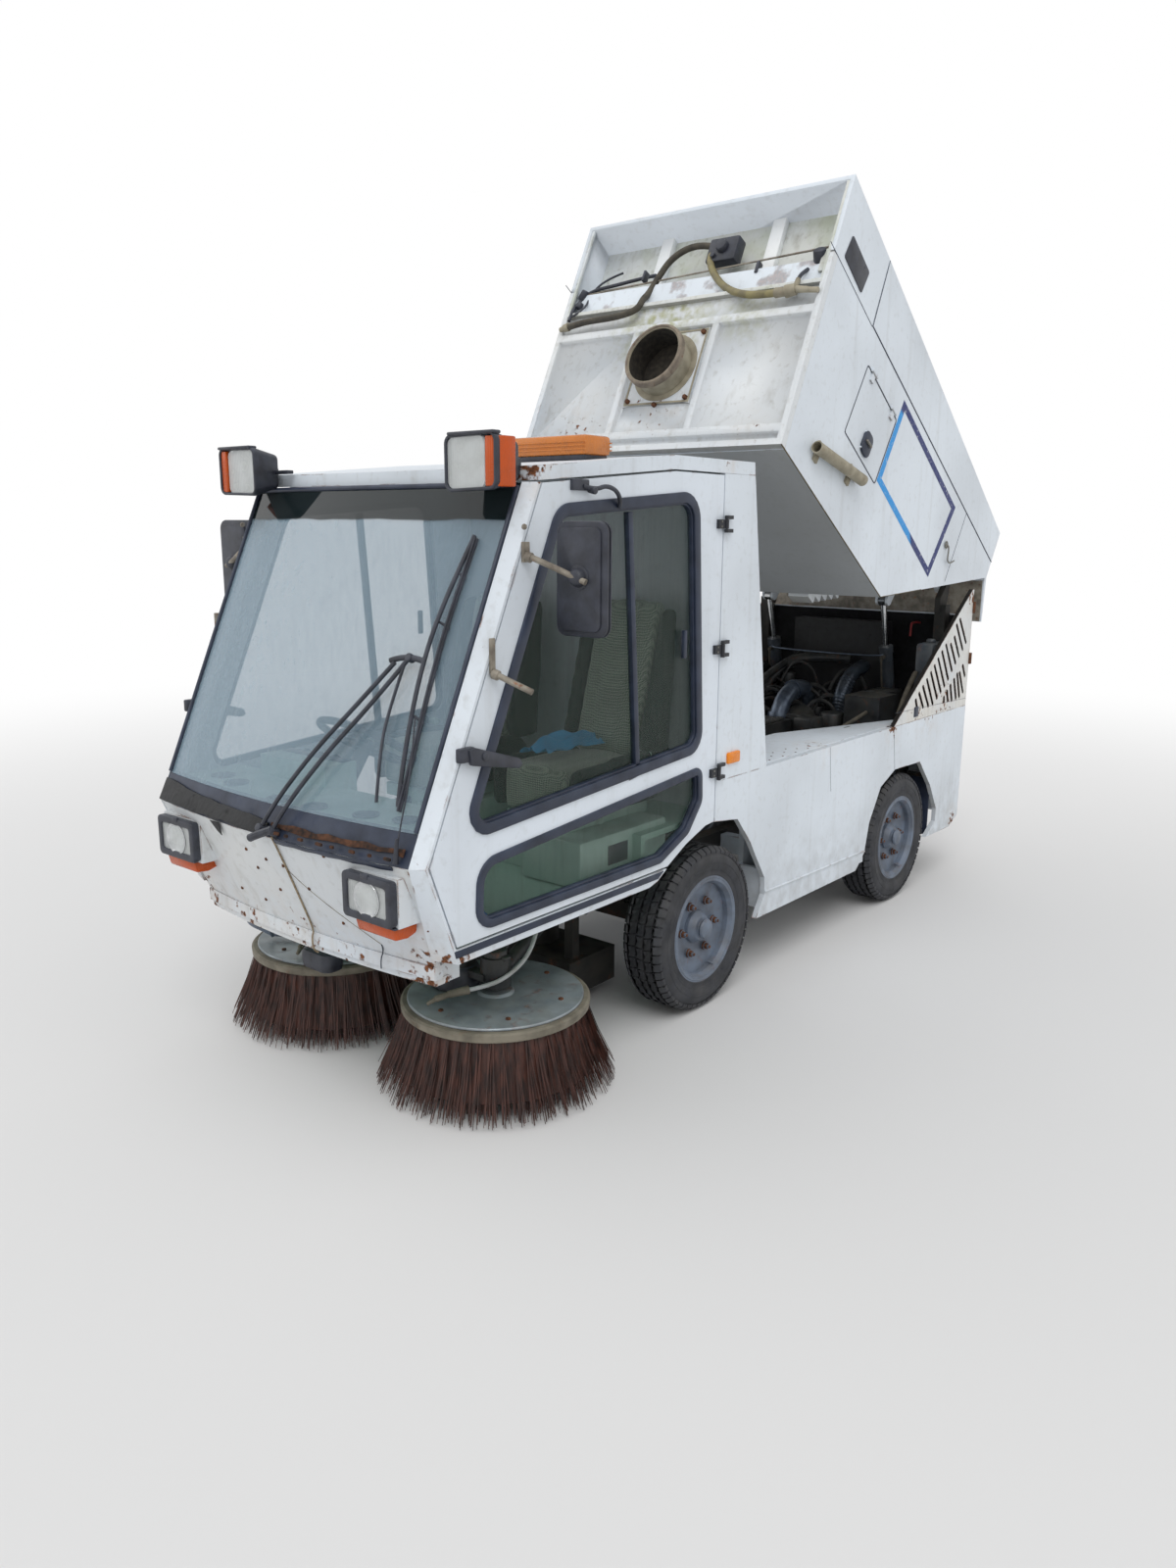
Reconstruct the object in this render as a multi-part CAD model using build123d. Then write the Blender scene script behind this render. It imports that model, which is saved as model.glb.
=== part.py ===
from build123d import *
import math
import os

# Compact road sweeper with a rear-tipping hopper. Millimetres, front towards -Y, left side towards +X, +Z up.
# The origin is on the floor, at the middle of the vehicle's box with the hopper raised.

# Overall body
BODY_HALF = 678.0
PILLAR_HALF = 636.0
PILLAR_D = 36.0
NOSE_FRONT_Y = -2190.0
WALL = 22.0
SKIN = 12.0
PANEL_GAP = 5.0
SEAT_GAP = 0.3
TUBE_WALL = 6.0

# Wheels and axles
WHEELBASE = 1725.0
FRONT_AXLE_Y = -620.0
REAR_AXLE_Y = FRONT_AXLE_Y + WHEELBASE
TYRE_R = 325.0
TYRE_W = 178.0
RIM_R = 196.0
RIM_SHELL = 7.0
WHEEL_X = 587.0
HUB_R = 78.0
STUD_PCD_R = 108.0
STUD_COUNT = 6
STUD_R = 11.0
STUB_R = 25.0
RUN_GAP = 0.3
KINGPIN_X = 500.0
KINGPIN_R = 17.0
STEER_DEG = 28.0
STEER_ARM = 120.0
TRACK_ROD_R = 13.0
AXLE_BEAM_H = 70.0

# Chassis
RAIL_X = 262.0
RAIL_W = 60.0
RAIL_LOW = 400.0
RAIL_HIGH = 510.0
RAIL_FRONT_Y = -1180.0
CROSS_Y = (RAIL_FRONT_Y + 30, -150.0, 480.0, 900.0, 1775.0)
REAR_FACE_Y = 1865.0
REAR_TOP_Z = 1392.0
LEDGE_Z = 905.0
LEDGE_W = 150.0

# Cab, side view
ROOF_FRONT = (-1594.0, 2011.0)
ROOF_KINK = (-905.0, 2073.0)
ROOF_REAR = (-400.0, 2071.0)
ROOF_H = 46.0
CAB_REAR_LOW = (-232.0, 934.0)
SCREEN_LOW = (-2093.0, 906.0)
GLASS_LOW_Z = 998.0
SCREEN_BOW = 50.0
SCREEN_T = 6.0
NOSE_LOW = (-1957.0, 562.0)
NOSE_LOW_HALF = 590.0
NOSE_LOW_BOW = 42.0
NOSE_T = 18.0
NOSE_LEAN = 118.0
SILL_Z = 590.0
FLOOR_T = 40.0
CAB_BACK_Y = -545.0
DOOR_T = 34.0
DOOR_REAR_Y = -603.0
DOOR_GAP = 6.0
DOOR_BOTTOM_Z = 645.0
HINGE_X = BODY_HALF + 14.0
HINGE_Y = -600.0
HINGE_R = 8.0
HINGE_HALF = 16.0
HINGE_END = 30.0
HINGE_PIN_R = 4.0

# Hopper, side view with the hopper down
TIP_REST = 33.0
PIVOT = (1865.0, 1545.0)
HOP_A = (-352.0, 2062.0)
HOP_B = (-196.0, 925.0)
HOP_C = (935.0, 925.0)
HOP_D = (1997.0, 1672.0)
HOP_E = (1997.0, 1950.0)
LID_FRONT_TOP = (80.0, 2043.0)
LID_FRONT_LOW = (125.0, 1742.0)
LID_REAR_LOW_Z = 1770.0
HOOD_Z = 1737.0
LID_HINGE_X = (-450.0, 0.0, 450.0)
HOP_HALF = 668.0
HOP_T = 20.0
SPIGOT_R = 150.0
SPIGOT_T = 8.0
SPIGOT_S = 765.0
SPIGOT_L = 95.0
LUG_X = 470.0
LUG_T = 28.0
LUG_R = 46.0
PIVOT_PIN_R = 20.0
LIP_L = 240.0
DUCT_HALF = 100.0
DUCT_T = 8.0
DUCT_FRONT_Y = -960.0
DUCT_BACK_Y = -400.0
DUCT_LOW = 400.0
DUCT_HIGH = 565.0
SEAL_GAP = 10.0

# Lift cylinders
CYL_X = 340.0
CYL_BASE = (1735.0, 560.0)
CYL_TOP_REST = (1490.0, 1470.0)
BARREL_R = 34.0
ROD_R = 16.0
BARREL_L = 690.0
ROD_START = 420.0
EYE_R = 28.0
EYE_HALF = 18.0
CHEEK_GAP = 3.0
CHEEK_T = 12.0

# Brushes
BRUSH_X = 420.0
BRUSH_Y = -1530.0
PLATE_R = 300.0
SHAFT_R = 14.0
PLATE_Z = 290.0
RING_R = 322.0
TIP_R = 405.0
TIP_Z = 4.0
TUFTS = 44
ARM_PIVOT_Y = -1010.0
ARM_PIVOT_Z = 455.0
ARM_R = 24.0
ARM_X = 345.0
ARM_PIN_R = 16.0


def box(x0, x1, y0, y1, z0, z1):
    """Box between two corners."""
    return Pos((x0 + x1) / 2, (y0 + y1) / 2, (z0 + z1) / 2) * Box(abs(x1 - x0), abs(y1 - y0), abs(z1 - z0))


def side_plate(points, x0, x1):
    """Prism whose outline is drawn in side view as (y, z) points."""
    outline = make_face(Polyline(*[(x0, y, z) for y, z in points], close=True))
    return extrude(outline, amount=x1 - x0, dir=(1, 0, 0))


def round_plate(points, radii, x0, x1):
    """Side-view prism with rounded corners."""
    outline = make_face(FilletPolyline(*[(x0, y, z) for y, z in points], radius=radii, close=True))
    return extrude(outline, amount=x1 - x0, dir=(1, 0, 0))


def rod(a, b, r):
    """Round bar between two points."""
    start, end = Vector(*a), Vector(*b)
    along = end - start
    return extrude(Plane(origin=start, z_dir=along) * Circle(r), amount=along.length)


def pipe(a, b, r, wall):
    """Round tube between two points."""
    start, end = Vector(*a), Vector(*b)
    along = end - start
    ring = Circle(r) - Circle(r - wall)
    return extrude(Plane(origin=start, z_dir=along) * ring, amount=along.length)


def bent_rod(points, radii, r):
    """Round bar along straight runs joined by arcs."""
    path = FilletPolyline(*points, radius=radii)
    return sweep(Plane(origin=path @ 0, z_dir=path % 0) * Circle(r), path=path)


def drum_x(x0, x1, y, z, r):
    """Cylinder along X."""
    return rod((x0, y, z), (x1, y, z), r)


def mirror_x(shape):
    """The same piece on the other side."""
    return mirror(shape, about=Plane.YZ)


def both(shape):
    """A left piece and its mirror as solids of one node."""
    return Compound([*shape.solids(), *mirror_x(shape).solids()])


def group(*shapes):
    """Several solids that share a node."""
    return Compound([s for shape in shapes for s in shape.solids()])


def line_y(a, b, z):
    """Y on the line from a to b, both (y, z), at height z."""
    return a[0] + (b[0] - a[0]) * (z - a[1]) / (b[1] - a[1])


def line_z(a, b, y):
    """Z on the line from a to b, both (y, z), at station y."""
    return a[1] + (b[1] - a[1]) * (y - a[0]) / (b[0] - a[0])


def turned(y, z, degrees):
    """A side-view point turned about the hopper pivot."""
    a = math.radians(degrees)
    dy, dz = y - PIVOT[0], z - PIVOT[1]
    return PIVOT[0] + dy * math.cos(a) - dz * math.sin(a), PIVOT[1] + dy * math.sin(a) + dz * math.cos(a)


def raised(shape):
    """Tips a piece drawn with the hopper down to where it stands at rest."""
    about = Axis((0, PIVOT[0], PIVOT[1]), (1, 0, 0))
    return shape.rotate(about, -TIP_REST)


def bow_face(half, bow, front_y, z, depth):
    """Plan-view crescent: an arc across the front, thick by depth."""
    outer = ThreePointArc((-half, front_y, z), (0, front_y - bow, z), (half, front_y, z))
    inner = ThreePointArc((half, front_y + depth, z), (0, front_y - bow + depth, z), (-half, front_y + depth, z))
    return make_face([outer, Line((half, front_y, z), (half, front_y + depth, z)), inner,
                      Line((-half, front_y + depth, z), (-half, front_y, z))])


def bow_block(half, bow, front_y, back_y, z0, z1):
    """Block with a bowed front face."""
    front = ThreePointArc((-half, front_y, z0), (0, front_y - bow, z0), (half, front_y, z0))
    sides = Polyline((half, front_y, z0), (half, back_y, z0), (-half, back_y, z0), (-half, front_y, z0))
    return extrude(make_face([front, *sides.edges()]), amount=z1 - z0, dir=(0, 0, 1))


# Cab

SCREEN_SLOPE = (ROOF_FRONT[0] - SCREEN_LOW[0]) / (ROOF_FRONT[1] - SCREEN_LOW[1])


def screen_y(z):
    """Station of the windscreen's side edge at height z."""
    return SCREEN_LOW[0] + SCREEN_SLOPE * (z - SCREEN_LOW[1])


def corner_y(z):
    """Station of the front corner at height z: the windscreen's slope above, the nose's below."""
    if z >= SCREEN_LOW[1]:
        return screen_y(z)
    return SCREEN_LOW[0] + NOSE_LEAN * (SCREEN_LOW[1] - z) / (SCREEN_LOW[1] - SILL_Z)


def cab_roof():
    """Roof skin with a bowed front lip, folded at the kink."""
    low = [(y, z - ROOF_H) for y, z in (ROOF_FRONT, ROOF_KINK, ROOF_REAR)]
    back = line_y(ROOF_REAR, CAB_REAR_LOW, ROOF_REAR[1] - ROOF_H)
    outline = [ROOF_FRONT, ROOF_KINK, ROOF_REAR, (back, low[2][1]), low[1], (screen_y(low[0][1]), low[0][1])]
    front = ROOF_FRONT[0] - SCREEN_BOW - 1
    outline = [(front, ROOF_FRONT[1] - 6), *outline[:5], (front, low[0][1])]
    slab = side_plate(outline, -BODY_HALF, BODY_HALF)
    plan = bow_block(BODY_HALF, SCREEN_BOW + 8, ROOF_FRONT[0] + 8, 0, 1800, 2200)
    return slab & plan


def pillar_section(z, tuck=0.0):
    """Plan of the front pillar on the left side at height z, its inner edge drawn in by tuck."""
    y = corner_y(z)
    inner = PILLAR_HALF + SEAT_GAP - tuck
    return make_face(Polyline((inner, y - 2, z), (BODY_HALF, y + 26, z), (BODY_HALF, y + PILLAR_D, z),
                              (BODY_HALF - DOOR_T - DOOR_GAP, y + PILLAR_D, z), (inner - 24, y + 62, z),
                              (inner - 24, y + 34, z), (inner, y + 31, z), close=True))


def cab_pillar():
    """Left front pillar, from the nose's kink to the roof, with the nose corner under it."""
    middle, top = SCREEN_LOW[1], ROOF_FRONT[1] - ROOF_H
    tuck = (PILLAR_HALF - NOSE_LOW_HALF) * (middle - SILL_Z) / (middle - NOSE_LOW[1])
    upper = loft([pillar_section(middle), pillar_section(top)], ruled=True)
    lower = loft([pillar_section(SILL_Z, tuck), pillar_section(middle)], ruled=True)
    return upper + lower


def windscreen():
    """Curved laminated glass, leaning back."""
    z0, z1 = GLASS_LOW_Z, ROOF_FRONT[1] - ROOF_H - 2
    face = bow_face(PILLAR_HALF, SCREEN_BOW, screen_y(z0), z0, SCREEN_T)
    return extrude(face, amount=(z1 - z0) * math.hypot(1, SCREEN_SLOPE), dir=(0, SCREEN_SLOPE, 1))


def cowl():
    """Rubber and steel strip under the glass, where the wipers sit."""
    z0, z1 = SCREEN_LOW[1], GLASS_LOW_Z - 1
    face = bow_face(PILLAR_HALF, SCREEN_BOW, screen_y(z0), z0, 30)
    return extrude(face, amount=(z1 - z0) * math.hypot(1, SCREEN_SLOPE), dir=(0, SCREEN_SLOPE, 1))


def nose_panel():
    """Bowed front panel that leans back towards the brushes, with the lamp pods."""
    top = bow_face(PILLAR_HALF, SCREEN_BOW, SCREEN_LOW[0], SCREEN_LOW[1] - SEAT_GAP, NOSE_T)
    bottom = bow_face(NOSE_LOW_HALF, NOSE_LOW_BOW, NOSE_LOW[0], NOSE_LOW[1], NOSE_T)
    panel = loft([top, bottom], ruled=True)
    for side in (-1, 1):
        pod = box(side * (HEAD_IN - 12), side * (HEAD_OUT + 8), HEAD_Y + 14, NOSE_LOW[0] + 40, HEAD_LOW - 10, HEAD_HIGH + 10)
        panel = panel + (pod - nose_room(1))
    return panel


def nose_room(off):
    """Everything behind the nose's outer face, moved back by off."""
    top = bow_face(PILLAR_HALF, SCREEN_BOW, SCREEN_LOW[0] + off, SCREEN_LOW[1] - SEAT_GAP, 600)
    return loft([top, bow_face(NOSE_LOW_HALF, NOSE_LOW_BOW, NOSE_LOW[0] + off, NOSE_LOW[1], 600)], ruled=True)


HEAD_OUT = 595.0
HEAD_IN = 395.0
HEAD_LOW = 735.0
HEAD_HIGH = 862.0
HEAD_Y = -2120.0


def headlamps():
    """Two rectangular lamps in thick frames, with an amber turn lamp under each."""
    lamp = box(HEAD_IN, HEAD_OUT, HEAD_Y - 8, HEAD_Y + 13.7, HEAD_LOW, HEAD_HIGH)
    return both(lamp)


def turn_lamps():
    """Amber lamps hanging under the headlamps."""
    z1 = HEAD_LOW - 10 - SEAT_GAP
    lens = side_plate([(HEAD_Y + 4, z1), (HEAD_Y + 14, z1 - 42), (HEAD_Y + 92, z1 - 42), (HEAD_Y + 96, z1)],
                      HEAD_IN + 25, HEAD_OUT - 5)
    return both(lens - nose_room(-SEAT_GAP))


def apron():
    """White apron and the bumper bar under the nose."""
    upper = bow_block(NOSE_LOW_HALF - 2, NOSE_LOW_BOW, NOSE_LOW[0] - 4, NOSE_LOW[0] + 30, NOSE_LOW[1] - 44, NOSE_LOW[1] - SEAT_GAP)
    bar = bow_block(NOSE_LOW_HALF - 8, NOSE_LOW_BOW, NOSE_LOW[0] + 6, NOSE_LOW[0] + 60, NOSE_LOW[1] - 66, NOSE_LOW[1] - 44)
    ears = both(box(NOSE_LOW_HALF - 90, NOSE_LOW_HALF - 12, NOSE_LOW[0] + 29, FLOOR_FRONT_Y, NOSE_LOW[1] - 66,
                    SILL_Z - SEAT_GAP))
    plate = upper + bar
    for ear in ears.solids():
        plate = plate + ear
    eye = box(-45, 45, NOSE_LOW[0] + 55, FLOOR_FRONT_Y, NOSE_LOW[1] - 62, NOSE_LOW[1] - 38)
    return plate + eye - rod((0, TOW_Y, 0), (0, TOW_Y, SILL_Z), TOW_R)


FLOOR_FRONT_Y = -1850.0
TOW_Y = FLOOR_FRONT_Y - 24.0
TOW_R = 14.0


def cab_floor():
    """Floor pan with the foot-well front, raised over the front wheels."""
    pan = box(-BODY_HALF + 8, BODY_HALF - 8, FLOOR_FRONT_Y, -1010, SILL_Z, SILL_Z + FLOOR_T)
    toe = bow_block(NOSE_LOW_HALF - 30, NOSE_LOW_BOW, NOSE_LOW[0] + NOSE_T + 4, FLOOR_FRONT_Y + 1, SILL_Z, SILL_Z + FLOOR_T)
    middle = box(-WELL_X, WELL_X, -1011, CAB_BACK_Y, SILL_Z, SILL_Z + FLOOR_T)
    steps = []
    for side in (-1, 1):
        front = box(side * WELL_X, side * (BODY_HALF - DOOR_T - 6), -1010, -1010 + WALL, SILL_Z, WELL_TOP)
        top = box(side * WELL_X, side * (BODY_HALF - DOOR_T - 6), -1010, CAB_BACK_Y, WELL_TOP - WALL, WELL_TOP)
        wall = box(side * WELL_X, side * (WELL_X - WALL), -1010, CAB_BACK_Y, SILL_Z, WELL_TOP)
        steps += [front, top, wall]
    return pan + toe + middle + steps + cab_sill().solids()


WELL_X = 325.0
WELL_TOP = 775.0


def cab_back():
    """Rear bulkhead with the two side wings behind the doors."""
    front, back, top = CAB_BACK_Y + SEAT_GAP, CAB_BACK_Y + WALL, ROOF_REAR[1] - ROOF_H - SEAT_GAP
    bulkhead = box(-BODY_HALF + WALL, BODY_HALF - WALL, front, back, WELL_TOP - WALL, top)
    bulkhead = bulkhead + box(-WELL_X, WELL_X, front, back, SILL_Z, WELL_TOP)
    low = LEDGE_Z + SEAT_GAP
    wing = side_plate([(DOOR_REAR_Y + DOOR_GAP, low), (line_y(ROOF_REAR, CAB_REAR_LOW, low), low),
                       (line_y(ROOF_REAR, CAB_REAR_LOW, top), top), (DOOR_REAR_Y + DOOR_GAP, top)],
                      BODY_HALF - WALL - 1, BODY_HALF)
    for z in HINGE_HEIGHTS:
        wing = wing + door_hinge_seat(z)
    return bulkhead + wing + mirror_x(wing)


def door_hinge_seat(z):
    """Fixed half of a door hinge: its pin, two end knuckles and their leaves on the side wing."""
    seat = rod((HINGE_X, HINGE_Y, z - HINGE_END), (HINGE_X, HINGE_Y, z + HINGE_END), HINGE_PIN_R)
    for z0, z1 in ((z - HINGE_END, z - HINGE_HALF - 1), (z + HINGE_HALF + 1, z + HINGE_END)):
        seat = seat + rod((HINGE_X, HINGE_Y, z0), (HINGE_X, HINGE_Y, z1), HINGE_R)
        seat = seat + box(BODY_HALF - 1, HINGE_X, HINGE_Y + HINGE_R - 1, HINGE_Y + 45, z0, z1)
        seat = seat + box(HINGE_X - 6, HINGE_X, HINGE_Y, HINGE_Y + 20, z0, z1)
    return seat


def cab_sill():
    """Sill under each door, from the nose corner to the wheel arch."""
    top = DOOR_BOTTOM_Z - 8
    back = PILLAR_D + SEAT_GAP
    outline = [(corner_y(SILL_Z + 1) + back, SILL_Z + 1), (-1010, SILL_Z + 1), (-960, SILL_Z + 12), (-905, top),
               (corner_y(top) + back, top)]
    return both(side_plate(outline, BODY_HALF - 12, BODY_HALF))


DOOR_FRONT = PILLAR_D + DOOR_GAP
DOOR_OUTLINE = [(screen_y(1963) + DOOR_FRONT, 1963), (-901, 2021), (DOOR_REAR_Y, 2019), (DOOR_REAR_Y, 752), (-660, 748),
                (-787, 703), (-900, DOOR_BOTTOM_Z), (corner_y(DOOR_BOTTOM_Z) + DOOR_FRONT, DOOR_BOTTOM_Z),
                (SCREEN_LOW[0] + DOOR_FRONT, SCREEN_LOW[1])]
UPPER_WINDOW = [(-1940, 950), (-1510, 1905), (-762, 1962), (-702, 1040)]
UPPER_RADII = [75, 95, 95, 85]
LOWER_WINDOW = [(-1880, 668), (-1868, 885), (-700, 985), (-692, 850), (-780, 742), (-950, 668)]
LOWER_RADII = [70, 90, 40, 60, 60, 60]
SEAL_W = 36.0


def inset(points, by):
    """Window outline moved inwards by about the seal's width."""
    cy = sum(p[0] for p in points) / len(points)
    cz = sum(p[1] for p in points) / len(points)
    moved = []
    for n, (y, z) in enumerate(points):
        before, after = points[n - 1], points[(n + 1) % len(points)]
        a, b = Vector(y - before[0], z - before[1]).normalized(), Vector(after[0] - y, after[1] - z).normalized()
        turn = 1 if (a.X * (cz - z) - a.Y * (cy - y)) > 0 else -1
        na, nb = Vector(-a.Y, a.X) * turn, Vector(-b.Y, b.X) * turn
        corner = (na + nb) * (by / (1 + na.dot(nb)))
        moved.append((y + corner.X, z + corner.Y))
    return moved


def door_left():
    """Door shell with both windows cut, hinge leaves at its rear edge and a latch arm at its front."""
    shell = side_plate(DOOR_OUTLINE, BODY_HALF - DOOR_T, BODY_HALF)
    for points, radii in ((UPPER_WINDOW, UPPER_RADII), (LOWER_WINDOW, LOWER_RADII)):
        hole = round_plate(inset(points, SEAL_W / 2), [r - SEAL_W / 2 for r in radii], BODY_HALF - 60, BODY_HALF + 60)
        shell = shell - hole
    for z in HINGE_HEIGHTS:
        low, high = z - HINGE_HALF, z + HINGE_HALF
        leaf = box(BODY_HALF - 1, HINGE_X, DOOR_REAR_Y - 44, HINGE_Y - HINGE_R + 1, low, high)
        web = box(HINGE_X - 6, HINGE_X, HINGE_Y - 20, HINGE_Y, low, high)
        barrel = rod((HINGE_X, HINGE_Y, low), (HINGE_X, HINGE_Y, high), HINGE_R)
        bore = rod((HINGE_X, HINGE_Y, low - 5), (HINGE_X, HINGE_Y, high + 5), HINGE_PIN_R + RUN_GAP)
        shell = shell + (leaf + web + barrel - bore)
    return shell


HINGE_HEIGHTS = (1850.0, 1405.0, 945.0)


def door_glass_left():
    """Upper and lower panes in their rubber seals."""
    panes = []
    for points, radii in ((UPPER_WINDOW, UPPER_RADII), (LOWER_WINDOW, LOWER_RADII)):
        gap = SEAL_W / 2 + 0.3
        panes.append(round_plate(inset(points, gap), [r - gap for r in radii], BODY_HALF - 20, BODY_HALF - 14))
    return group(*panes)


def mirror_left():
    """Door mirror: bracket, arm, ball and a rounded head that faces back."""
    x0, y0, z0 = BODY_HALF + 0.3, -1652.0, 1742.0
    bracket = box(x0, x0 + 12, y0 - 14, y0 + 14, z0 - 60, z0 + 70)
    arm = rod((x0 + 10, y0, z0 - 20), (x0 + 190, y0 + 18, z0 - 44), 8)
    head = extrude(Plane(origin=(x0 + 165, y0 + 52, z0 - 50), z_dir=(0, 1, 0)) * RectangleRounded(190, 330, 34), amount=26)
    ball = Pos(x0 + 165, y0 + 34, z0 - 42) * Sphere(27)
    second = box(x0, x0 + 12, -1812, -1784, 1405, 1500) + rod((x0 + 10, -1798, 1430), (x0 + 120, -1760, 1400), 8)
    return group(bracket + arm + ball + head, second)


def dashboard():
    """Shelf under the windscreen with the instrument hump and the side console."""
    top = GLASS_LOW_Z - 10
    shelf = bow_block(PILLAR_HALF - 26, SCREEN_BOW, screen_y(top) + 40, -1790, top - 60, top)
    hump = box(-420, -60, -1830, -1700, top - 120, top + 70)
    leg = box(-150, 150, -1880, -1790.3, SILL_Z + FLOOR_T + SEAT_GAP, top - 59)
    shelf = shelf + leg
    return shelf + hump


def steering():
    """Column and wheel on the driver's side, the vehicle's right."""
    x = -240.0
    centre, tilt = Vector(x, -1500, 1075), 32.0
    plane = Plane(origin=centre, z_dir=(0, math.sin(math.radians(tilt)), math.cos(math.radians(tilt))))
    rim = plane * Torus(180, 14)
    hub = plane * Pos(0, 0, -14) * Cylinder(34, 36)
    spokes = [plane * Rot(0, 0, a) * Pos(94, 0, -8) * Box(176, 30, 10) for a in (90, 210, 330)]
    column = rod(tuple(centre - plane.z_dir * 20), (x, -1799.9, 645), 26)
    wheel = rim + hub
    for spoke in spokes:
        wheel = wheel + spoke
    return wheel + column


def seat(x):
    """Seat cushion and backrest with a plain base."""
    w = 215
    cushion = round_plate([(-1260, 830), (-1250, 930), (-760, 905), (-700, 800)], [40, 40, 20, 20], x - w, x + w)
    back = round_plate([(-800, 850), (-842, 930), (-700, 1560), (-610, 1560), (-650, 850)], [20, 20, 45, 45, 20],
                       x - w, x + w)
    return cushion + back


def seat_with_base(side):
    """Seat on its steel box over the floor."""
    z = SILL_Z + FLOOR_T + SEAT_GAP
    base = box(side * 115, side * (WELL_X - WALL - 1), -1220, -830, z, 850)
    return seat(side * 330) + base


# Hopper

def hopper_body():
    """Load space open at the top under the lid: sides, floor, sloping rear floor and rear lip."""
    seam_rear = (HOP_E[0], LID_REAR_LOW_Z - PANEL_GAP)
    outline = [(line_y(HOP_A, HOP_B, HOOD_Z), HOOD_Z), HOP_B, HOP_C, HOP_D, seam_rear, (LID_FRONT_LOW[0], HOOD_Z)]
    solid = side_plate(outline, -HOP_HALF, HOP_HALF)
    slope = math.atan2(HOP_D[1] - HOP_C[1], HOP_D[0] - HOP_C[0])
    up = HOP_T / math.cos(slope)
    front = FRONT_WALL_T + 1
    inner = [(line_y(HOP_A, HOP_B, 1800) + front, 1800),
             (line_y(HOP_A, HOP_B, HOP_B[1] + HOP_T) + front, HOP_B[1] + HOP_T),
             (HOP_C[0] - HOP_T * math.tan(slope / 2), HOP_B[1] + HOP_T),
             (HOP_D[0] - HOP_T, line_z(HOP_C, HOP_D, HOP_D[0] - HOP_T) + up), (HOP_D[0] - HOP_T, 1800)]
    solid = solid - side_plate(inner, -HOP_HALF + HOP_T, HOP_HALF - HOP_T)
    face = [(line_y(HOP_A, HOP_B, 1740) - 5, 1740), (HOP_B[0] - 5, HOP_B[1] - 1), (HOP_B[0] + front, HOP_B[1] - 1),
            (line_y(HOP_A, HOP_B, 1740) + front, 1740)]
    solid = solid - side_plate(face, -HOP_HALF - 1, HOP_HALF + 1)
    for side in (-1, 1):
        y0, z0, y1, z1 = HATCH
        hole = side_plate([(y0, z0), (y1, z0), (y1, z1), (y0, z1)], side * (HOP_HALF - HOP_T - 1), side * (HOP_HALF + 1))
        solid = solid - hole
        lug_x = side * LUG_X
        lug = side_plate([turned_down(-120), turned_down(90), (PIVOT[0] + LUG_R * 0.8, PIVOT[1] - LUG_R * 0.55),
                          (PIVOT[0] - LUG_R * 0.9, PIVOT[1] - LUG_R * 0.55)], lug_x, lug_x + side * LUG_T)
        lug = lug + drum_x(lug_x, lug_x + side * LUG_T, *PIVOT, LUG_R)
        lug = lug - floor_cutter()
        lug = lug - drum_x(lug_x - side * 5, lug_x + side * (LUG_T + 5), *PIVOT, PIVOT_PIN_R + RUN_GAP)
        solid = solid + lug
        for inner in (EYE_HALF + CHEEK_GAP, -EYE_HALF - CHEEK_GAP - CHEEK_T):
            x0 = side * CYL_X + inner
            cheek = side_plate([(CYL_TOP[0] - 24, CYL_TOP[1]), (CYL_TOP[0] + 24, CYL_TOP[1] - 14),
                                (CYL_TOP[0] + 70, CYL_TOP[1] + 220), (CYL_TOP[0] - 110, CYL_TOP[1] + 220)], x0, x0 + CHEEK_T)
            cheek = cheek + drum_x(x0, x0 + CHEEK_T, *CYL_TOP, EYE_R)
            solid = solid + (cheek - floor_cutter())
        y0, z0, y1, z1 = HATCH
        for y in HATCH_HINGE_Y:
            solid = solid + hatch_hinge_seat(side, y)
    return solid


def hatch_hinge_seat(side, y):
    """Fixed half of a hatch hinge on the hopper's side."""
    x, z = side * HATCH_AXIS_X, HATCH[3]
    seat = rod((x, y - 26, z), (x, y + 26, z), 3)
    for y0, y1 in ((y - 26, y - 15), (y + 15, y + 26)):
        seat = seat + rod((x, y0, z), (x, y1, z), 6) + box(side * (HOP_HALF - 1), x, y0, y1, z, z + 14)
    return seat


def turned_down(along):
    """A point on the sloping floor's underside, measured along it from the pivot."""
    dy, dz = HOP_D[0] - HOP_C[0], HOP_D[1] - HOP_C[1]
    length = math.hypot(dy, dz)
    y = PIVOT[0] + along * dy / length
    return y, line_z(HOP_C, HOP_D, y) + 4


def floor_cutter():
    """Everything above the sloping floor's underside by a little, so lugs stay outside the load space."""
    return side_plate([(HOP_C[0], HOP_C[1] + 10), (HOP_D[0], HOP_D[1] + 10), (HOP_D[0], 2600), (HOP_C[0], 2600)],
                      -HOP_HALF, HOP_HALF)


FRONT_WALL_T = 34.0
HATCH_AXIS_X = HOP_HALF + 8.0
HATCH = (190.0, 1266.0, 556.0, 1600.0)
HATCH_HINGE_Y = (HATCH[0] + 60, HATCH[2] - 60)
CYL_TOP = turned(*CYL_TOP_REST, TIP_REST)


def front_point(s, out=0.0):
    """Side-view point on the hopper's front face, s down from the top edge, out forwards of it."""
    dy, dz = HOP_B[0] - HOP_A[0], HOP_B[1] - HOP_A[1]
    length = math.hypot(dy, dz)
    uy, uz = dy / length, dz / length
    return HOP_A[0] + uy * s + uz * out, HOP_A[1] + uz * s - uy * out


def front_strip(s0, s1, x0, x1, out0, out1):
    """Block on the front face between s0 and s1, x0 and x1, from out0 to out1 proud of it."""
    return side_plate([front_point(s0, out0), front_point(s1, out0), front_point(s1, out1), front_point(s0, out1)], x0, x1)


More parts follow.
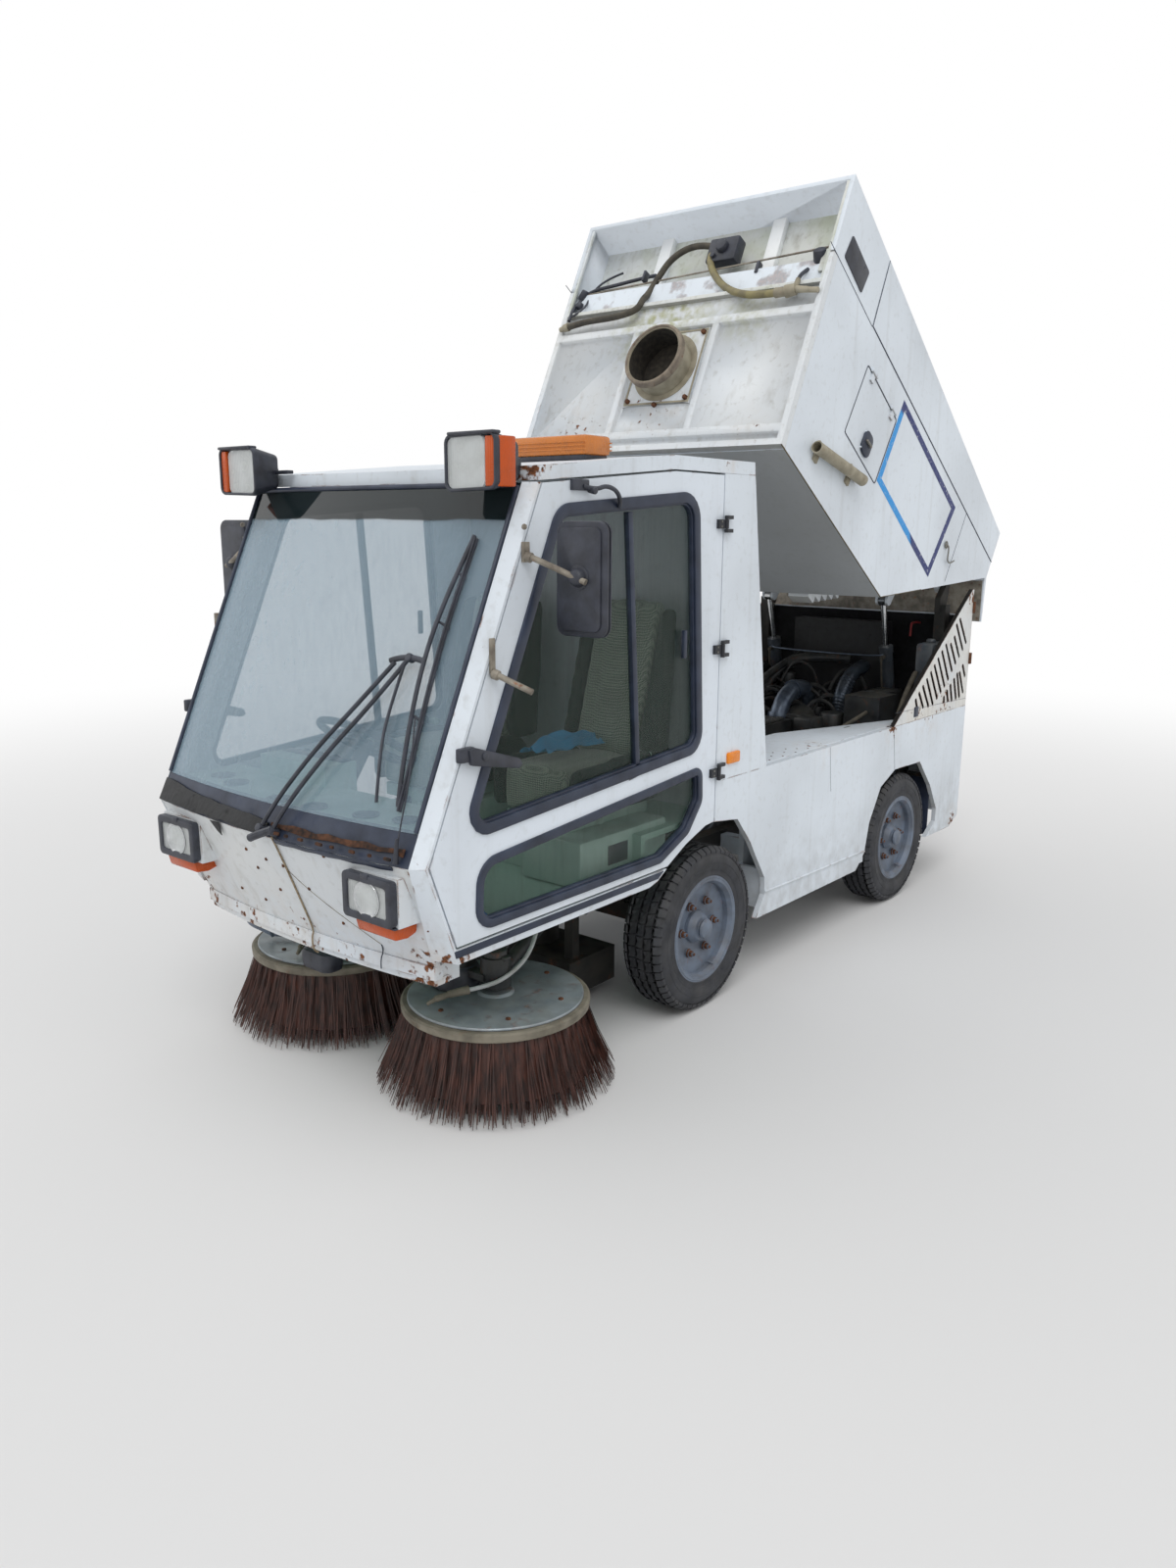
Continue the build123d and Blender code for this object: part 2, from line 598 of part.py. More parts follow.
def hopper_front():
    """Front wall with its frame of bars, bored for the inlet."""
    length = math.hypot(HOP_B[0] - HOP_A[0], HOP_B[1] - HOP_A[1])
    s0 = (HOP_A[1] - HOOD_Z + 7) / (HOP_A[1] - HOP_B[1]) * length
    wall = front_strip(s0, length, -HOP_HALF, HOP_HALF, -FRONT_WALL_T, -22)
    bars = [(s0, s0 + 40, -HOP_HALF, HOP_HALF), (555, 588, -HOP_HALF, HOP_HALF), (1058, 1092, -HOP_HALF, HOP_HALF),
            (length - 26, length, -HOP_HALF, HOP_HALF), (s0, length, -HOP_HALF, -HOP_HALF + 26),
            (s0, length, HOP_HALF - 26, HOP_HALF), (580, 1080, -218, -188), (580, 1080, 188, 218)]
    for a, b, x0, x1 in bars:
        wall = wall + front_strip(a, b, x0, x1, -23, 0)
    wall = wall + front_strip(SPIGOT_S - 172, SPIGOT_S + 172, -172, 172, -23, -12)
    y, z = front_point(SPIGOT_S, SPIGOT_L)
    yb, zb = front_point(SPIGOT_S, -80)
    return wall - rod((0, y, z), (0, yb, zb), SPIGOT_R - SPIGOT_T)


def inlet_spigot():
    """Round inlet tube with a rolled rim."""
    a, b = front_point(SPIGOT_S, SPIGOT_L), front_point(SPIGOT_S, -12 + SEAT_GAP)
    tube = pipe((0, *b), (0, *a), SPIGOT_R, SPIGOT_T)
    c = front_point(SPIGOT_S, SPIGOT_L - 16)
    flange_top = front_point(SPIGOT_S, -12 + SEAT_GAP + 8)
    rim = pipe((0, *c), (0, *a), SPIGOT_R + 9, SPIGOT_T + 9)
    flange = pipe((0, *b), (0, *flange_top), SPIGOT_R + 18, SPIGOT_T + 18)
    return tube + rim + flange


def hopper_hood():
    """Top front cover over the water pipes, open towards the cab."""
    low = HOOD_Z + SEAT_GAP
    back = LID_FRONT_TOP[0] - PANEL_GAP
    outline = [HOP_A, (line_y(HOP_A, HOP_B, low), low), (LID_FRONT_LOW[0] - PANEL_GAP, low), (back, line_z(HOP_A, HOP_E, back))]
    solid = side_plate(outline, -HOP_HALF, HOP_HALF)
    roof_z = line_z(HOP_A, HOP_E, -352) - 16
    room = side_plate([(-420, roof_z), (-420, 1768), front_point(300, -30), (-40, 1800), (60, roof_z - 10)],
                      -HOP_HALF + 18, HOP_HALF - 18)
    solid = solid - room
    for x in LID_HINGE_X:
        solid = solid + lid_hinge_seat(x)
    return solid


def lid_axis():
    """Side-view point of the lid's hinge axis."""
    return LID_FRONT_TOP[0], line_z(HOP_A, HOP_E, LID_FRONT_TOP[0]) + 8


def lid_hinge_seat(x):
    """Fixed half of a lid hinge: pin, end knuckles and leaves on the hood's roof."""
    y, z = lid_axis()
    seat = drum_x(x - 50, x + 50, y, z, 4)
    for x0, x1 in ((x - 50, x - 27), (x + 27, x + 50)):
        leaf = side_plate([(y - 50, z - 9), (y - 7, z - 9), (y - 2, z - 4), (y, z + 2), (y - 8, z + 2), (y - 14, z - 3),
                           (y - 50, z - 3)], x0, x1)
        seat = seat + drum_x(x0, x1, y, z, 7) + leaf
    return seat


def hopper_pipes():
    """Flat braces and the two thin water pipes in the hood's recess."""
    braces = []
    for x in (-235.0, 275.0):
        braces.append(side_plate([(-342, 1790), (-318, 1790), (-60, 2062), (-84, 2062)], x - 32, x + 32))
    hood = hopper_hood()
    shaped = [b - hood for b in braces]
    pipes = [rod((-HOP_HALF + 18 + SEAT_GAP, y, z), (HOP_HALF - 18 - SEAT_GAP, y, z), 7) for y, z in ((-352 + 22, 1862), (-352 + 26, 1826))]
    result = shaped[0] + shaped[1]
    for p in pipes:
        result = result + p
    return group(result)


def lid():
    """Top cover, open downwards, hinged at its front upper edge."""
    roof0 = line_z(HOP_A, HOP_E, LID_FRONT_TOP[0])
    outline = [(LID_FRONT_TOP[0], roof0), (LID_FRONT_LOW[0] + 3, LID_FRONT_LOW[1]), (HOP_E[0], LID_REAR_LOW_Z), HOP_E]
    solid = side_plate(outline, -HOP_HALF, HOP_HALF)
    inner = [(LID_FRONT_TOP[0] + 22, roof0 - 24), (LID_FRONT_LOW[0] + 22, LID_FRONT_LOW[1] - 10),
             (HOP_E[0] - HOP_T, LID_REAR_LOW_Z - 10), (HOP_E[0] - HOP_T, HOP_E[1] - 22)]
    solid = solid - side_plate(inner, -HOP_HALF + HOP_T, HOP_HALF - HOP_T)
    y, z = lid_axis()
    for x in LID_HINGE_X:
        leaf = side_plate([(y + 50, z - 12), (y + 7, z - 9), (y + 2, z - 4), (y, z + 2), (y + 8, z + 2), (y + 14, z - 3),
                           (y + 50, z - 5)], x - 25, x + 25)
        knuckle = drum_x(x - 25, x + 25, y, z, 7) + leaf
        solid = solid + (knuckle - drum_x(x - 30, x + 30, y, z, 4 + RUN_GAP))
    return solid


def hatch_left():
    """Side hatch in the hopper wall, hinged along its top edge, with a recessed grip."""
    y0, z0, y1, z1 = HATCH
    g = PANEL_GAP
    panel = side_plate([(y0 + g, z0 + g), (y1 - g, z0 + g), (y1 - g, z1 - g), (y0 + g, z1 - g)], HOP_HALF - HOP_T, HOP_HALF)
    for y in HATCH_HINGE_Y:
        leaf = box(HOP_HALF - 1, HATCH_AXIS_X, y - 14, y + 14, z1 - 40, z1) + rod(
            (HATCH_AXIS_X, y - 14, z1), (HATCH_AXIS_X, y + 14, z1), 6)
        leaf = leaf - box(HOP_HALF - 2, HOP_HALF + 1.7, y - 20, y + 20, z1 - g, z1 + 10)
        panel = panel + (leaf - rod((HATCH_AXIS_X, y - 20, z1), (HATCH_AXIS_X, y + 20, z1), 3 + RUN_GAP))
    return panel + box(HOP_HALF - 1, HOP_HALF + 8, 340, 415, 1300, 1385)


def side_tube():
    """Tube clipped low on the hopper's left side."""
    a, b = (HOP_HALF + 32, -10, 1046), (HOP_HALF + 32, 400, 1176)
    tube = pipe(a, b, 24, 4)
    clips = []
    for t in (0.14, 0.82):
        y, z = a[1] + (b[1] - a[1]) * t, a[2] + (b[2] - a[2]) * t
        clips.append(box(HOP_HALF + 0.3, HOP_HALF + 10, y - 16, y + 16, z - 44, z + 44))
    result = tube
    for clip in clips:
        result = result + clip
    return result


def lip():
    """Discharge lip that hangs straight down when the hopper is raised as it stands."""
    a = math.radians(TIP_REST)
    d0 = (HOP_D[0] - 1, HOP_D[1] + 2)
    down = (math.sin(a), -math.cos(a))
    out = (math.cos(a), math.sin(a))
    pts = [d0, (d0[0] + down[0] * LIP_L, d0[1] + down[1] * LIP_L),
           (d0[0] + down[0] * LIP_L + out[0] * 10, d0[1] + down[1] * LIP_L + out[1] * 10),
           (d0[0] + out[0] * 10 + 4, d0[1] + out[1] * 10 + 30), (d0[0], d0[1] + 34)]
    return side_plate(pts, -HOP_HALF + 10, HOP_HALF - 10)


# Chassis and running gear

def chassis_frame():
    """Two rails with cross members, cylinder feet and the portal that carries the hopper pins."""
    frame = box(RAIL_X - RAIL_W / 2, RAIL_X + RAIL_W / 2, RAIL_FRONT_Y, REAR_FACE_Y - 20 - SEAT_GAP, RAIL_LOW, RAIL_HIGH)
    frame = frame + mirror_x(frame)
    for y in CROSS_Y:
        frame = frame + box(-RAIL_X, RAIL_X, y - 30, y + 30, RAIL_LOW + 20, RAIL_HIGH - 20)
    for side in (-1, 1):
        frame = frame + box(side * (RAIL_X - 20), side * 634, REAR_FACE_Y - 90, REAR_FACE_Y - 30, RAIL_LOW, RAIL_HIGH)
        x0 = side * (LUG_X + LUG_T + 6)
        frame = frame + box(x0, x0 + side * 60, REAR_FACE_Y - 90, REAR_FACE_Y - 30, RAIL_LOW, PIVOT[1] - 105)
        for y in (RAIL_FRONT_Y + 40, -700):
            frame = frame + box(side * (RAIL_X - 25), side * (RAIL_X + 25), y - 30, y + 30, RAIL_HIGH - 1, SILL_Z - SEAT_GAP)
        frame = frame + drum_x(side * (RAIL_X + RAIL_W / 2 - 2), side * (ARM_X + 58), ARM_PIVOT_Y, ARM_PIVOT_Z, ARM_PIN_R)
        bracket = side_plate([(PIVOT[0] - 95, 1400), (PIVOT[0] - 20, 1400), (PIVOT[0] + 18, PIVOT[1] - 22),
                              (PIVOT[0] + 14, PIVOT[1] + 10), (PIVOT[0] - 18, PIVOT[1] + 6), (PIVOT[0] - 95, PIVOT[1] - 70)],
                             x0, x0 + side * 30)
        pin = drum_x(side * (LUG_X - 6), x0 + side * 20, *PIVOT, PIVOT_PIN_R)
        frame = frame + bracket + pin
        foot = box(side * (CYL_X - 60), side * (CYL_X - 40), CYL_BASE[0] - 40, REAR_FACE_Y - 45, RAIL_HIGH - 40, CYL_BASE[1] + 30)
        foot = foot + box(side * (CYL_X + 40), side * (CYL_X + 60), CYL_BASE[0] - 40, REAR_FACE_Y - 45, RAIL_HIGH - 110,
                          CYL_BASE[1] + 30)
        foot = foot + drum_x(side * (CYL_X - 60), side * (CYL_X + 60), *CYL_BASE, 16)
        frame = frame + foot
    return frame


FRONT_ARCH = [(-597, 750), (-432, 728), (-330, 612), (-205, 433), (-200, 360), (-262, 270)]
REAR_ARCH = [(722, 330), (757, 470), (860, 628), (1010, 690), (1305, 682), (1460, 534), (1562, 390), (1562, 320), (1450, 254)]


def side_pod():
    """Left lower side: outer skin with both wheel arches, the top ledge and the inward lower flange."""
    top = LEDGE_Z
    outline = [(-597, top), *FRONT_ARCH, (640, 262), *REAR_ARCH, (1765, 248), (1868, 296), (1868, top)]
    skin = side_plate(outline, BODY_HALF - WALL, BODY_HALF)
    ledge = box(BODY_HALF - LEDGE_W, BODY_HALF - 1, -440, 940, top - WALL, top)
    back = box(BODY_HALF - LEDGE_W, BODY_HALF - LEDGE_W + WALL, -170, 700, 300, top - 1)
    floor = box(BODY_HALF - LEDGE_W, BODY_HALF - 1, -170, 700, 290, 290 + WALL)
    ends = box(BODY_HALF - LEDGE_W, BODY_HALF - 1, -190, -170 + 2, 290, 460) + box(
        BODY_HALF - LEDGE_W, BODY_HALF - 1, 690, 712, 290, 560)
    shell = skin + ledge + back + floor + ends
    wing = box(RAIL_X + RAIL_W / 2 + SEAT_GAP, BODY_HALF - LEDGE_W + 2, 60, 110, RAIL_LOW + 15, RAIL_HIGH - 15)
    wing = wing + box(RAIL_X + RAIL_W / 2 + SEAT_GAP, BODY_HALF - LEDGE_W + 2, 560, 610, RAIL_LOW + 15, RAIL_HIGH - 15)
    return shell + wing


def grille_left():
    """Triangular engine door with two rows of leaning slots, on the left flank."""
    low = LEDGE_Z + SEAT_GAP
    outline = [(966, low), (1862, low), (1862, 1524), (1845, 1524)]
    panel = side_plate(outline, BODY_HALF - WALL, BODY_HALF)
    for y_low, z_low, y_high, z_high in GRILLE_SLOTS:
        corners = [(y_low - SLOT_HALF, z_low), (y_low + SLOT_HALF, z_low), (y_high + SLOT_HALF, z_high),
                   (y_high - SLOT_HALF, z_high)]
        panel = panel - round_plate(corners, SLOT_ROUND, BODY_HALF - 60, BODY_HALF + 60)
    return panel


SLOT_HALF = 12.0
SLOT_ROUND = 8.0
GRILLE_SLOTS = [(1222, 966, 1197, 1017), (1303, 956, 1231, 1046), (1366, 955, 1273, 1076), (1421, 958, 1316, 1107),
                (1470, 983, 1360, 1137), (1514, 1010, 1400, 1168), (1557, 1036, 1440, 1200), (1599, 1067, 1484, 1232),
                (1641, 1108, 1529, 1263), (1684, 1143, 1590, 1262), (1726, 1174, 1632, 1296), (1769, 1206, 1650, 1357),
                (1808, 1240, 1690, 1383), (1562, 953, 1556, 990), (1614, 953, 1590, 1018), (1667, 949, 1630, 1045),
                (1723, 953, 1674, 1071), (1770, 956, 1712, 1096), (1817, 976, 1742, 1100), (1826, 1063, 1778, 1135)]


def rear_panel():
    """Rear wall with the radiator opening and lamp panels."""
    half = BODY_HALF - WALL - SEAT_GAP
    wall = box(-half, half, REAR_FACE_Y - 20, REAR_FACE_Y + 2, 320, REAR_TOP_Z)
    wall = wall - box(-420, 420, REAR_FACE_Y - 30, REAR_FACE_Y + 30, 760, REAR_TOP_Z - 60)
    for n in range(12):
        z = 780 + n * 44
        wall = wall + box(-421, 421, REAR_FACE_Y - 16, REAR_FACE_Y - 4, z, z + 12)
    bumper = box(-600, 600, REAR_FACE_Y + 1, REAR_FACE_Y + 50, 300, 380)
    return wall + bumper


def tail_lamps():
    """Rear lamp clusters."""
    return both(box(500, 630, REAR_FACE_Y + 2 + SEAT_GAP, REAR_FACE_Y + 34, 560, 680))


def engine():
    """Engine and pump as one plain mass with its manifold."""
    seat = RAIL_HIGH - 20 + SEAT_GAP
    block = box(-225, 215, 330, 1000, seat, 800)
    head = box(-150, 130, 380, 950, 799, 885)
    route = [(200, 520, 750), (330, 520, 750), (395, 560, 800), (395, 760, 835), (300, 860, 800), (200, 860, 750)]
    manifold = bent_rod(route, [40, 45, 45, 40], 34)
    pump = box(-120, 120, 100, 331, 520, 760)
    return block + head + pump + manifold


def radiator():
    """Radiator core and header behind the rear grille."""
    return box(-275, 275, REAR_FACE_Y - 190, REAR_FACE_Y - 96, 760, 1340) + box(
        -200, 200, REAR_FACE_Y - 190, REAR_FACE_Y - 100, RAIL_HIGH - 20 + SEAT_GAP, 761)


def fan_housing():
    """Suction fan and battery box on the right of the bay, a plain volute."""
    seat = RAIL_HIGH + SEAT_GAP
    volute = rod((-560, 1380, 940), (-300, 1380, 940), 160)
    foot = box(-330, -240, 1330, 1430, seat, 850)
    tank = box(330, 520, 1130, 1330, 700, 1010)
    leg = box(240, 400, 1150, 1300, seat, 701)
    return group(volute + foot, tank + leg)


def front_axle():
    """Beam axle with fork ends for the kingpins."""
    z = TYRE_R
    beam = box(-KINGPIN_X + 36, KINGPIN_X - 36, FRONT_AXLE_Y - 35, FRONT_AXLE_Y + 35, z - AXLE_BEAM_H / 2, z + AXLE_BEAM_H / 2)
    for side in (-1, 1):
        for z0 in (z - 62, z + 42):
            ear = box(side * (KINGPIN_X - 90), side * (KINGPIN_X + 24), FRONT_AXLE_Y - 24, FRONT_AXLE_Y + 24, z0, z0 + 20)
            beam = beam + ear
        beam = beam + box(side * (KINGPIN_X - 90), side * (KINGPIN_X - 38), FRONT_AXLE_Y - 24, FRONT_AXLE_Y + 24, z - 62, z + 62)
        beam = beam + rod((side * KINGPIN_X, FRONT_AXLE_Y, z - 66), (side * KINGPIN_X, FRONT_AXLE_Y, z + 66), KINGPIN_R)
        beam = beam + box(side * (RAIL_X - 28), side * (RAIL_X + 28), FRONT_AXLE_Y - 30, FRONT_AXLE_Y + 30, z + 20,
                          RAIL_LOW - SEAT_GAP)
    return beam


def knuckle_left():
    """Steering knuckle: boss on the kingpin, stub for the wheel and the steering arm."""
    x, y, z = KINGPIN_X, FRONT_AXLE_Y, TYRE_R
    boss = rod((x, y, z - 41.5), (x, y, z + 41.5), 32)
    stub = rod((x + 20, y, z), (WHEEL_X + 34, y, z), STUB_R)
    arm = box(x - 14, x + 14, y + 20, y + STEER_ARM + 16, z - 16, z - 2)
    arm = arm + rod((x, y + STEER_ARM, z - 16), (x, y + STEER_ARM, z - 2), 20)
    return boss + stub + arm - rod((x, y, z - 60), (x, y, z + 60), KINGPIN_R + RUN_GAP)


def track_rod():
    """Rod between the steering arms, lying on top of their ends."""
    y, z = FRONT_AXLE_Y + STEER_ARM, TYRE_R + 12
    bar = drum_x(-KINGPIN_X + 30, KINGPIN_X - 30, y, z, TRACK_ROD_R)
    for side in (-1, 1):
        bar = bar + rod((side * KINGPIN_X, y, TYRE_R - 2 + RUN_GAP), (side * KINGPIN_X, y, TYRE_R + 24), 20)
        bar = bar + drum_x(side * (KINGPIN_X - 32), side * KINGPIN_X, y, z, TRACK_ROD_R)
    return bar


def rear_axle():
    """Rear beam with hub stubs, bolted under the rails."""
    z = TYRE_R
    beam = box(-470, 470, REAR_AXLE_Y - 38, REAR_AXLE_Y + 38, z - 38, z + 38)
    for side in (-1, 1):
        beam = beam + drum_x(side * 460, side * (WHEEL_X + 34), REAR_AXLE_Y, z, STUB_R)
        beam = beam + box(side * (RAIL_X - 28), side * (RAIL_X + 28), REAR_AXLE_Y - 60, REAR_AXLE_Y + 60, z + 30,
                          RAIL_LOW - SEAT_GAP)
    return beam


def tyre(side, y):
    """Tyre as a ring with a square tread and straight walls."""
    half = TYRE_W / 2
    profile = [(RIM_R + 2.3, -half + 17), (RIM_R + 18, -half + 15), (TYRE_R - 22, -half), (TYRE_R, -half + 20), (TYRE_R, half - 20), (TYRE_R - 22, half),
               (RIM_R + 18, half - 15), (RIM_R + 2.3, half - 17)]
    ring = revolve(make_face(Polyline(*[(x, 0, r) for r, x in profile], close=True)), axis=Axis.X)
    return Pos(side * WHEEL_X, y, TYRE_R) * ring


def rim(side, y):
    """Steel rim with a dished disc, hub, cap and wheel nuts; the outer face looks along +X before mirroring."""
    half = TYRE_W / 2 - 16
    barrel_profile = [(RIM_R + 2, -half), (RIM_R + 14, -half - 3), (RIM_R + 14, -half - 9), (RIM_R - 6, -half - 9),
                      (RIM_R - 16, -half + 8), (RIM_R - 16, half - 8), (RIM_R - 6, half + 9), (RIM_R + 14, half + 9),
                      (RIM_R + 14, half + 3), (RIM_R + 2, half)]
    disc_profile = [(STUB_R + 30, 14), (RIM_R - 15, 34), (RIM_R - 15, 44), (STUB_R + 30, 24)]
    hub_profile = [(0, 40), (0, 78), (24, 78), (34, 66), (HUB_R - 30, 64), (HUB_R - 14, 40), (HUB_R - 14, -30), (STUB_R + RUN_GAP, -30),
                   (STUB_R + RUN_GAP, 40)]
    shape = None
    for profile in (barrel_profile, disc_profile, hub_profile):
        ring = revolve(make_face(Polyline(*[(x, 0, r) for r, x in profile], close=True)), axis=Axis.X)
        shape = ring if shape is None else shape + ring
    for n in range(STUD_COUNT):
        a = 2 * math.pi * (n + 0.5) / STUD_COUNT
        cy, cz = STUD_PCD_R * math.sin(a), STUD_PCD_R * math.cos(a)
        shape = shape + drum_x(20, 48, cy, cz, STUD_R + 5) + drum_x(40, 66, cy, cz, STUD_R - 3)
    if side < 0:
        shape = mirror_x(shape)
    return Pos(side * WHEEL_X, y, TYRE_R) * shape


# Lift cylinders

def barrels():
    """Both cylinder barrels on their base pin."""
    by, bz = CYL_BASE
    ty, tz = CYL_TOP_REST
    length = math.hypot(ty - by, tz - bz)
    uy, uz = (ty - by) / length, (tz - bz) / length
    tube = pipe((CYL_X, by + uy * 40, bz + uz * 40), (CYL_X, by + uy * BARREL_L, bz + uz * BARREL_L), BARREL_R,
                BARREL_R - ROD_R - 6)
    base = rod((CYL_X, by + uy * 22, bz + uz * 22), (CYL_X, by + uy * 60, bz + uz * 60), BARREL_R)
    eye = drum_x(CYL_X - 30, CYL_X + 30, by, bz, 34) - drum_x(CYL_X - 40, CYL_X + 40, by, bz, 16 + RUN_GAP)
    gland = pipe((CYL_X, by + uy * (BARREL_L - 40), bz + uz * (BARREL_L - 40)), (CYL_X, by + uy * BARREL_L, bz + uz * BARREL_L),
                 BARREL_R + 3, BARREL_R + 3 - ROD_R - RUN_GAP)
    one = tube + gland + (base - drum_x(CYL_X - 40, CYL_X + 40, by, bz, 16 + RUN_GAP)) + eye
    return both(one)


def rods():
    """Both piston rods with their top eyes and the cross pin they share."""
    by, bz = CYL_BASE
    ty, tz = CYL_TOP_REST
    length = math.hypot(ty - by, tz - bz)
    uy, uz = (ty - by) / length, (tz - bz) / length
    start = 420
    bar = rod((CYL_X, by + uy * start, bz + uz * start), (CYL_X, ty - uy * 20, tz - uz * 20), ROD_R)
    eye = drum_x(CYL_X - 18, CYL_X + 18, ty, tz, 28)
    return both(bar + eye)


# Brushes and suction

def brush_arm(side):
    """Arm from its pin on the rail to the brush head, with the motor on top and its cover."""
    x = side * BRUSH_X
    root = drum_x(side * (ARM_X - 47), side * (ARM_X + 45), ARM_PIVOT_Y, ARM_PIVOT_Z, 30)
    route = [(side * ARM_X, ARM_PIVOT_Y - 24, ARM_PIVOT_Z), (side * ARM_X, ARM_PIVOT_Y - 180, ARM_PIVOT_Z - 10),
             (x, BRUSH_Y + 60, PLATE_Z + 92), (x, BRUSH_Y, PLATE_Z + 92)]
    arm = bent_rod(route, [60, 26], ARM_R)
    motor = rod((x, BRUSH_Y, PLATE_Z + 34), (x, BRUSH_Y, PLATE_Z + 140), 52)
    shaft = rod((x, BRUSH_Y, PLATE_Z - 24), (x, BRUSH_Y, PLATE_Z + 40), SHAFT_R)
    cover = rod((x - side * 150, BRUSH_Y - 40, PLATE_Z + 22), (x - side * 150, BRUSH_Y - 40, PLATE_Z + 110), 70)
    link = box(x - side * 150, x, BRUSH_Y - 60, BRUSH_Y - 20, PLATE_Z + 60, PLATE_Z + 84)
    bore = drum_x(side * (ARM_X - 60), side * (ARM_X + 60), ARM_PIVOT_Y, ARM_PIVOT_Z, ARM_PIN_R + RUN_GAP)
    return root + [arm, motor, shaft, link, cover] - bore


def brush_plate(side):
    """Steel plate, ring and hub that carry the bristles."""
    x = side * BRUSH_X
    plate = rod((x, BRUSH_Y, PLATE_Z), (x, BRUSH_Y, PLATE_Z + 8), PLATE_R)
    ring = rod((x, BRUSH_Y, PLATE_Z - 34), (x, BRUSH_Y, PLATE_Z + 0.5), RING_R) - rod(
        (x, BRUSH_Y, PLATE_Z - 40), (x, BRUSH_Y, PLATE_Z), 200)
    hub = rod((x, BRUSH_Y, PLATE_Z - 30), (x, BRUSH_Y, PLATE_Z + 20), 60)
    bore = rod((x, BRUSH_Y, PLATE_Z - 40), (x, BRUSH_Y, PLATE_Z + 30), SHAFT_R + RUN_GAP)
    return plate + ring + hub - bore


def bristles(side):
    """Ring of splayed tufts under the plate that reaches the floor."""
    x = side * BRUSH_X
    z1 = PLATE_Z - 33
    core = [(236, z1), (304, z1), (TIP_R - 40, TIP_Z + 30), (TIP_R - 90, TIP_Z + 30)]
    ring = revolve(make_face(Polyline(*[(r, 0, z) for r, z in core], close=True)), axis=Axis.Z)
    tufts = []
    for n in range(TUFTS):
        a = 2 * math.pi * n / TUFTS
        ca, sa = math.cos(a), math.sin(a)
        top = [(292, -15), (309, -15), (309, 15), (292, 15)]
        low = [(TIP_R - 62, -13), (TIP_R, -13), (TIP_R, 13), (TIP_R - 62, 13)]
        faces = []
        for points, z in ((top, z1), (low, TIP_Z)):
            faces.append(make_face(Polyline(*[(r * ca - t * sa, r * sa + t * ca, z) for r, t in points], close=True)))
        tufts.append(loft(faces, ruled=True))
    return Pos(x, BRUSH_Y, 0) * (ring + tufts)


def nozzle():
    """Suction nozzle between the front wheels, open below, with its neck up to the duct."""
    y = -860
    neck_r = DUCT_HALF - 5
    shell = box(-300, 300, -1000, -720, 60, 200) - box(-278, 278, -978, -742, 40, 178)
    shell = shell - rod((0, y, 150), (0, y, 250), neck_r - DUCT_T)
    neck = pipe((0, y, 190), (0, y, DUCT_LOW - SEAT_GAP), neck_r, DUCT_T)
    hangers = both(box(240, 280, -960, -920, 199, RAIL_LOW - SEAT_GAP)).solids()
    return shell + [neck, *hangers]


def suction_duct():
    """Square pipe from the nozzle, back under the cab and up the bulkhead, to the seal that meets the hopper inlet."""
    front = CAB_BACK_Y + WALL + SEAT_GAP
    sy, sz = front_point(SPIGOT_S, SPIGOT_L + SEAL_GAP)
    by, bz = front_point(SPIGOT_S, SPIGOT_L + SEAL_GAP + 60)
    top = sz + SPIGOT_R + 24
    low = sz - SPIGOT_R - 24
    half = SPIGOT_R + 24
    t = DUCT_T
    outer = box(-DUCT_HALF, DUCT_HALF, DUCT_FRONT_Y, DUCT_BACK_Y, DUCT_LOW, DUCT_HIGH)
    outer = outer + box(-DUCT_HALF, DUCT_HALF, front, DUCT_BACK_Y, DUCT_HIGH - 1, low + 1) + box(-half, half, front, DUCT_BACK_Y, low, top)
    outer = outer + rod((0, by, bz), (0, sy, sz), SPIGOT_R + 8)
    inner = box(-DUCT_HALF + t, DUCT_HALF - t, DUCT_FRONT_Y + t, DUCT_BACK_Y - t, DUCT_LOW + t, DUCT_HIGH - t)
    inner = inner + box(-DUCT_HALF + t, DUCT_HALF - t, front + t, DUCT_BACK_Y - t, DUCT_HIGH - t - 1, low + t + 1)
    inner = inner + box(-half + t, half - t, front + t, DUCT_BACK_Y - t, low + t, top - t)
    deep, high = front_point(SPIGOT_S, SPIGOT_L + SEAL_GAP + 110)
    inner = inner + rod((0, deep, high), (0, sy, sz), SPIGOT_R - SPIGOT_T)
    inner = inner + rod((0, by, bz), (0, sy + 5, sz), SPIGOT_R - SPIGOT_T)
    inner = inner + rod((0, -860, DUCT_LOW - 5), (0, -860, DUCT_LOW + 20), DUCT_HALF - 5 - t)
    return outer - inner


def work_lamps():
    """Lamps at the roof's front corners, on short feet."""
    lamp = box(520, 650, -1740, -1640, 1985, 2110)
    foot = box(560, 600, -1690, -1580, 2000, 2060)
    return both(lamp + foot - cab_roof())


def beacon():
    """Short amber beacon bar on the left half of the roof."""
    lens = box(80, 480, -1140, -1000, 2066, 2134)
    foot = box(100, 460, -1125, -1015, 2040, 2067) - cab_roof()
    return lens + foot


def wipers():
    """Two wiper arms and the blade, lying on the glass."""
    def on_glass(x, z, off):
        y = screen_y(z) - SCREEN_BOW * (1 - (x / PILLAR_HALF) ** 2) - off
        return (x, y, z)
    arms = rod(on_glass(30, 950, 16), on_glass(250, 1420, 30), 7) + rod(on_glass(60, 945, 16), on_glass(280, 1410, 30), 7)
    link = rod(on_glass(250, 1420, 30), on_glass(300, 1415, 30), 9)
    blade = rod(on_glass(330, 1010, 26), on_glass(330, 1800, 26), 9)
    spindle = rod(on_glass(45, 945, 9.2), on_glass(45, 945, 30), 20)
    bridge = rod(on_glass(290, 1412, 30), on_glass(330, 1400, 26), 8)
    return group(arms + link + blade + spindle + bridge)


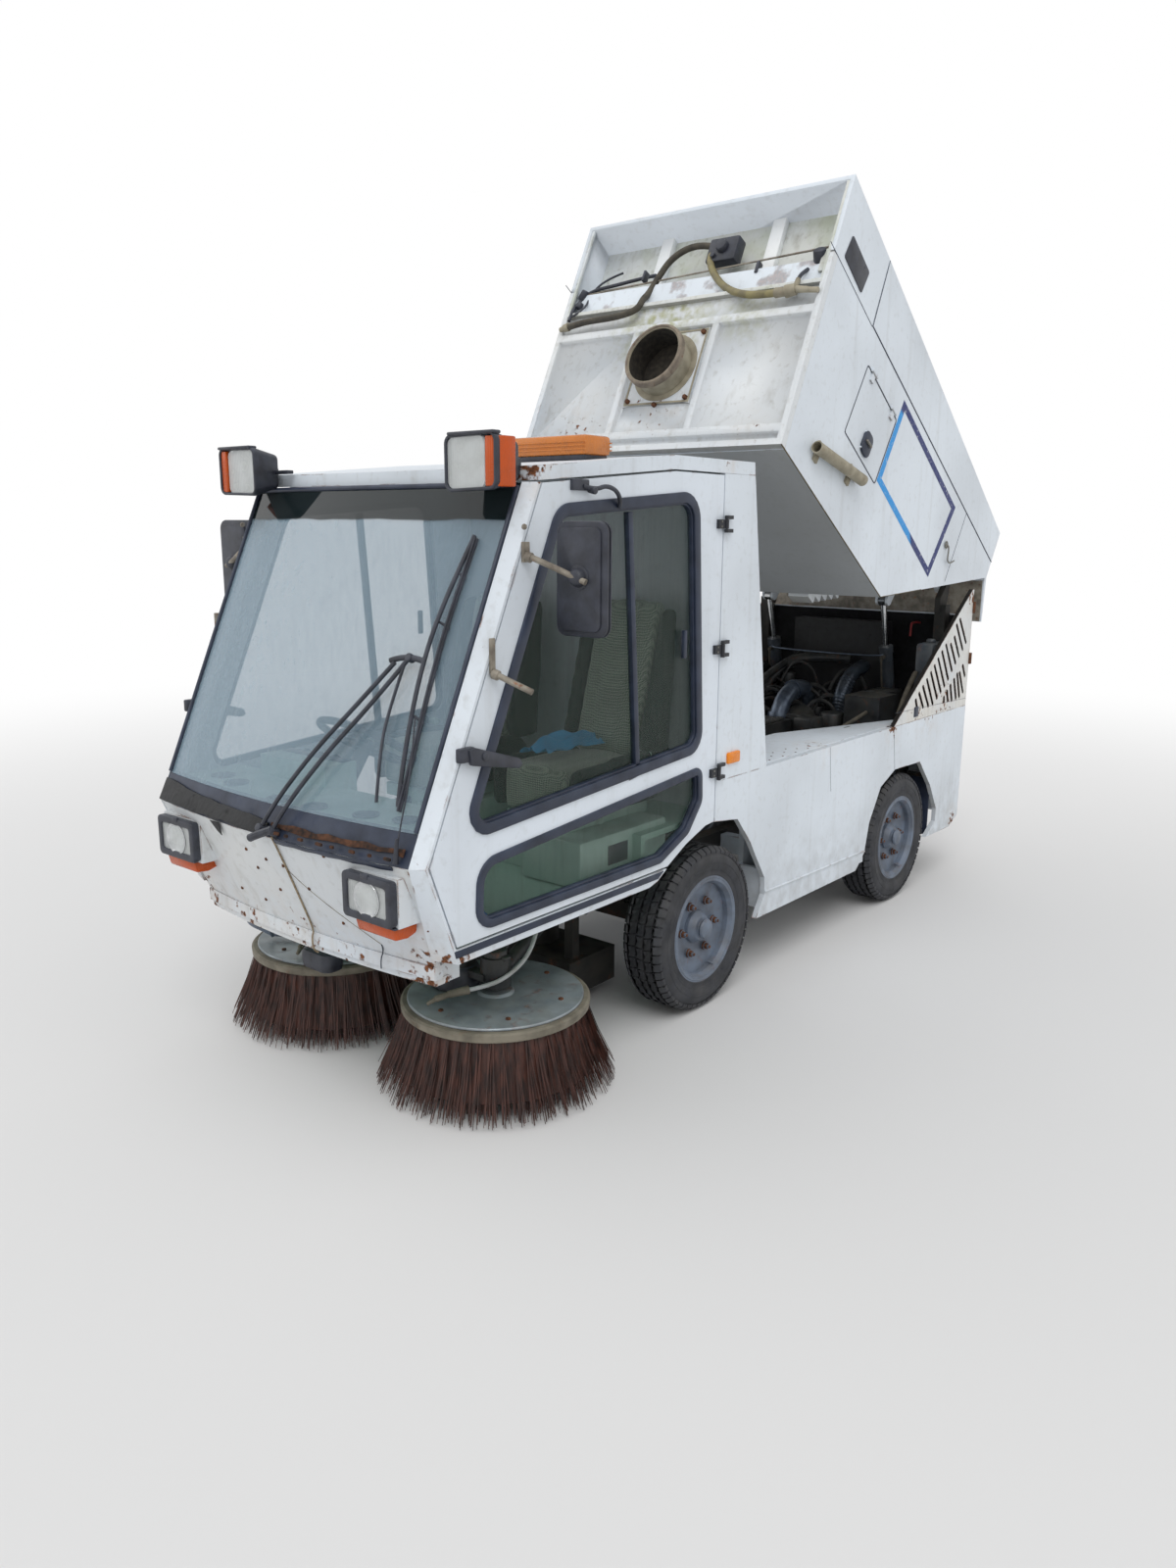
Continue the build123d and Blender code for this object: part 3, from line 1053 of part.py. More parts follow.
NODES = {
    "chassis_frame": chassis_frame,
    "side_panels": lambda: both(side_pod()),
    "grille_panels": lambda: both(grille_left()),
    "rear_panel": lambda: group(rear_panel(), tail_lamps()),
    "engine": engine,
    "radiator": radiator,
    "fan_and_tank": fan_housing,
    "cab_roof": cab_roof,
    "cab_pillars": lambda: both(cab_pillar()),
    "cab_floor": cab_floor,
    "cab_back": cab_back,
    "windscreen": windscreen,
    "cowl": cowl,
    "nose_panel": nose_panel,
    "apron": apron,
    "front_lamps": lambda: group(headlamps(), turn_lamps()),
    "roof_lamps": lambda: group(work_lamps(), beacon()),
    "wipers": wipers,
    "dashboard": dashboard,
    "steering_wheel": steering,
    "seats": lambda: group(seat_with_base(-1), seat_with_base(1)),
    "door_left": door_left,
    "door_right": lambda: mirror_x(door_left()),
    "door_glass_left": door_glass_left,
    "door_glass_right": lambda: mirror_x(door_glass_left()),
    "mirror_left": mirror_left,
    "mirror_right": lambda: mirror_x(mirror_left()),
    "front_axle": front_axle,
    "rear_axle": rear_axle,
    "knuckle_left": knuckle_left,
    "knuckle_right": lambda: mirror_x(knuckle_left()),
    "track_rod": track_rod,
    "brush_arm_left": lambda: brush_arm(1),
    "brush_arm_right": lambda: brush_arm(-1),
    "brush_left": lambda: brush_plate(1) + bristles(1),
    "brush_right": lambda: brush_plate(-1) + bristles(-1),
    "suction_nozzle": nozzle,
    "suction_duct": suction_duct,
    "hopper_body": lambda: raised(hopper_body() + lip()),
    "hopper_front": lambda: raised(hopper_front()),
    "inlet_spigot": lambda: raised(inlet_spigot()),
    "hopper_hood": lambda: raised(hopper_hood()),
    "hopper_pipes": lambda: raised(hopper_pipes()),
    "hopper_lid": lambda: raised(lid()),
    "hatch_left": lambda: raised(hatch_left()),
    "hatch_right": lambda: raised(mirror_x(hatch_left())),
    "side_tube": lambda: raised(side_tube()),
    "lift_barrels": barrels,
    "lift_rods": rods,
}
for place, y in (("front", FRONT_AXLE_Y), ("rear", REAR_AXLE_Y)):
    for name, side in (("left", 1), ("right", -1)):
        NODES[f"tyre_{place}_{name}"] = lambda s=side, y=y: tyre(s, y)
        NODES[f"rim_{place}_{name}"] = lambda s=side, y=y: rim(s, y)

# The drawing's datum lies a little ahead of the middle of the whole vehicle, which is the part's origin.
FRONT_END = SCREEN_LOW[0] - SCREEN_BOW
REAR_END = turned(*HOP_E, -TIP_REST)[0]
MIDDLE_Y = (FRONT_END + REAR_END) / 2

os.makedirs("parts", exist_ok=True)
for node, make in NODES.items():
    export_step(Pos(0, -MIDDLE_Y, 0) * make(), f"parts/{node}.step")
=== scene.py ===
"""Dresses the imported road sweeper: finishes, glass, seals, lamps, wheels, brushes, cab and engine bay.

Sizes are in millimetres of the part's own drawing and turned to metres of the frame by at() and tip().
"""
import math
import random

import bpy
from mathutils import Matrix, Vector


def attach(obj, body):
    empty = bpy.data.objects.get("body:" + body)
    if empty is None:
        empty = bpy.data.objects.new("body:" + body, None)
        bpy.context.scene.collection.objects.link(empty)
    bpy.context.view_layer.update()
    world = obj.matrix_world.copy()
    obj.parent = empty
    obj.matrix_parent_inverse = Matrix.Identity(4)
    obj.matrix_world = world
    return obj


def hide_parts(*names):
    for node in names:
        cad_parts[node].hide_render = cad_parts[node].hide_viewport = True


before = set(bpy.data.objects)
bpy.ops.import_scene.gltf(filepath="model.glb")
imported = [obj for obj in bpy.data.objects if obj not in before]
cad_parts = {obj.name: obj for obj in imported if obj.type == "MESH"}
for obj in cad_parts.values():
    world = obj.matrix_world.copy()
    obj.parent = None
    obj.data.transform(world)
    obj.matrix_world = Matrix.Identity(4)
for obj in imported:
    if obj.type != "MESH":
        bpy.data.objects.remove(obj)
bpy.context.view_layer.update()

bl_info = {
    "name": "Compact Road Sweeper",
    "version": (1, 0, 0),
    "blender": (4, 5, 0),
    "location": "View3D > Sidebar > Sweeper",
    "description": "Builds the trim and finishes of a compact road sweeper around its frame",
    "category": "Object",
}

# Drawing station of the frame's origin, and the hopper's hinge with the angle it is tipped by at rest.
MIDDLE_Y = 26.64
PIVOT_Y, PIVOT_Z, TIPPED = 1865.0, 1545.0, math.radians(33.0)
SIDES = ((1, "left"), (-1, "right"))
# Wheel stations, the tyres' middle plane and axle height, and the middle of a side brush.
AXLES, HALF_TRACK, AXLE_Z = (("front", -620.0), ("rear", 1105.0)), 587, 325
BRUSH_X, BRUSH_Y = 420, -1530
# Widths in metres from the middle at which the finish of a door, an engine door and the floor pan changes,
# and the step of that change; within the engine door's width its slots' walls take a painted shade.
DOOR_SKIN, SLOT_SHADE_WIDTH, FLOOR_TRIM = 0.6786, 0.6765, 0.655
OUTWARDS, INWARDS = 0.0004, -0.0005
# Heights in metres between which the dark band at the windscreen's top sets in.
SCREEN_BAND = 1.868, 1.874


def linear(code):
    """Colour of an sRGB hex value in the renderer's linear light; a setting's colour is so already."""
    if not isinstance(code, str):
        return tuple(code)
    parts = [int(code[n:n + 2], 16) / 255 for n in (1, 3, 5)]
    return (*[c / 12.92 if c <= 0.04045 else ((c + 0.055) / 1.055) ** 2.4 for c in parts], 1.0)


def at(x, y, z):
    """Frame point of a drawing point."""
    return Vector((x / 1000, (y - MIDDLE_Y) / 1000, z / 1000))


def tip(x, y, z):
    """Frame point of a hopper point drawn with the hopper down."""
    dy, dz = y - PIVOT_Y, z - PIVOT_Z
    c, s = math.cos(TIPPED), math.sin(TIPPED)
    return at(x, PIVOT_Y + dy * c + dz * s, PIVOT_Z - dy * s + dz * c)


# Top and bottom edge of the hopper's front, as (y, z).
HOP_A, HOP_B = (-352.0, 2062.0), (-196.0, 925.0)
FACE_L = math.hypot(HOP_B[0] - HOP_A[0], HOP_B[1] - HOP_A[1])
FACE_Y, FACE_Z = (HOP_B[0] - HOP_A[0]) / FACE_L, (HOP_B[1] - HOP_A[1]) / FACE_L


def face(x, s, out):
    """Frame point on the hopper's front, s down from its top edge and out proud of it."""
    return tip(x, HOP_A[0] + FACE_Y * s + FACE_Z * out, HOP_A[1] + FACE_Z * s - FACE_Y * out)


def on_face(x, s):
    """Drawing point of a spot on the hopper's front."""
    point = face(x, s, 0)
    return point.x * 1000, point.y * 1000 + MIDDLE_Y, point.z * 1000


class SweeperSizes(bpy.types.PropertyGroup):
    """Sizes that a user would change."""
    seal: bpy.props.FloatProperty(name="Seal width", description="Width of the upper window seal",
                                  default=0.036, unit="LENGTH")
    low_seal: bpy.props.FloatProperty(name="Lower seal width", description="Width of the lower window seal",
                                      default=0.028, unit="LENGTH")
    bristles: bpy.props.IntProperty(name="Bristles", description="Strands on each brush", default=1500)
    strand: bpy.props.FloatProperty(name="Strand", description="Thickness of a drawn strand", default=0.0042,
                                    unit="LENGTH")
    tread: bpy.props.IntProperty(name="Tread blocks", description="Shoulder blocks round a tyre", default=56)


def colour_setting(name, description, code):
    """Colour that a user would change, with its hex default."""
    return bpy.props.FloatVectorProperty(name=name, description=description, size=4, subtype="COLOR",
                                         default=linear(code), min=0, max=1)


class SweeperColours(bpy.types.PropertyGroup):
    """Colours that a user would change."""
    paint: colour_setting("Paint", "White coachwork", "#DFE7EF")
    stripe: colour_setting("Stripe", "Bright part of the hopper's frame", "#1F93DC")
    stripe_dark: colour_setting("Dark stripe", "Dark part of the hopper's frame", "#1B2A6B")
    rim: colour_setting("Rims", "Wheel paint", "#6C7889")


# Finishes

def spread(table):
    """Table from each listed word to the key that lists it."""
    return {word: key for key, words in table.items() for word in words.split()}


FINISH = {}
# The slot of each finish, then the finish of each part of the frame that isn't plain plastic.
WEAR = spread({
    "coachwork": "cab_roof cab_pillars", "cab_rear": "cab_back", "floor": "cab_floor",
    "flanks": "side_panels rear_panel", "grille": "grille_panels", "nose": "nose_panel apron",
    "doors": "door_left door_right", "hopper_side": "hopper_body hopper_lid hatch_left hatch_right",
    "ring": "inlet_spigot side_tube", "screen": "windscreen", "rubber": "cowl", "mint": "dashboard",
    "side_glass": "door_glass_left door_glass_right", "core": "radiator", "steel": "track_rod",
    "cylinder": "lift_barrels",
    "chassis": "chassis_frame front_axle rear_axle suction_nozzle suction_duct", "piston": "lift_rods",
    "castings": "engine fan_and_tank knuckle_left knuckle_right brush_arm_left brush_arm_right",
    "rim": "rim_front_left rim_front_right rim_rear_left rim_rear_right"})


def add(tree, kind, inputs=(), out=0, **settings):
    """Adds a shader node with its settings and inputs, and gives its output socket."""
    node = tree.nodes.new("ShaderNode" + kind)
    for key, value in settings.items():
        setattr(node, key, value)
    for key, value in dict(inputs).items():
        if isinstance(value, bpy.types.NodeSocket):
            tree.links.new(value, node.inputs[key])
        else:
            node.inputs[key].default_value = value
    return node.outputs[out]


def start(name):
    """New finish: its material, node tree, shader and object coordinates."""
    mat = bpy.data.materials.new(name)
    mat.use_nodes = True
    tree = mat.node_tree
    return mat, tree, tree.nodes["Principled BSDF"], add(tree, "TexCoord", out="Object")


def patches(tree, where, size_mm, low, high, detail=3.0):
    """Where an uneven pattern of about that size rises from low to high."""
    return add(tree, "MapRange",
               {"Value": add(tree, "TexNoise", {"Vector": where, "Scale": 1000.0 / size_mm,
                                                "Detail": detail}), "From Min": low, "From Max": high})


def near(tree, where, centre, radius):
    """Mask that fades out from a point."""
    return add(tree, "MapRange", {"Value": add(tree, "VectorMath", {0: where, 1: centre}, out="Value",
                                               operation="DISTANCE"), "From Min": radius, "From Max": 0.0})


def near_any(tree, where, places):
    """Mask round all of the places."""
    mask = 0.0
    for centre, radius, amount in places:
        here = add(tree, "Math", {0: near(tree, where, at(*centre), radius * 1.5), 1: amount},
                   operation="MULTIPLY", use_clamp=True)
        mask = here if isinstance(mask, float) else add(tree, "Math", {0: mask, 1: here}, operation="MAXIMUM",
                                                        use_clamp=True)
    return mask


def coat(tree, shader, colour, mask, clean, worn):
    """Sets the colour, and a roughness that goes from clean to worn with a mask."""
    tree.links.new(colour, shader.inputs["Base Color"])
    rough = add(tree, "MapRange", {"Value": mask, "To Min": clean, "To Max": worn})
    tree.links.new(rough, shader.inputs["Roughness"])


def sheet_steel(name, paint, grime="#8B8678", soiled=0.3, rust=1.0, algae=0.0, blooms=(), low_dirt=0.0,
                chipped=0.56, moss=(), change=None):
    """Sprayed sheet steel: a slightly waxy white with run-down dirt, rust at its edges and in spots, and a
    painted shade on faces turned down.

    Blooms of rust and moss are places with a radius and an amount. A change is a distance from the middle
    in metres, the step it takes outwards or inwards from there, and the colour past it.
    """
    mat, tree, shader, where = start(name)
    grime = linear(grime)
    colour = add(tree, "Mix", {0: patches(tree, where, 700, 0.40, 0.68), 6: linear(paint),
                               7: linear("#CFD6DD")}, out=2, data_type="RGBA")
    colour = add(tree, "Mix", {0: add(tree, "Math", {0: patches(tree, where, 28, 0.56, 0.80, 6.0), 1: soiled},
                                      operation="MULTIPLY", use_clamp=True), 6: colour, 7: grime}, out=2,
                 data_type="RGBA")
    streak = add(tree, "MapRange",
                 {"Value": add(tree, "TexNoise",
                               {"Vector": add(tree, "Mapping", {"Vector": where, "Scale": (22.0, 22.0, 1.1)}),
                                "Scale": 1.0, "Detail": 4.0}), "From Min": 0.56, "From Max": 0.82})
    colour = add(tree, "Mix", {0: add(tree, "Math", {0: streak, 1: soiled}, operation="MULTIPLY",
                                      use_clamp=True), 6: colour, 7: grime}, out=2, data_type="RGBA")
    if low_dirt:
        low = add(tree, "MapRange", {"Value": add(tree, "SeparateXYZ", {0: where}, out=2), "From Min": 0.62,
                                     "From Max": 0.24})
        dirty = add(tree, "Math", {0: low, 1: patches(tree, where, 60, 0.35, 0.70, 5.0)},
                    operation="MULTIPLY", use_clamp=True)
        colour = add(tree, "Mix", {0: add(tree, "Math", {0: dirty, 1: low_dirt}, operation="MULTIPLY",
                                          use_clamp=True), 6: colour, 7: linear("#6E675A")}, out=2,
                     data_type="RGBA")
    # Painted shade: faces turned downwards are darkened towards grey brown by their slant alone.
    underside_shade = add(tree, "MapRange",
                {"Value": add(tree, "SeparateXYZ", {0: add(tree, "NewGeometry", out="Normal")}, out=2),
                 "From Min": -0.35, "From Max": -0.75})
    colour = add(tree, "Mix", {0: add(tree, "Math", {0: underside_shade, 1: 0.62}, operation="MULTIPLY",
                                      use_clamp=True), 6: colour, 7: linear("#6F6B61")}, out=2,
                 data_type="RGBA")
    if algae:
        green = add(tree, "Math", {0: patches(tree, where, 150, 0.48, 0.72, 6.0), 1: algae},
                    operation="MULTIPLY", use_clamp=True)
        colour = add(tree, "Mix", {0: green, 6: colour, 7: linear("#8D9A4E")}, out=2, data_type="RGBA")
    if moss:
        green = add(tree, "Math", {0: near_any(tree, where, moss),
                                   1: patches(tree, where, 40, 0.40, 0.66, 7.0)}, operation="MULTIPLY",
                    use_clamp=True)
        colour = add(tree, "Mix", {0: green, 6: colour, 7: linear("#9A9A55")}, out=2, data_type="RGBA")
    # The rounded normal leaves the true one only at an edge, where paint wears first.
    rounded_off = add(tree, "Bevel", {"Radius": 0.007}, samples=4)
    same = add(tree, "VectorMath", {0: rounded_off, 1: add(tree, "NewGeometry", out="Normal")}, out="Value",
               operation="DOT_PRODUCT")
    edge = add(tree, "MapRange", {"Value": same, "From Min": 0.995, "From Max": 0.86})
    worn = add(tree, "Math", {0: edge, 1: patches(tree, where, 90, chipped, chipped + 0.10, 5.0)},
               operation="MULTIPLY", use_clamp=True)
    spots = add(tree, "Math", {0: patches(tree, where, 15, 0.72, 0.76, 5.0),
                               1: patches(tree, where, 500, 0.50, 0.62)}, operation="MULTIPLY",
                use_clamp=True)
    worn = add(tree, "Math",
               {0: add(tree, "Math", {0: worn, 1: add(tree, "Math", {0: spots, 1: 0.8}, operation="MULTIPLY",
                                                      use_clamp=True)}, operation="MAXIMUM", use_clamp=True),
                1: rust}, operation="MULTIPLY", use_clamp=True)
    for centre, radius, amount in blooms:
        bloom = add(tree, "Math", {0: near(tree, where, at(*centre), radius), 1: amount},
                    operation="MULTIPLY", use_clamp=True)
        broken = add(tree, "Math", {0: bloom, 1: patches(tree, where, 26, 0.30, 0.72, 8.0)}, operation="ADD")
        worn = add(tree, "Math",
                   {0: worn, 1: add(tree, "MapRange", {"Value": broken, "From Min": 1.02, "From Max": 1.22})},
                   operation="MAXIMUM", use_clamp=True)
    stain = add(tree, "Math", {0: near_any(tree, where, blooms), 1: 0.45}, operation="MULTIPLY",
                use_clamp=True)
    brown = add(tree, "Mix", {0: patches(tree, where, 9, 0.35, 0.65), 6: linear("#3A2114"),
                              7: linear("#8A5430")}, out=2, data_type="RGBA")
    halo = add(tree, "Math", {0: patches(tree, where, 55, 0.40, 0.75), 1: stain}, operation="MULTIPLY",
               use_clamp=True)
    colour = add(tree, "Mix", {0: halo, 6: colour, 7: linear("#BE9C6C")}, out=2, data_type="RGBA")
    colour = add(tree, "Mix", {0: worn, 6: colour, 7: brown}, out=2, data_type="RGBA")
    if change:
        limit, step, tint = change
        width = add(tree, "Math", {0: add(tree, "SeparateXYZ", {0: where}, out=0)}, operation="ABSOLUTE")
        colour = add(tree, "Mix",
                     {0: add(tree, "MapRange", {"Value": width, "From Min": limit, "From Max": limit + step}),
                      6: colour, 7: linear(tint)}, out=2, data_type="RGBA")
    coat(tree, shader, colour, worn, 0.42, 0.85)
    lumps = add(tree, "Math", {0: add(tree, "TexNoise", {"Vector": where, "Scale": 160.0}),
                               1: add(tree, "Math",
                                      {0: add(tree, "TexNoise", {"Vector": where, "Scale": 3.2,
                                                                 "Detail": 1.5}), 1: 6.0},
                                      operation="MULTIPLY", use_clamp=True)}, operation="ADD")
    tree.links.new(add(tree, "Bump", {"Height": add(tree, "Math", {0: lumps, 1: worn}, operation="ADD"),
                                      "Strength": 0.25, "Distance": 0.0012}), shader.inputs["Normal"])
    return mat


def mottled(name, tones, size_mm, rough, metallic=0.0, grain=0.3, depth=0.0006, dust="", dust_amount=0.3,
            stretch=(1.0, 1.0, 1.0), rust=0.0, fine_mm=4.0):
    """Finish that varies between two tones, with a fine grain, settled dust and rust spots."""
    mat, tree, shader, where = start(name)
    laid = add(tree, "Mapping", {"Vector": where, "Scale": stretch})
    colour = add(tree, "Mix", {0: patches(tree, laid, size_mm, 0.36, 0.66, 5.0), 6: linear(tones[0]),
                               7: linear(tones[1])}, out=2, data_type="RGBA")
    worn = patches(tree, where, size_mm * 0.6, 0.60, 0.74, 5.0)
    if dust:
        lying = add(tree, "MapRange",
                    {"Value": add(tree, "SeparateXYZ", {0: add(tree, "NewGeometry", out="Normal")}, out=2),
                     "From Min": -0.2, "From Max": 1.0, "To Min": 0.25})
        dusty = add(tree, "Math", {0: lying, 1: patches(tree, where, 70, 0.30, 0.72, 6.0)},
                    operation="MULTIPLY", use_clamp=True)
        colour = add(tree, "Mix", {0: add(tree, "Math", {0: dusty, 1: dust_amount}, operation="MULTIPLY",
                                          use_clamp=True), 6: colour, 7: linear(dust)}, out=2,
                     data_type="RGBA")
    if rust:
        brown = add(tree, "Mix", {0: patches(tree, where, 11, 0.4, 0.6), 6: linear("#4A2A18"),
                                  7: linear("#95552A")}, out=2, data_type="RGBA")
        colour = add(tree, "Mix", {0: add(tree, "Math", {0: worn, 1: rust}, operation="MULTIPLY",
                                          use_clamp=True), 6: colour, 7: brown}, out=2, data_type="RGBA")
    coat(tree, shader, colour, worn, rough, min(1.0, rough + 0.2))
    shader.inputs["Metallic"].default_value = metallic
    tree.links.new(add(tree, "Bump",
                       {"Height": add(tree, "TexNoise", {"Vector": laid, "Scale": 1000.0 / fine_mm,
                                                         "Detail": 3.0}), "Strength": grain,
                        "Distance": depth}), shader.inputs["Normal"])
    return mat


def pane(name, tint, thin, film, band=False):
    """Float glass: clear from straight on, mirror-like when seen along it, with rain marks and dust. Seen
    along it, more of it takes its colour, a painted reflection beside the real gloss.
    """
    mat, tree, shader, where = start(name)
    marks = add(tree, "MapRange",
                {"Value": add(tree, "TexNoise",
                              {"Vector": add(tree, "Mapping", {"Vector": where, "Scale": (60.0, 60.0, 6.0)}),
                               "Scale": 1.0, "Detail": 5.0}), "From Min": 0.52, "From Max": 0.85})
    dirt = add(tree, "Math", {0: add(tree, "Math", {0: marks, 1: patches(tree, where, 7, 0.66, 0.74)},
                                     operation="MAXIMUM", use_clamp=True), 1: film}, operation="MULTIPLY",
               use_clamp=True)
    # More of the glass takes its colour when seen along it: a painted reflection.
    facing = add(tree, "LayerWeight", {"Blend": 0.42}, out="Facing")
    cover = add(tree, "MapRange", {"Value": facing, "From Min": 0.15, "From Max": 1.0, "To Min": thin,
                                   "To Max": 0.80})
    colour = add(tree, "Mix", {0: dirt, 6: linear(tint), 7: linear("#C9CCC6")}, out=2, data_type="RGBA")
    cover = add(tree, "Math", {0: cover, 1: dirt}, operation="ADD", use_clamp=True)
    if band:
        ripple = add(tree, "Math", {0: add(tree, "TexNoise", {"Vector": where, "Scale": 4.0}), 1: 0.03},
                     operation="MULTIPLY", use_clamp=True)
        high = add(tree, "MapRange",
                   {"Value": add(tree, "Math", {0: add(tree, "SeparateXYZ", {0: where}, out=2), 1: ripple},
                                 operation="ADD"), "From Min": SCREEN_BAND[0], "From Max": SCREEN_BAND[1]})
        colour = add(tree, "Mix", {0: high, 6: colour, 7: linear("#1B2426")}, out=2, data_type="RGBA")
        cover = add(tree, "Math", {0: cover, 1: add(tree, "Math", {0: high, 1: 0.86}, operation="MULTIPLY",
                                                    use_clamp=True)}, operation="MAXIMUM", use_clamp=True)
    tree.links.new(cover, shader.inputs["Alpha"])
    coat(tree, shader, colour, dirt, 0.03, 0.35)
    shader.inputs["IOR"].default_value = 1.52
    return mat


def woven(name, tones, thread_mm, sheen):
    """Woven upholstery: crossed threads, drawn coarse enough to show, with a soft nap."""
    mat, tree, shader, where = start(name)
    turn = 2 * math.pi / (thread_mm / 1000)
    threads = [add(tree, "Math",
                   {0: add(tree, "Math", {0: add(tree, "SeparateXYZ", {0: where}, out=n), 1: turn},
                           operation="MULTIPLY")}, operation="SINE") for n in range(3)]
    cross = add(tree, "Math", {0: threads[1], 1: add(tree, "Math", {0: threads[0], 1: threads[2]},
                                                     operation="ADD")}, operation="MULTIPLY")
    mask = add(tree, "MapRange", {"Value": cross, "From Min": -0.8, "From Max": 0.8})
    colour = add(tree, "Mix", {0: mask, 6: linear(tones[0]), 7: linear(tones[1])}, out=2, data_type="RGBA")
    colour = add(tree, "Mix", {0: add(tree, "Math", {0: patches(tree, where, 160, 0.45, 0.75, 5.0), 1: 0.35},
                                      operation="MULTIPLY", use_clamp=True), 6: colour, 7: linear("#4A463E")},
                 out=2, data_type="RGBA")
    tree.links.new(colour, shader.inputs["Base Color"])
    shader.inputs["Roughness"].default_value = 0.9
    shader.inputs["Sheen Weight"].default_value = sheen
    tree.links.new(add(tree, "Bump", {"Height": mask, "Strength": 0.5, "Distance": 0.0010}),
                   shader.inputs["Normal"])
    return mat


def moulded_lens(name, tint, alpha):
    """Moulded lamp lens: coloured acrylic with fine vertical flutes."""
    mat, tree, shader, where = start(name)
    sideways = add(tree, "Math", {0: add(tree, "SeparateXYZ", {0: where}, out=0),
                                  1: add(tree, "SeparateXYZ", {0: where}, out=1)}, operation="ADD")
    flutes = add(tree, "Math", {0: add(tree, "Math", {0: sideways, 1: 700.0}, operation="MULTIPLY")},
                 operation="SINE")
    soiled = patches(tree, where, 40, 0.45, 0.75, 5.0)
    colour = add(tree, "Mix", {0: add(tree, "Math", {0: soiled, 1: 0.35}, operation="MULTIPLY",
                                      use_clamp=True), 6: linear(tint[0]), 7: linear(tint[1])}, out=2,
                 data_type="RGBA")
    coat(tree, shader, colour, soiled, 0.12, 0.45)
    shader.inputs["IOR"].default_value = 1.49
    shader.inputs["Alpha"].default_value = alpha
    tree.links.new(add(tree, "Bump", {"Height": flutes, "Strength": 0.35, "Distance": 0.0008}),
                   shader.inputs["Normal"])
    return mat


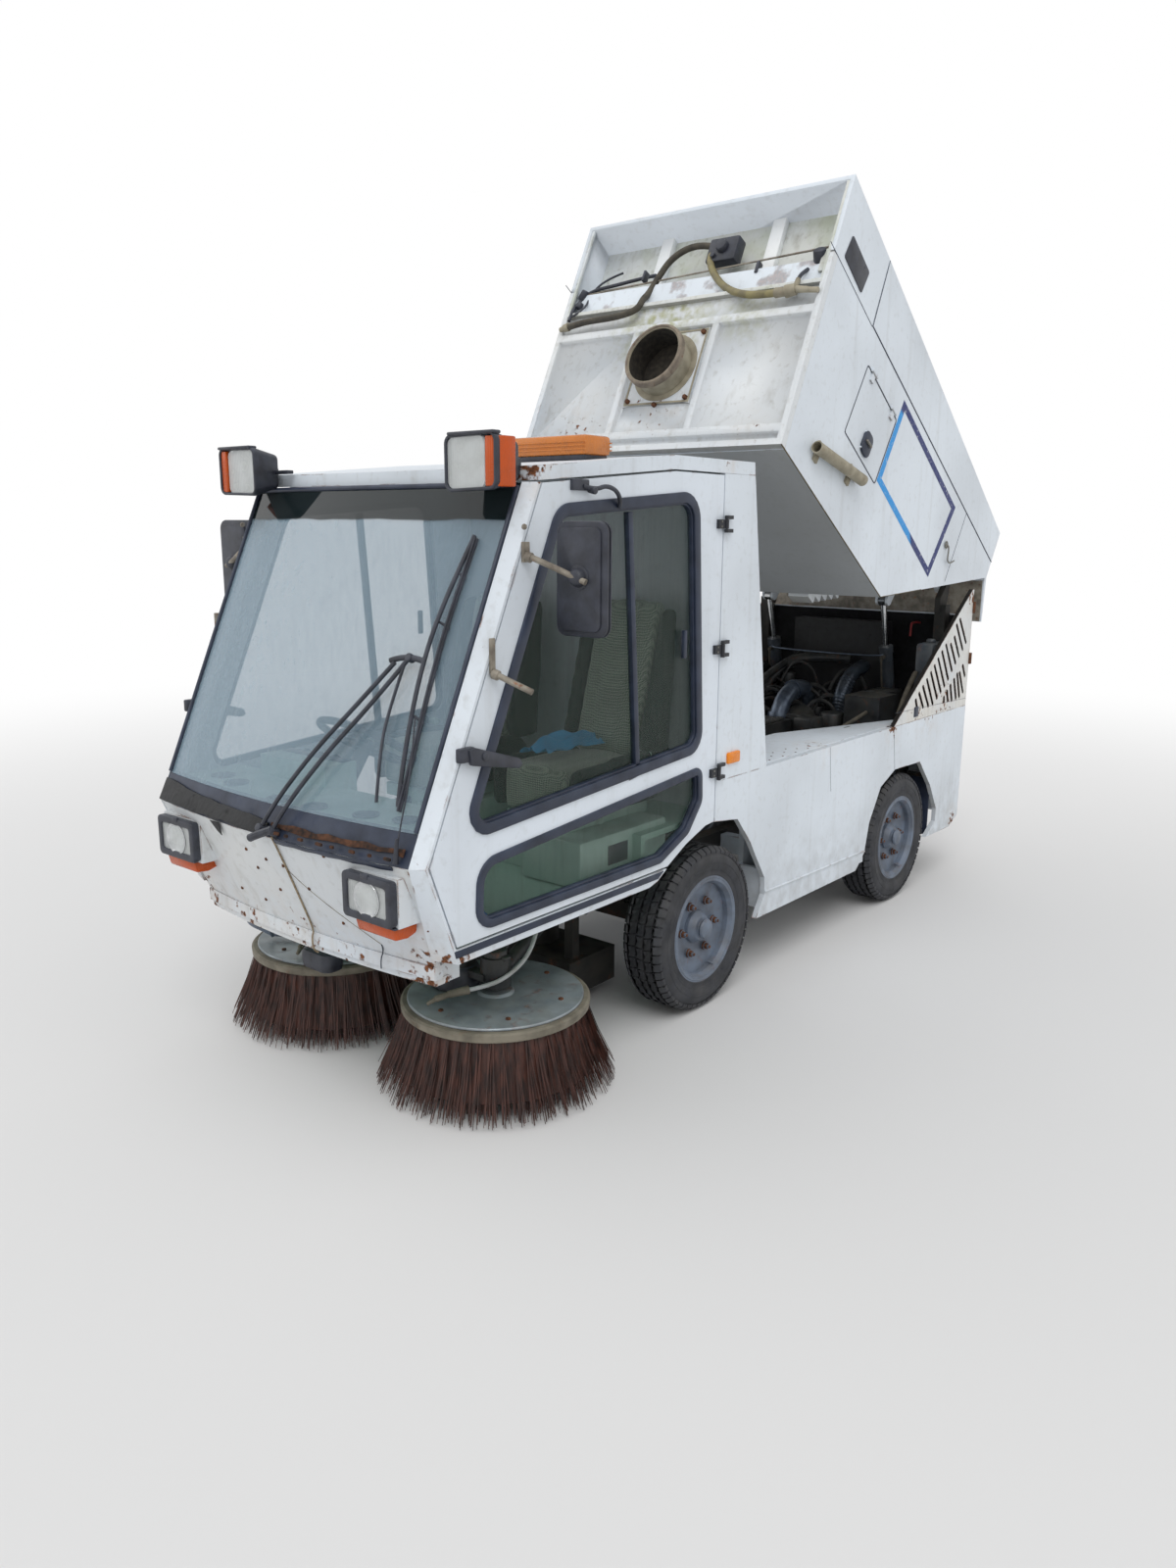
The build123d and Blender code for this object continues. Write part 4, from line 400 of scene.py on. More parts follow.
# Mottled finishes: what each is, its two tones, the pattern's size in millimetres, roughness, and the rest.
MOTTLED = {
    "chassis": ("Chassis paint", "#1E2021 #343330", 120, 0.6, dict(dust="#7B7466", rust=0.5)),
    "castings": ("Oily cast iron", "#141619 #262A2E", 60, 0.42,
                 dict(dust="#7C786C", dust_amount=0.32, rust=0.4, grain=0.5, depth=0.0012)),
    "steel": ("Bare rolled steel", "#8D8D88 #6E6A62", 80, 0.42, dict(metallic=0.7, rust=0.5)),
    "worn_steel": ("Rusting bracket tube", "#9A9386 #6D655B", 40, 0.5, dict(metallic=0.2, rust=0.8)),
    "cylinder": ("Grey enamelled barrel", "#2F353C #434B54", 90, 0.35, dict(dust="#8C887B", rust=0.3)),
    "pipe_grey": ("Aluminium intake pipe", "#4C5866 #343C48", 60, 0.28, dict(metallic=0.55, dust="#857F72")),
    "rust": ("Rusted steel", "#3F2619 #6E4429", 12, 0.85, dict(grain=0.8, depth=0.001)),
    "tyre": ("Tyre rubber", "#282A2F #36383E", 50, 0.75, dict(dust="#75726C", dust_amount=0.35, grain=0.5)),
    "rubber": ("Moulded seal rubber", "#1A2233 #252E42", 90, 0.40, dict(dust="#727E96", dust_amount=0.25)),
    "plastic": ("Moulded lamp plastic", "#23252D #31343F", 40, 0.42,
                dict(dust="#8E94A0", dust_amount=0.22, grain=0.5)),
    "tape": ("Torn sealing tape", "#08090C #131519", 60, 0.55,
             dict(dust="#55544F", dust_amount=0.06, grain=0.9, depth=0.003, fine_mm=26)),
    "hose": ("Fabric-braided hose", "#4C473D #36332E", 30, 0.75, dict(dust="#8A8270", grain=0.6)),
    "olive_hose": ("Faded water hose", "#8B8259 #6A6248", 45, 0.55, dict(dust="#A39A80")),
    "white_hose": ("White water pipe", "#C9CCCE #A9AAA8", 60, 0.4, dict(dust="#8D8674")),
    "blue_cap": ("Blue moulded cap", "#1E6FC0 #185AA0", 50, 0.35, {}),
    "cord": ("Dirty twine", "#9A8B74 #75664F", 14, 0.9, dict(grain=0.9)),
    "red_pipe": ("Red enamelled pipe", "#A5232B #7E1C20", 40, 0.45, dict(dust="#6E5F52")),
    "mint": ("Moulded mint trim", "#BFDCD0 #A5C8BB", 260, 0.55, dict(dust="#8F958A", dust_amount=0.35)),
    "zinc": ("Galvanised plate", "#A4ADB3 #7F8A92", 90, 0.38, dict(metallic=0.3, dust="#8B8470", rust=0.5)),
    "ring": ("Weathered brush ring", "#A49D8A #857E6C", 60, 0.7, dict(dust="#9A927E", rust=0.2)),
    "piston": ("Chromed piston rod", "#C6C8C9 #AEB0B1", 60, 0.18, dict(metallic=1.0, grain=0.05)),
    "bristle": ("Polypropylene bristle", "#26140F #512E24", 22, 0.5,
                dict(grain=0.2, stretch=(1.0, 1.0, 0.25))),
    "reflector": ("Vacuum-coated reflector", "#D9DBDC #BFC2C4", 30, 0.12,
                  dict(metallic=1.0, depth=0.002, fine_mm=14)),
    "mirror_glass": ("Silvered mirror glass", "#C8CDD0 #B9BEC2", 200, 0.04, dict(metallic=1.0, grain=0.0)),
    # Black sheets behind the engine doors' slots and inside the rear panel: a painted shade of the engine
    # bay.
    "liner": ("Black sheet for painted shade", "#0B0C0E #16171A", 30, 0.95, dict(grain=0.8, depth=0.003)),
    "rust_grey": ("Weathered pressed steel", "#6A5F54 #8B7F70", 30, 0.7, dict(dust="#A39A86", rust=0.5)),
    # Near-black lining of the inlet: dirt and painted shade.
    "throat": ("Dirt-lined throat with painted shade", "#191715 #38332C", 22, 0.9, dict(dust="#5D5648", grain=0.8, depth=0.003)),
    "cylinder_grey": ("Oiled steel pipe", "#4A5566 #64707F", 30, 0.30, dict(metallic=0.6, dust="#6E6A62")),
    "core": ("Dusty radiator core", "#0E0F12 #191B1F", 40, 0.6, dict(dust="#4A4741", dust_amount=0.2)),
    "sill_rust": ("Flaking rust", "#1D1410 #5B3A26", 24, 0.9, dict(grain=0.9, depth=0.0015)),
    "brush_ring": ("Worn brush ring", "#827C6E #615C50", 60, 0.7, dict(dust="#8A8474", rust=0.25)),
    "moss_line": ("Mossy edge", "#4C4A35 #6B5B3C", 20, 0.9, dict(grain=0.8, depth=0.002)),
}


def make_finishes():
    """All finishes, named for what the real ones are; some carry painted shade and painted reflection."""
    colours = bpy.context.scene.sweeper_colours
    paint, hinges = colours.paint, (DOOR_SKIN, OUTWARDS, "#22242A")
    for key, (name, tones, size_mm, rough, more) in MOTTLED.items():
        FINISH[key] = mottled(name, tones.split(), size_mm, rough, **more)
    FINISH["rim"] = mottled("Wheel enamel", (colours.rim, "#535D6C"), 70, 0.5, dust="#8A8378",
                            dust_amount=0.35, rust=0.25, fine_mm=6)
    FINISH["coachwork"] = sheet_steel("Sprayed sheet steel", paint, soiled=0.24, blooms=[
        ((655, -1600, 2030), 0.13, 0.95), ((-655, -1600, 2030), 0.10, 0.9), ((655, -560, 2072), 0.06, 0.8),
        ((650, -1980, 590), 0.08, 0.9), ((-650, -1980, 590), 0.08, 0.85)])
    FINISH["nose"] = sheet_steel("Sprayed nose panel", "#DBDEDF", soiled=0.34, chipped=0.50, blooms=[
        ((-600, -1990, 560), 0.13, 0.75), ((600, -1990, 560), 0.15, 0.85), ((560, -1970, 500), 0.14, 0.8),
        ((640, -2060, 905), 0.06, 0.7), ((-560, -1970, 500), 0.14, 0.7), ((250, -2000, 492), 0.16, 0.62),
        ((0, -2010, 492), 0.22, 0.55), ((-300, -2000, 492), 0.18, 0.62), ((420, -2130, 725), 0.09, 0.6)])
    FINISH["doors"] = sheet_steel("Sprayed door skin", "#E1E9F2", soiled=0.16, rust=0.6, change=hinges)
    FINISH["cab_rear"] = sheet_steel("Sprayed cab rear", paint, soiled=0.20, rust=0.6, change=hinges)
    FINISH["flanks"] = sheet_steel("Sprayed lower side", paint, soiled=0.18, low_dirt=0.34, blooms=[
        ((678, 960, 905), 0.08, 0.9), ((678, 1400, 940), 0.16, 0.5), ((660, 1460, 400), 0.10, 0.8),
        ((600, 300, 912), 0.12, 0.55), ((-678, 960, 905), 0.08, 0.8), ((660, 1800, 280), 0.09, 0.9)])
    # Painted shade: within the engine door's skin its slots' walls turn near black, as the slots lie in
    # shade.
    FINISH["grille"] = sheet_steel("Sprayed engine door", "#DEDEDA", soiled=0.40, chipped=0.40,
                                   change=(SLOT_SHADE_WIDTH, INWARDS, "#1B1714"), blooms=[
        ((678, 1840, 1480), 0.09, 0.8), ((-678, 1840, 1480), 0.09, 0.8), ((678, 1560, 960), 0.24, 0.5),
        ((678, 1250, 930), 0.12, 0.62), ((-678, 1560, 960), 0.24, 0.5)])
    FINISH["hopper_side"] = sheet_steel("Sprayed hopper side", paint, soiled=0.18, rust=0.5)
    FINISH["hopper_face"] = sheet_steel(
        "Weathered hopper front", "#DFE2E3", grime="#857C66", soiled=0.34, rust=0.6,
        blooms=[(on_face(0, 930), 0.20, 0.45), (on_face(500, 1075), 0.10, 0.4),
                (on_face(-420, 1085), 0.22, 0.5)],
        moss=[(on_face(-80, 520), 0.22, 1.0), (on_face(330, 540), 0.12, 0.6)])
    FINISH["recess"] = sheet_steel("Weathered hood recess", "#D3D5D0", grime="#7E7763", soiled=0.5, rust=0.0,
                                   algae=0.34)
    FINISH["strap"] = sheet_steel("Sprayed hood strap", "#F2F4F4", soiled=0.12, rust=0.1)
    FINISH["floor"] = sheet_steel("Painted floor pan", paint, change=(FLOOR_TRIM, INWARDS, "#9FC4B4"),
                                  blooms=[((672, -1940, 600), 0.08, 0.9)])
    FINISH["cloth"] = woven("Woven seat cloth", ("#5D6C60", "#A9B5A4"), 8.0, 0.3)
    FINISH["bolster"] = woven("Dark seat vinyl", ("#1E2826", "#2F3C38"), 5.0, 0.05)
    FINISH["blue_cloth"] = woven("Blue work cloth", ("#2F8FC4", "#53AEDC"), 4.0, 0.25)
    # The windscreen's pale blue-grey colour is a painted reflection of the sky, strongest where the glass is
    # seen along it.
    FINISH["screen"] = pane("Laminated windscreen", "#8CA3B2", 0.34, 0.10, band=True)
    FINISH["side_glass"] = pane("Toughened side glass", "#22342C", 0.10, 0.10)
    FINISH["lens"] = moulded_lens("Fluted lamp glass", ("#E4E8E8", "#B4B7AF"), 0.45)
    FINISH["amber"] = moulded_lens("Amber acrylic", ("#C4500F", "#93421A"), 0.96)
    FINISH["marker"] = moulded_lens("Orange marker acrylic", ("#F08A12", "#C96F14"), 1.0)
    FINISH["beacon"] = moulded_lens("Sun-faded beacon dome", ("#CC7A34", "#A8683C"), 1.0)
    FINISH["red_lens"] = moulded_lens("Red acrylic", ("#A3131A", "#6F1418"), 0.96)
    FINISH["stripe"] = stripe_film(colours)


def stripe_film(colours):
    """Cut vinyl film: dark blue along the top and rear of the frame, bright blue along its front and foot."""
    mat, tree, shader, where = start("Cut vinyl film")
    low, high = tip(668, 968, 1290), tip(668, 968, 1710)
    along = high - low
    up = add(tree, "VectorMath", {0: add(tree, "VectorMath", {0: where, 1: low}, operation="SUBTRACT"),
                                  1: along / along.length_squared}, out="Value", operation="DOT_PRODUCT")
    rear = add(tree, "MapRange", {"Value": add(tree, "VectorMath", {0: where, 1: tip(668, 1347, 1690)},
                                               out="Value", operation="DISTANCE"), "From Min": 0.52,
                                  "From Max": 0.50})
    dark = add(tree, "Math", {0: add(tree, "MapRange", {"Value": up, "From Min": 0.86, "From Max": 0.90}),
                              1: rear}, operation="MAXIMUM", use_clamp=True)
    colour = add(tree, "Mix", {0: dark, 6: linear(colours.stripe), 7: linear(colours.stripe_dark)}, out=2,
                 data_type="RGBA")
    colour = add(tree, "Mix", {0: add(tree, "Math", {0: patches(tree, where, 16, 0.62, 0.70, 5.0), 1: 0.6},
                                      operation="MULTIPLY", use_clamp=True), 6: colour, 7: linear("#D8DADC")},
                 out=2, data_type="RGBA")
    coat(tree, shader, colour, patches(tree, where, 30, 0.4, 0.7), 0.35, 0.55)
    return mat


# Modelling

def fresh():
    """Leaves object mode clean, with nothing selected."""
    if bpy.context.object and bpy.context.object.mode != "OBJECT":
        leave()
    bpy.ops.object.select_all(action="DESELECT")


def pick(obj):
    """Selects one piece alone and makes it the active one."""
    fresh()
    obj.select_set(True)
    bpy.context.view_layer.objects.active = obj


def edit_all():
    """Edit mode with everything selected."""
    bpy.ops.object.mode_set(mode="EDIT")
    bpy.ops.mesh.select_all(action="SELECT")


def leave():
    """Back to object mode."""
    bpy.ops.object.mode_set(mode="OBJECT")


def outward():
    """Turns all faces outwards and leaves edit mode."""
    bpy.ops.mesh.select_all(action="SELECT")
    bpy.ops.mesh.normals_make_consistent(inside=False)
    leave()


def apply(obj, kind, **settings):
    """Puts a modifier on the active piece and applies it."""
    modifier = obj.modifiers.new(kind.title(), kind)
    for key, value in settings.items():
        setattr(modifier, key, value)
    bpy.ops.object.modifier_apply(modifier=modifier.name)


def soften(width, segments=2, sharp=40):
    """Rounds the active piece's sharp edges by a width in millimetres."""
    bpy.ops.object.mode_set(mode="EDIT")
    bpy.ops.mesh.select_mode(type="EDGE")
    bpy.ops.mesh.select_all(action="DESELECT")
    bpy.ops.mesh.edges_select_sharp(sharpness=math.radians(sharp))
    bpy.ops.mesh.bevel(offset=width / 1000, segments=segments, affect="EDGES")
    leave()
    return bpy.context.object


def placed(points, spot):
    """Frame points, of which those drawn as numbers are placed by spot."""
    return [p if isinstance(p, Vector) else spot(*p) for p in points]


def slab(x0, x1, y0, y1, z0, z1, edge=2, spot=at):
    """Block between two drawing corners, turned with the hopper where spot is tip."""
    fresh()
    bpy.ops.mesh.primitive_cube_add(size=1)
    obj = bpy.context.object
    for v in obj.data.vertices:
        v.co = spot(x1 if v.co.x > 0 else x0, y1 if v.co.y > 0 else y0, z1 if v.co.z > 0 else z0)
    edit_all()
    outward()
    return soften(edge) if edge else obj


def drum(a, b, r, r_end=None, sides=32, edge=0, spot=at):
    """Round bar or cone between two points, radii in millimetres."""
    fresh()
    a, b = placed((a, b), spot)
    axis = b - a
    bpy.ops.mesh.primitive_cone_add(vertices=sides, radius1=r / 1000,
                                    radius2=(r if r_end is None else r_end) / 1000, depth=axis.length,
                                    location=(a + b) / 2, rotation=axis.to_track_quat("Z", "Y").to_euler())
    bpy.ops.object.transform_apply(location=True, rotation=True, scale=True)
    return soften(edge) if edge else bpy.context.object


def outlined(points, fill="NOTHING"):
    """New piece that is one closed outline."""
    fresh()
    bpy.ops.mesh.primitive_circle_add(vertices=len(points), fill_type=fill)
    obj = bpy.context.object
    for v, p in zip(obj.data.vertices, points):
        v.co = p
    return obj


def plate(points, push, edge=0, spot=at):
    """Closed outline of points, extruded by push in metres."""
    obj = outlined(placed(points, spot), "NGON")
    edit_all()
    bpy.ops.mesh.extrude_region_move(TRANSFORM_OT_translate={"value": push})
    outward()
    return soften(edge) if edge else obj


def hoop(outer, inner, push, edge=0, spot=at):
    """Flat ring between two outlines with as many points, extruded by push in metres."""
    obj = outlined(placed(outer, spot))
    edit_all()
    bpy.ops.mesh.duplicate()
    leave()
    for v, p in zip(list(obj.data.vertices)[len(outer):], placed(inner, spot)):
        v.co = p
    edit_all()
    bpy.ops.mesh.bridge_edge_loops()
    bpy.ops.mesh.select_all(action="SELECT")
    bpy.ops.mesh.extrude_region_move(TRANSFORM_OT_translate={"value": push})
    outward()
    return soften(edge) if edge else obj


def lathe(profile, centre, axis, steps=48):
    """Closed profile of (radius, along) in millimetres, spun about an axis through a frame point."""
    axis = Vector(axis).normalized()
    side = axis.orthogonal().normalized()
    obj = outlined([centre + side * (r / 1000) + axis * (along / 1000) for r, along in profile])
    edit_all()
    bpy.ops.mesh.spin(steps=steps, angle=2 * math.pi, center=centre, axis=axis)
    bpy.ops.mesh.select_all(action="SELECT")
    bpy.ops.mesh.remove_doubles(threshold=0.00002)
    outward()
    return obj


def run(points, r, sides=3, tight=3, spot=at):
    """Pipe or hose of radius r millimetres along a smooth line through points."""
    fresh()
    bpy.ops.curve.primitive_nurbs_path_add()
    obj = bpy.context.object
    obj.data.splines.clear()
    line = obj.data.splines.new("NURBS")
    line.points.add(len(points) - 1)
    for p, co in zip(line.points, placed(points, spot)):
        p.co = (*co, 1.0)
    line.order_u = tight
    line.use_endpoint_u = True
    line.resolution_u = 6
    obj.data.bevel_depth = r / 1000
    obj.data.bevel_resolution = sides
    obj.data.use_fill_caps = True
    bpy.ops.object.convert(target="MESH")
    return bpy.context.object


def joined(parts):
    """Several meshes as one piece."""
    fresh()
    for part in parts:
        part.select_set(True)
    bpy.context.view_layer.objects.active = parts[0]
    if len(parts) > 1:
        bpy.ops.object.join()
    return bpy.context.object


def keep(obj, name, body, finish, smooth=35, replaces=(), tidy=True):
    """Finishes a piece, or a list of meshes as one: name, place, normals, finish, shading and its body."""
    if isinstance(obj, list):
        obj = joined(obj)
    pick(obj)
    bpy.ops.object.transform_apply(location=True, rotation=True, scale=True)
    if tidy:
        edit_all()
        bpy.ops.mesh.remove_doubles(threshold=0.00001)
        outward()
    obj.name = obj.data.name = name
    obj.data.materials.clear()
    obj.data.materials.append(FINISH[finish])
    bpy.ops.object.shade_smooth_by_angle(angle=math.radians(smooth))
    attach(obj, body)
    if replaces:
        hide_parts(*replaces)
    obj["finish"] = finish
    return obj


def both(obj, name, body, finish, replaces=()):
    """Keeps a left piece, and its mirrored twin with a mesh of its own on the right."""
    left = keep(obj, "left_" + name, body, finish, replaces=replaces)
    fresh()
    twin = left.copy()
    twin.data = left.data.copy()
    twin.parent = None
    twin.matrix_world = Matrix.Identity(4)
    bpy.context.scene.collection.objects.link(twin)
    twin.scale = (-1, 1, 1)
    keep(twin, "right_" + name, body.replace("left", "right"), finish,
         replaces=[node.replace("left", "right") for node in replaces if "left" in node])


def rounded(points, radii, steps=7):
    """Outline of (y, z) points with its corners turned by radii, or all by one radius."""
    result = []
    count = len(points)
    radii = radii if isinstance(radii, list) else [radii] * count
    for n, (y, z) in enumerate(points):
        here = Vector((y, z))
        back = (Vector(points[n - 1]) - here).normalized()
        on = (Vector(points[(n + 1) % count]) - here).normalized()
        half = math.acos(max(-1.0, min(1.0, back.dot(on)))) / 2
        reach = radii[n] / math.tan(half)
        middle = here + (back + on).normalized() * (radii[n] / math.sin(half))
        first, last = here + back * reach - middle, here + on * reach - middle
        for k in range(steps + 1):
            t = k / steps
            step = (first.lerp(last, t)).normalized() * radii[n]
            result.append(tuple(middle + step))
    return result


def oblong(u0, u1, v0, v1):
    """Corners of an upright rectangle."""
    return [(u0, v0), (u1, v0), (u1, v1), (u0, v1)]


def inset(points, by):
    """Outline moved inwards."""
    count = len(points)
    cy, cz = sum(p[0] for p in points) / count, sum(p[1] for p in points) / count
    moved = []
    for n, (y, z) in enumerate(points):
        before, after = points[n - 1], points[(n + 1) % count]
        a = Vector((y - before[0], z - before[1])).normalized()
        b = Vector((after[0] - y, after[1] - z)).normalized()
        turn = 1 if a.x * (cz - z) - a.y * (cy - y) > 0 else -1
        na, nb = Vector((-a.y, a.x)) * turn, Vector((-b.y, b.x)) * turn
        corner = (na + nb) * (by / (1 + na.dot(nb)))
        moved.append((y + corner.x, z + corner.y))
    return moved


# Door windows with their corner radii, the windscreen's lower and upper middle point as (y, z), and its bow.
UPPER_WINDOW, UPPER_RADII = [(-1940, 950), (-1510, 1905), (-762, 1962), (-702, 1040)], [75, 95, 95, 85]
LOWER_WINDOW = [(-1880, 668), (-1868, 885), (-700, 985), (-692, 850), (-780, 742), (-950, 668)]
LOWER_RADII = [70, 90, 40, 60, 60, 60]
SCREEN_LOW, ROOF_FRONT = (-2093.0, 906.0), (-1594.0, 2011.0)
SLOPE = (ROOF_FRONT[0] - SCREEN_LOW[0]) / (ROOF_FRONT[1] - SCREEN_LOW[1])
PILLAR_HALF, SCREEN_BOW = 636.0, 50.0
# The nose panel's foot: its height, station, half width and bow.
NOSE_Z, NOSE_Y, NOSE_HALF, NOSE_BOW = 562.0, -1957.0, 590.0, 42.0


def on_screen(x, z, proud):
    """Frame point on the bowed windscreen at x and height z."""
    y = SCREEN_LOW[0] + SLOPE * (z - SCREEN_LOW[1]) - SCREEN_BOW * (1 - (x / PILLAR_HALF) ** 2)
    out = math.hypot(1, SLOPE)
    return at(x, y - proud / out, z + proud * SLOPE / out)


def nose_y(x, z):
    """Station of the nose panel's outer face."""
    t = (SCREEN_LOW[1] - z) / (SCREEN_LOW[1] - NOSE_Z)
    half, bow = PILLAR_HALF + (NOSE_HALF - PILLAR_HALF) * t, SCREEN_BOW + (NOSE_BOW - SCREEN_BOW) * t
    return SCREEN_LOW[0] + (NOSE_Y - SCREEN_LOW[0]) * t - bow * (1 - (x / half) ** 2)


def on_nose(x, z, proud):
    """Frame point on the nose panel at x and height z."""
    return at(x, nose_y(x, z) - proud, z)


class SWEEPER_OT_finishes(bpy.types.Operator):
    """Makes the finishes and puts them on the frame's own parts"""
    bl_idname = "sweeper.finishes"
    bl_label = "Finishes"

    def execute(self, context):
        make_finishes()
        for node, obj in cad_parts.items():
            finish = FINISH[WEAR.get(node, "plastic")]
            if not obj.material_slots:
                obj.data.materials.append(finish)
            for slot in obj.material_slots:
                slot.material = finish
        return {"FINISHED"}


class SWEEPER_OT_doors(bpy.types.Operator):
    """Window seals, sliding pane, latch and check strap of both doors"""
    bl_idname = "sweeper.doors"
    bl_label = "Door trim"

    def execute(self, context):
        sizes = context.scene.sweeper_sizes

        def loop(x, points, radii, by, least):
            return [at(x, y, z) for y, z in rounded(inset(points, by), [max(least, r - by) for r in radii])]

        pieces = []
        for label, points, radii, width in (("upper_seal", UPPER_WINDOW, UPPER_RADII, sizes.seal * 1000),
                                            ("lower_seal", LOWER_WINDOW, LOWER_RADII, sizes.low_seal * 1000)):
            outer = [at(674, y, z) for y, z in rounded(points, radii)]
            ring = hoop(outer, loop(674, points, radii, width, 12.0), (0.0115, 0, 0), edge=3.5)
            lip = hoop(loop(656, points, radii, 19, 12.0), loop(656, points, radii, width + 6, 10.0),
                       (0.020, 0, 0), edge=2)
            pieces.append(([ring, lip], label, "rubber"))
        bar = plate([(655, -1158, 1885), (655, -1134, 1887), (655, -1072, 1020), (655, -1096, 1018)],
                    (0.021, 0, 0), edge=2)
        channel = plate([(664, -1140, 1000), (664, -738, 1062), (664, -738, 1078), (664, -1140, 1016)],
                        (0.014, 0, 0), edge=1.5)
        grip = slab(670, 684, -838, -818, 1390, 1488, edge=3)
        pieces.append(([bar, channel, grip], "sliding_pane_frame", "rubber"))
        base = slab(677, 699, -1945, -1885, 1190, 1232, edge=5)
        lever = plate([(690, -1915, 1226), (690, -1890, 1230), (690, -1706, 1172), (690, -1694, 1152),
                       (690, -1712, 1142), (690, -1905, 1180)], (0.016, 0, 0), edge=4)
        lock = drum((700, -1855, 1200), (711, -1855, 1200), 12, sides=20, edge=2)
        pieces.append(([base, lever, lock], "door_latch", "plastic"))
        mount = slab(677, 690, -1450, -1372, 1945, 1978, edge=3)
        strap = run([(688, -1400, 1958), (706, -1360, 1948), (710, -1320, 1962), (708, -1262, 1950),
                     (700, -1228, 1915), (688, -1222, 1898)], 7)
        knob = drum((684, -1368, 1950), (712, -1368, 1944), 11, sides=18, edge=3)
        pieces.append(([mount, strap, knob], "door_stay", "plastic"))
        for parts, label, finish in pieces:
            both(parts, label, "door_left", finish)
        screws = [drum((693, -632, z + dz), (694.5, -632, z + dz), 4.2, 3.0, sides=12, edge=0.6)
                  for z in (1850, 1405, 945) for dz in (9, -9)]
        both(screws, "hinge_screws", "door_left", "steel")
        return {"FINISHED"}


class SWEEPER_OT_mirrors(bpy.types.Operator):
    """Door mirrors with their rusty arms, and the spare lower brackets"""
    bl_idname = "sweeper.mirrors"
    bl_label = "Mirrors"

    def execute(self, context):
        x0, y0, z0 = 843.0, -1600.0, 1692.0
        half_w, half_h = 93.0, 163.0

        def outline(grow, y, r):
            corners = oblong(-half_w - grow, half_w + grow, -half_h - grow, half_h + grow)
            return [at(x0 + u, y, z0 + v) for u, v in rounded(corners, r, 6)]

        shell = plate(outline(0, y0 + 20, 34), (0, -0.018, 0), edge=7)
        dish = plate(outline(-17, y0 + 3, 22), (0, -0.009, 0), edge=3.5)
        lip = hoop(outline(0, y0 + 22, 34), outline(-9, y0 + 22, 26), (0, 0.006, 0), edge=1.5)
        ball = drum((x0, y0 - 30, z0 + 8), (x0, y0 - 4, z0 + 6), 20, 30, sides=28, edge=6)
        boss = drum((x0, y0 - 9, z0 + 6), (x0, y0 - 3, z0 + 6), 36, sides=28, edge=2)
        both([shell, dish, lip, ball, boss], "mirror_head", "door_left", "plastic", replaces=["mirror_left"])
        glass = plate(outline(-11, y0 + 20.5, 24), (0, 0.003, 0), edge=0.8)
        both(glass, "mirror_glass", "door_left", "mirror_glass")
        parts = [slab(678, 688, -1668, -1640, 1738, 1796),
                 drum((684, -1654, 1756), (704, -1650, 1750), 15, sides=20, edge=3),
                 run([(690, -1656, 1758), (760, -1640, 1732), (x0 - 10, y0 - 22, z0 + 10),
                      (x0 + 34, y0 - 16, z0 - 6)], 9),
                 drum((684, -1664, 1838), (692, -1664, 1838), 9, sides=6, edge=1.5),
                 slab(678, 688, -1806, -1788, 1430, 1530),
                 drum((684, -1798, 1430), (704, -1792, 1424), 15, sides=20, edge=3),
                 run([(690, -1800, 1432), (740, -1784, 1410), (800, -1756, 1382)], 9)]
        both(parts, "mirror_arms", "door_left", "worn_steel")
        return {"FINISHED"}


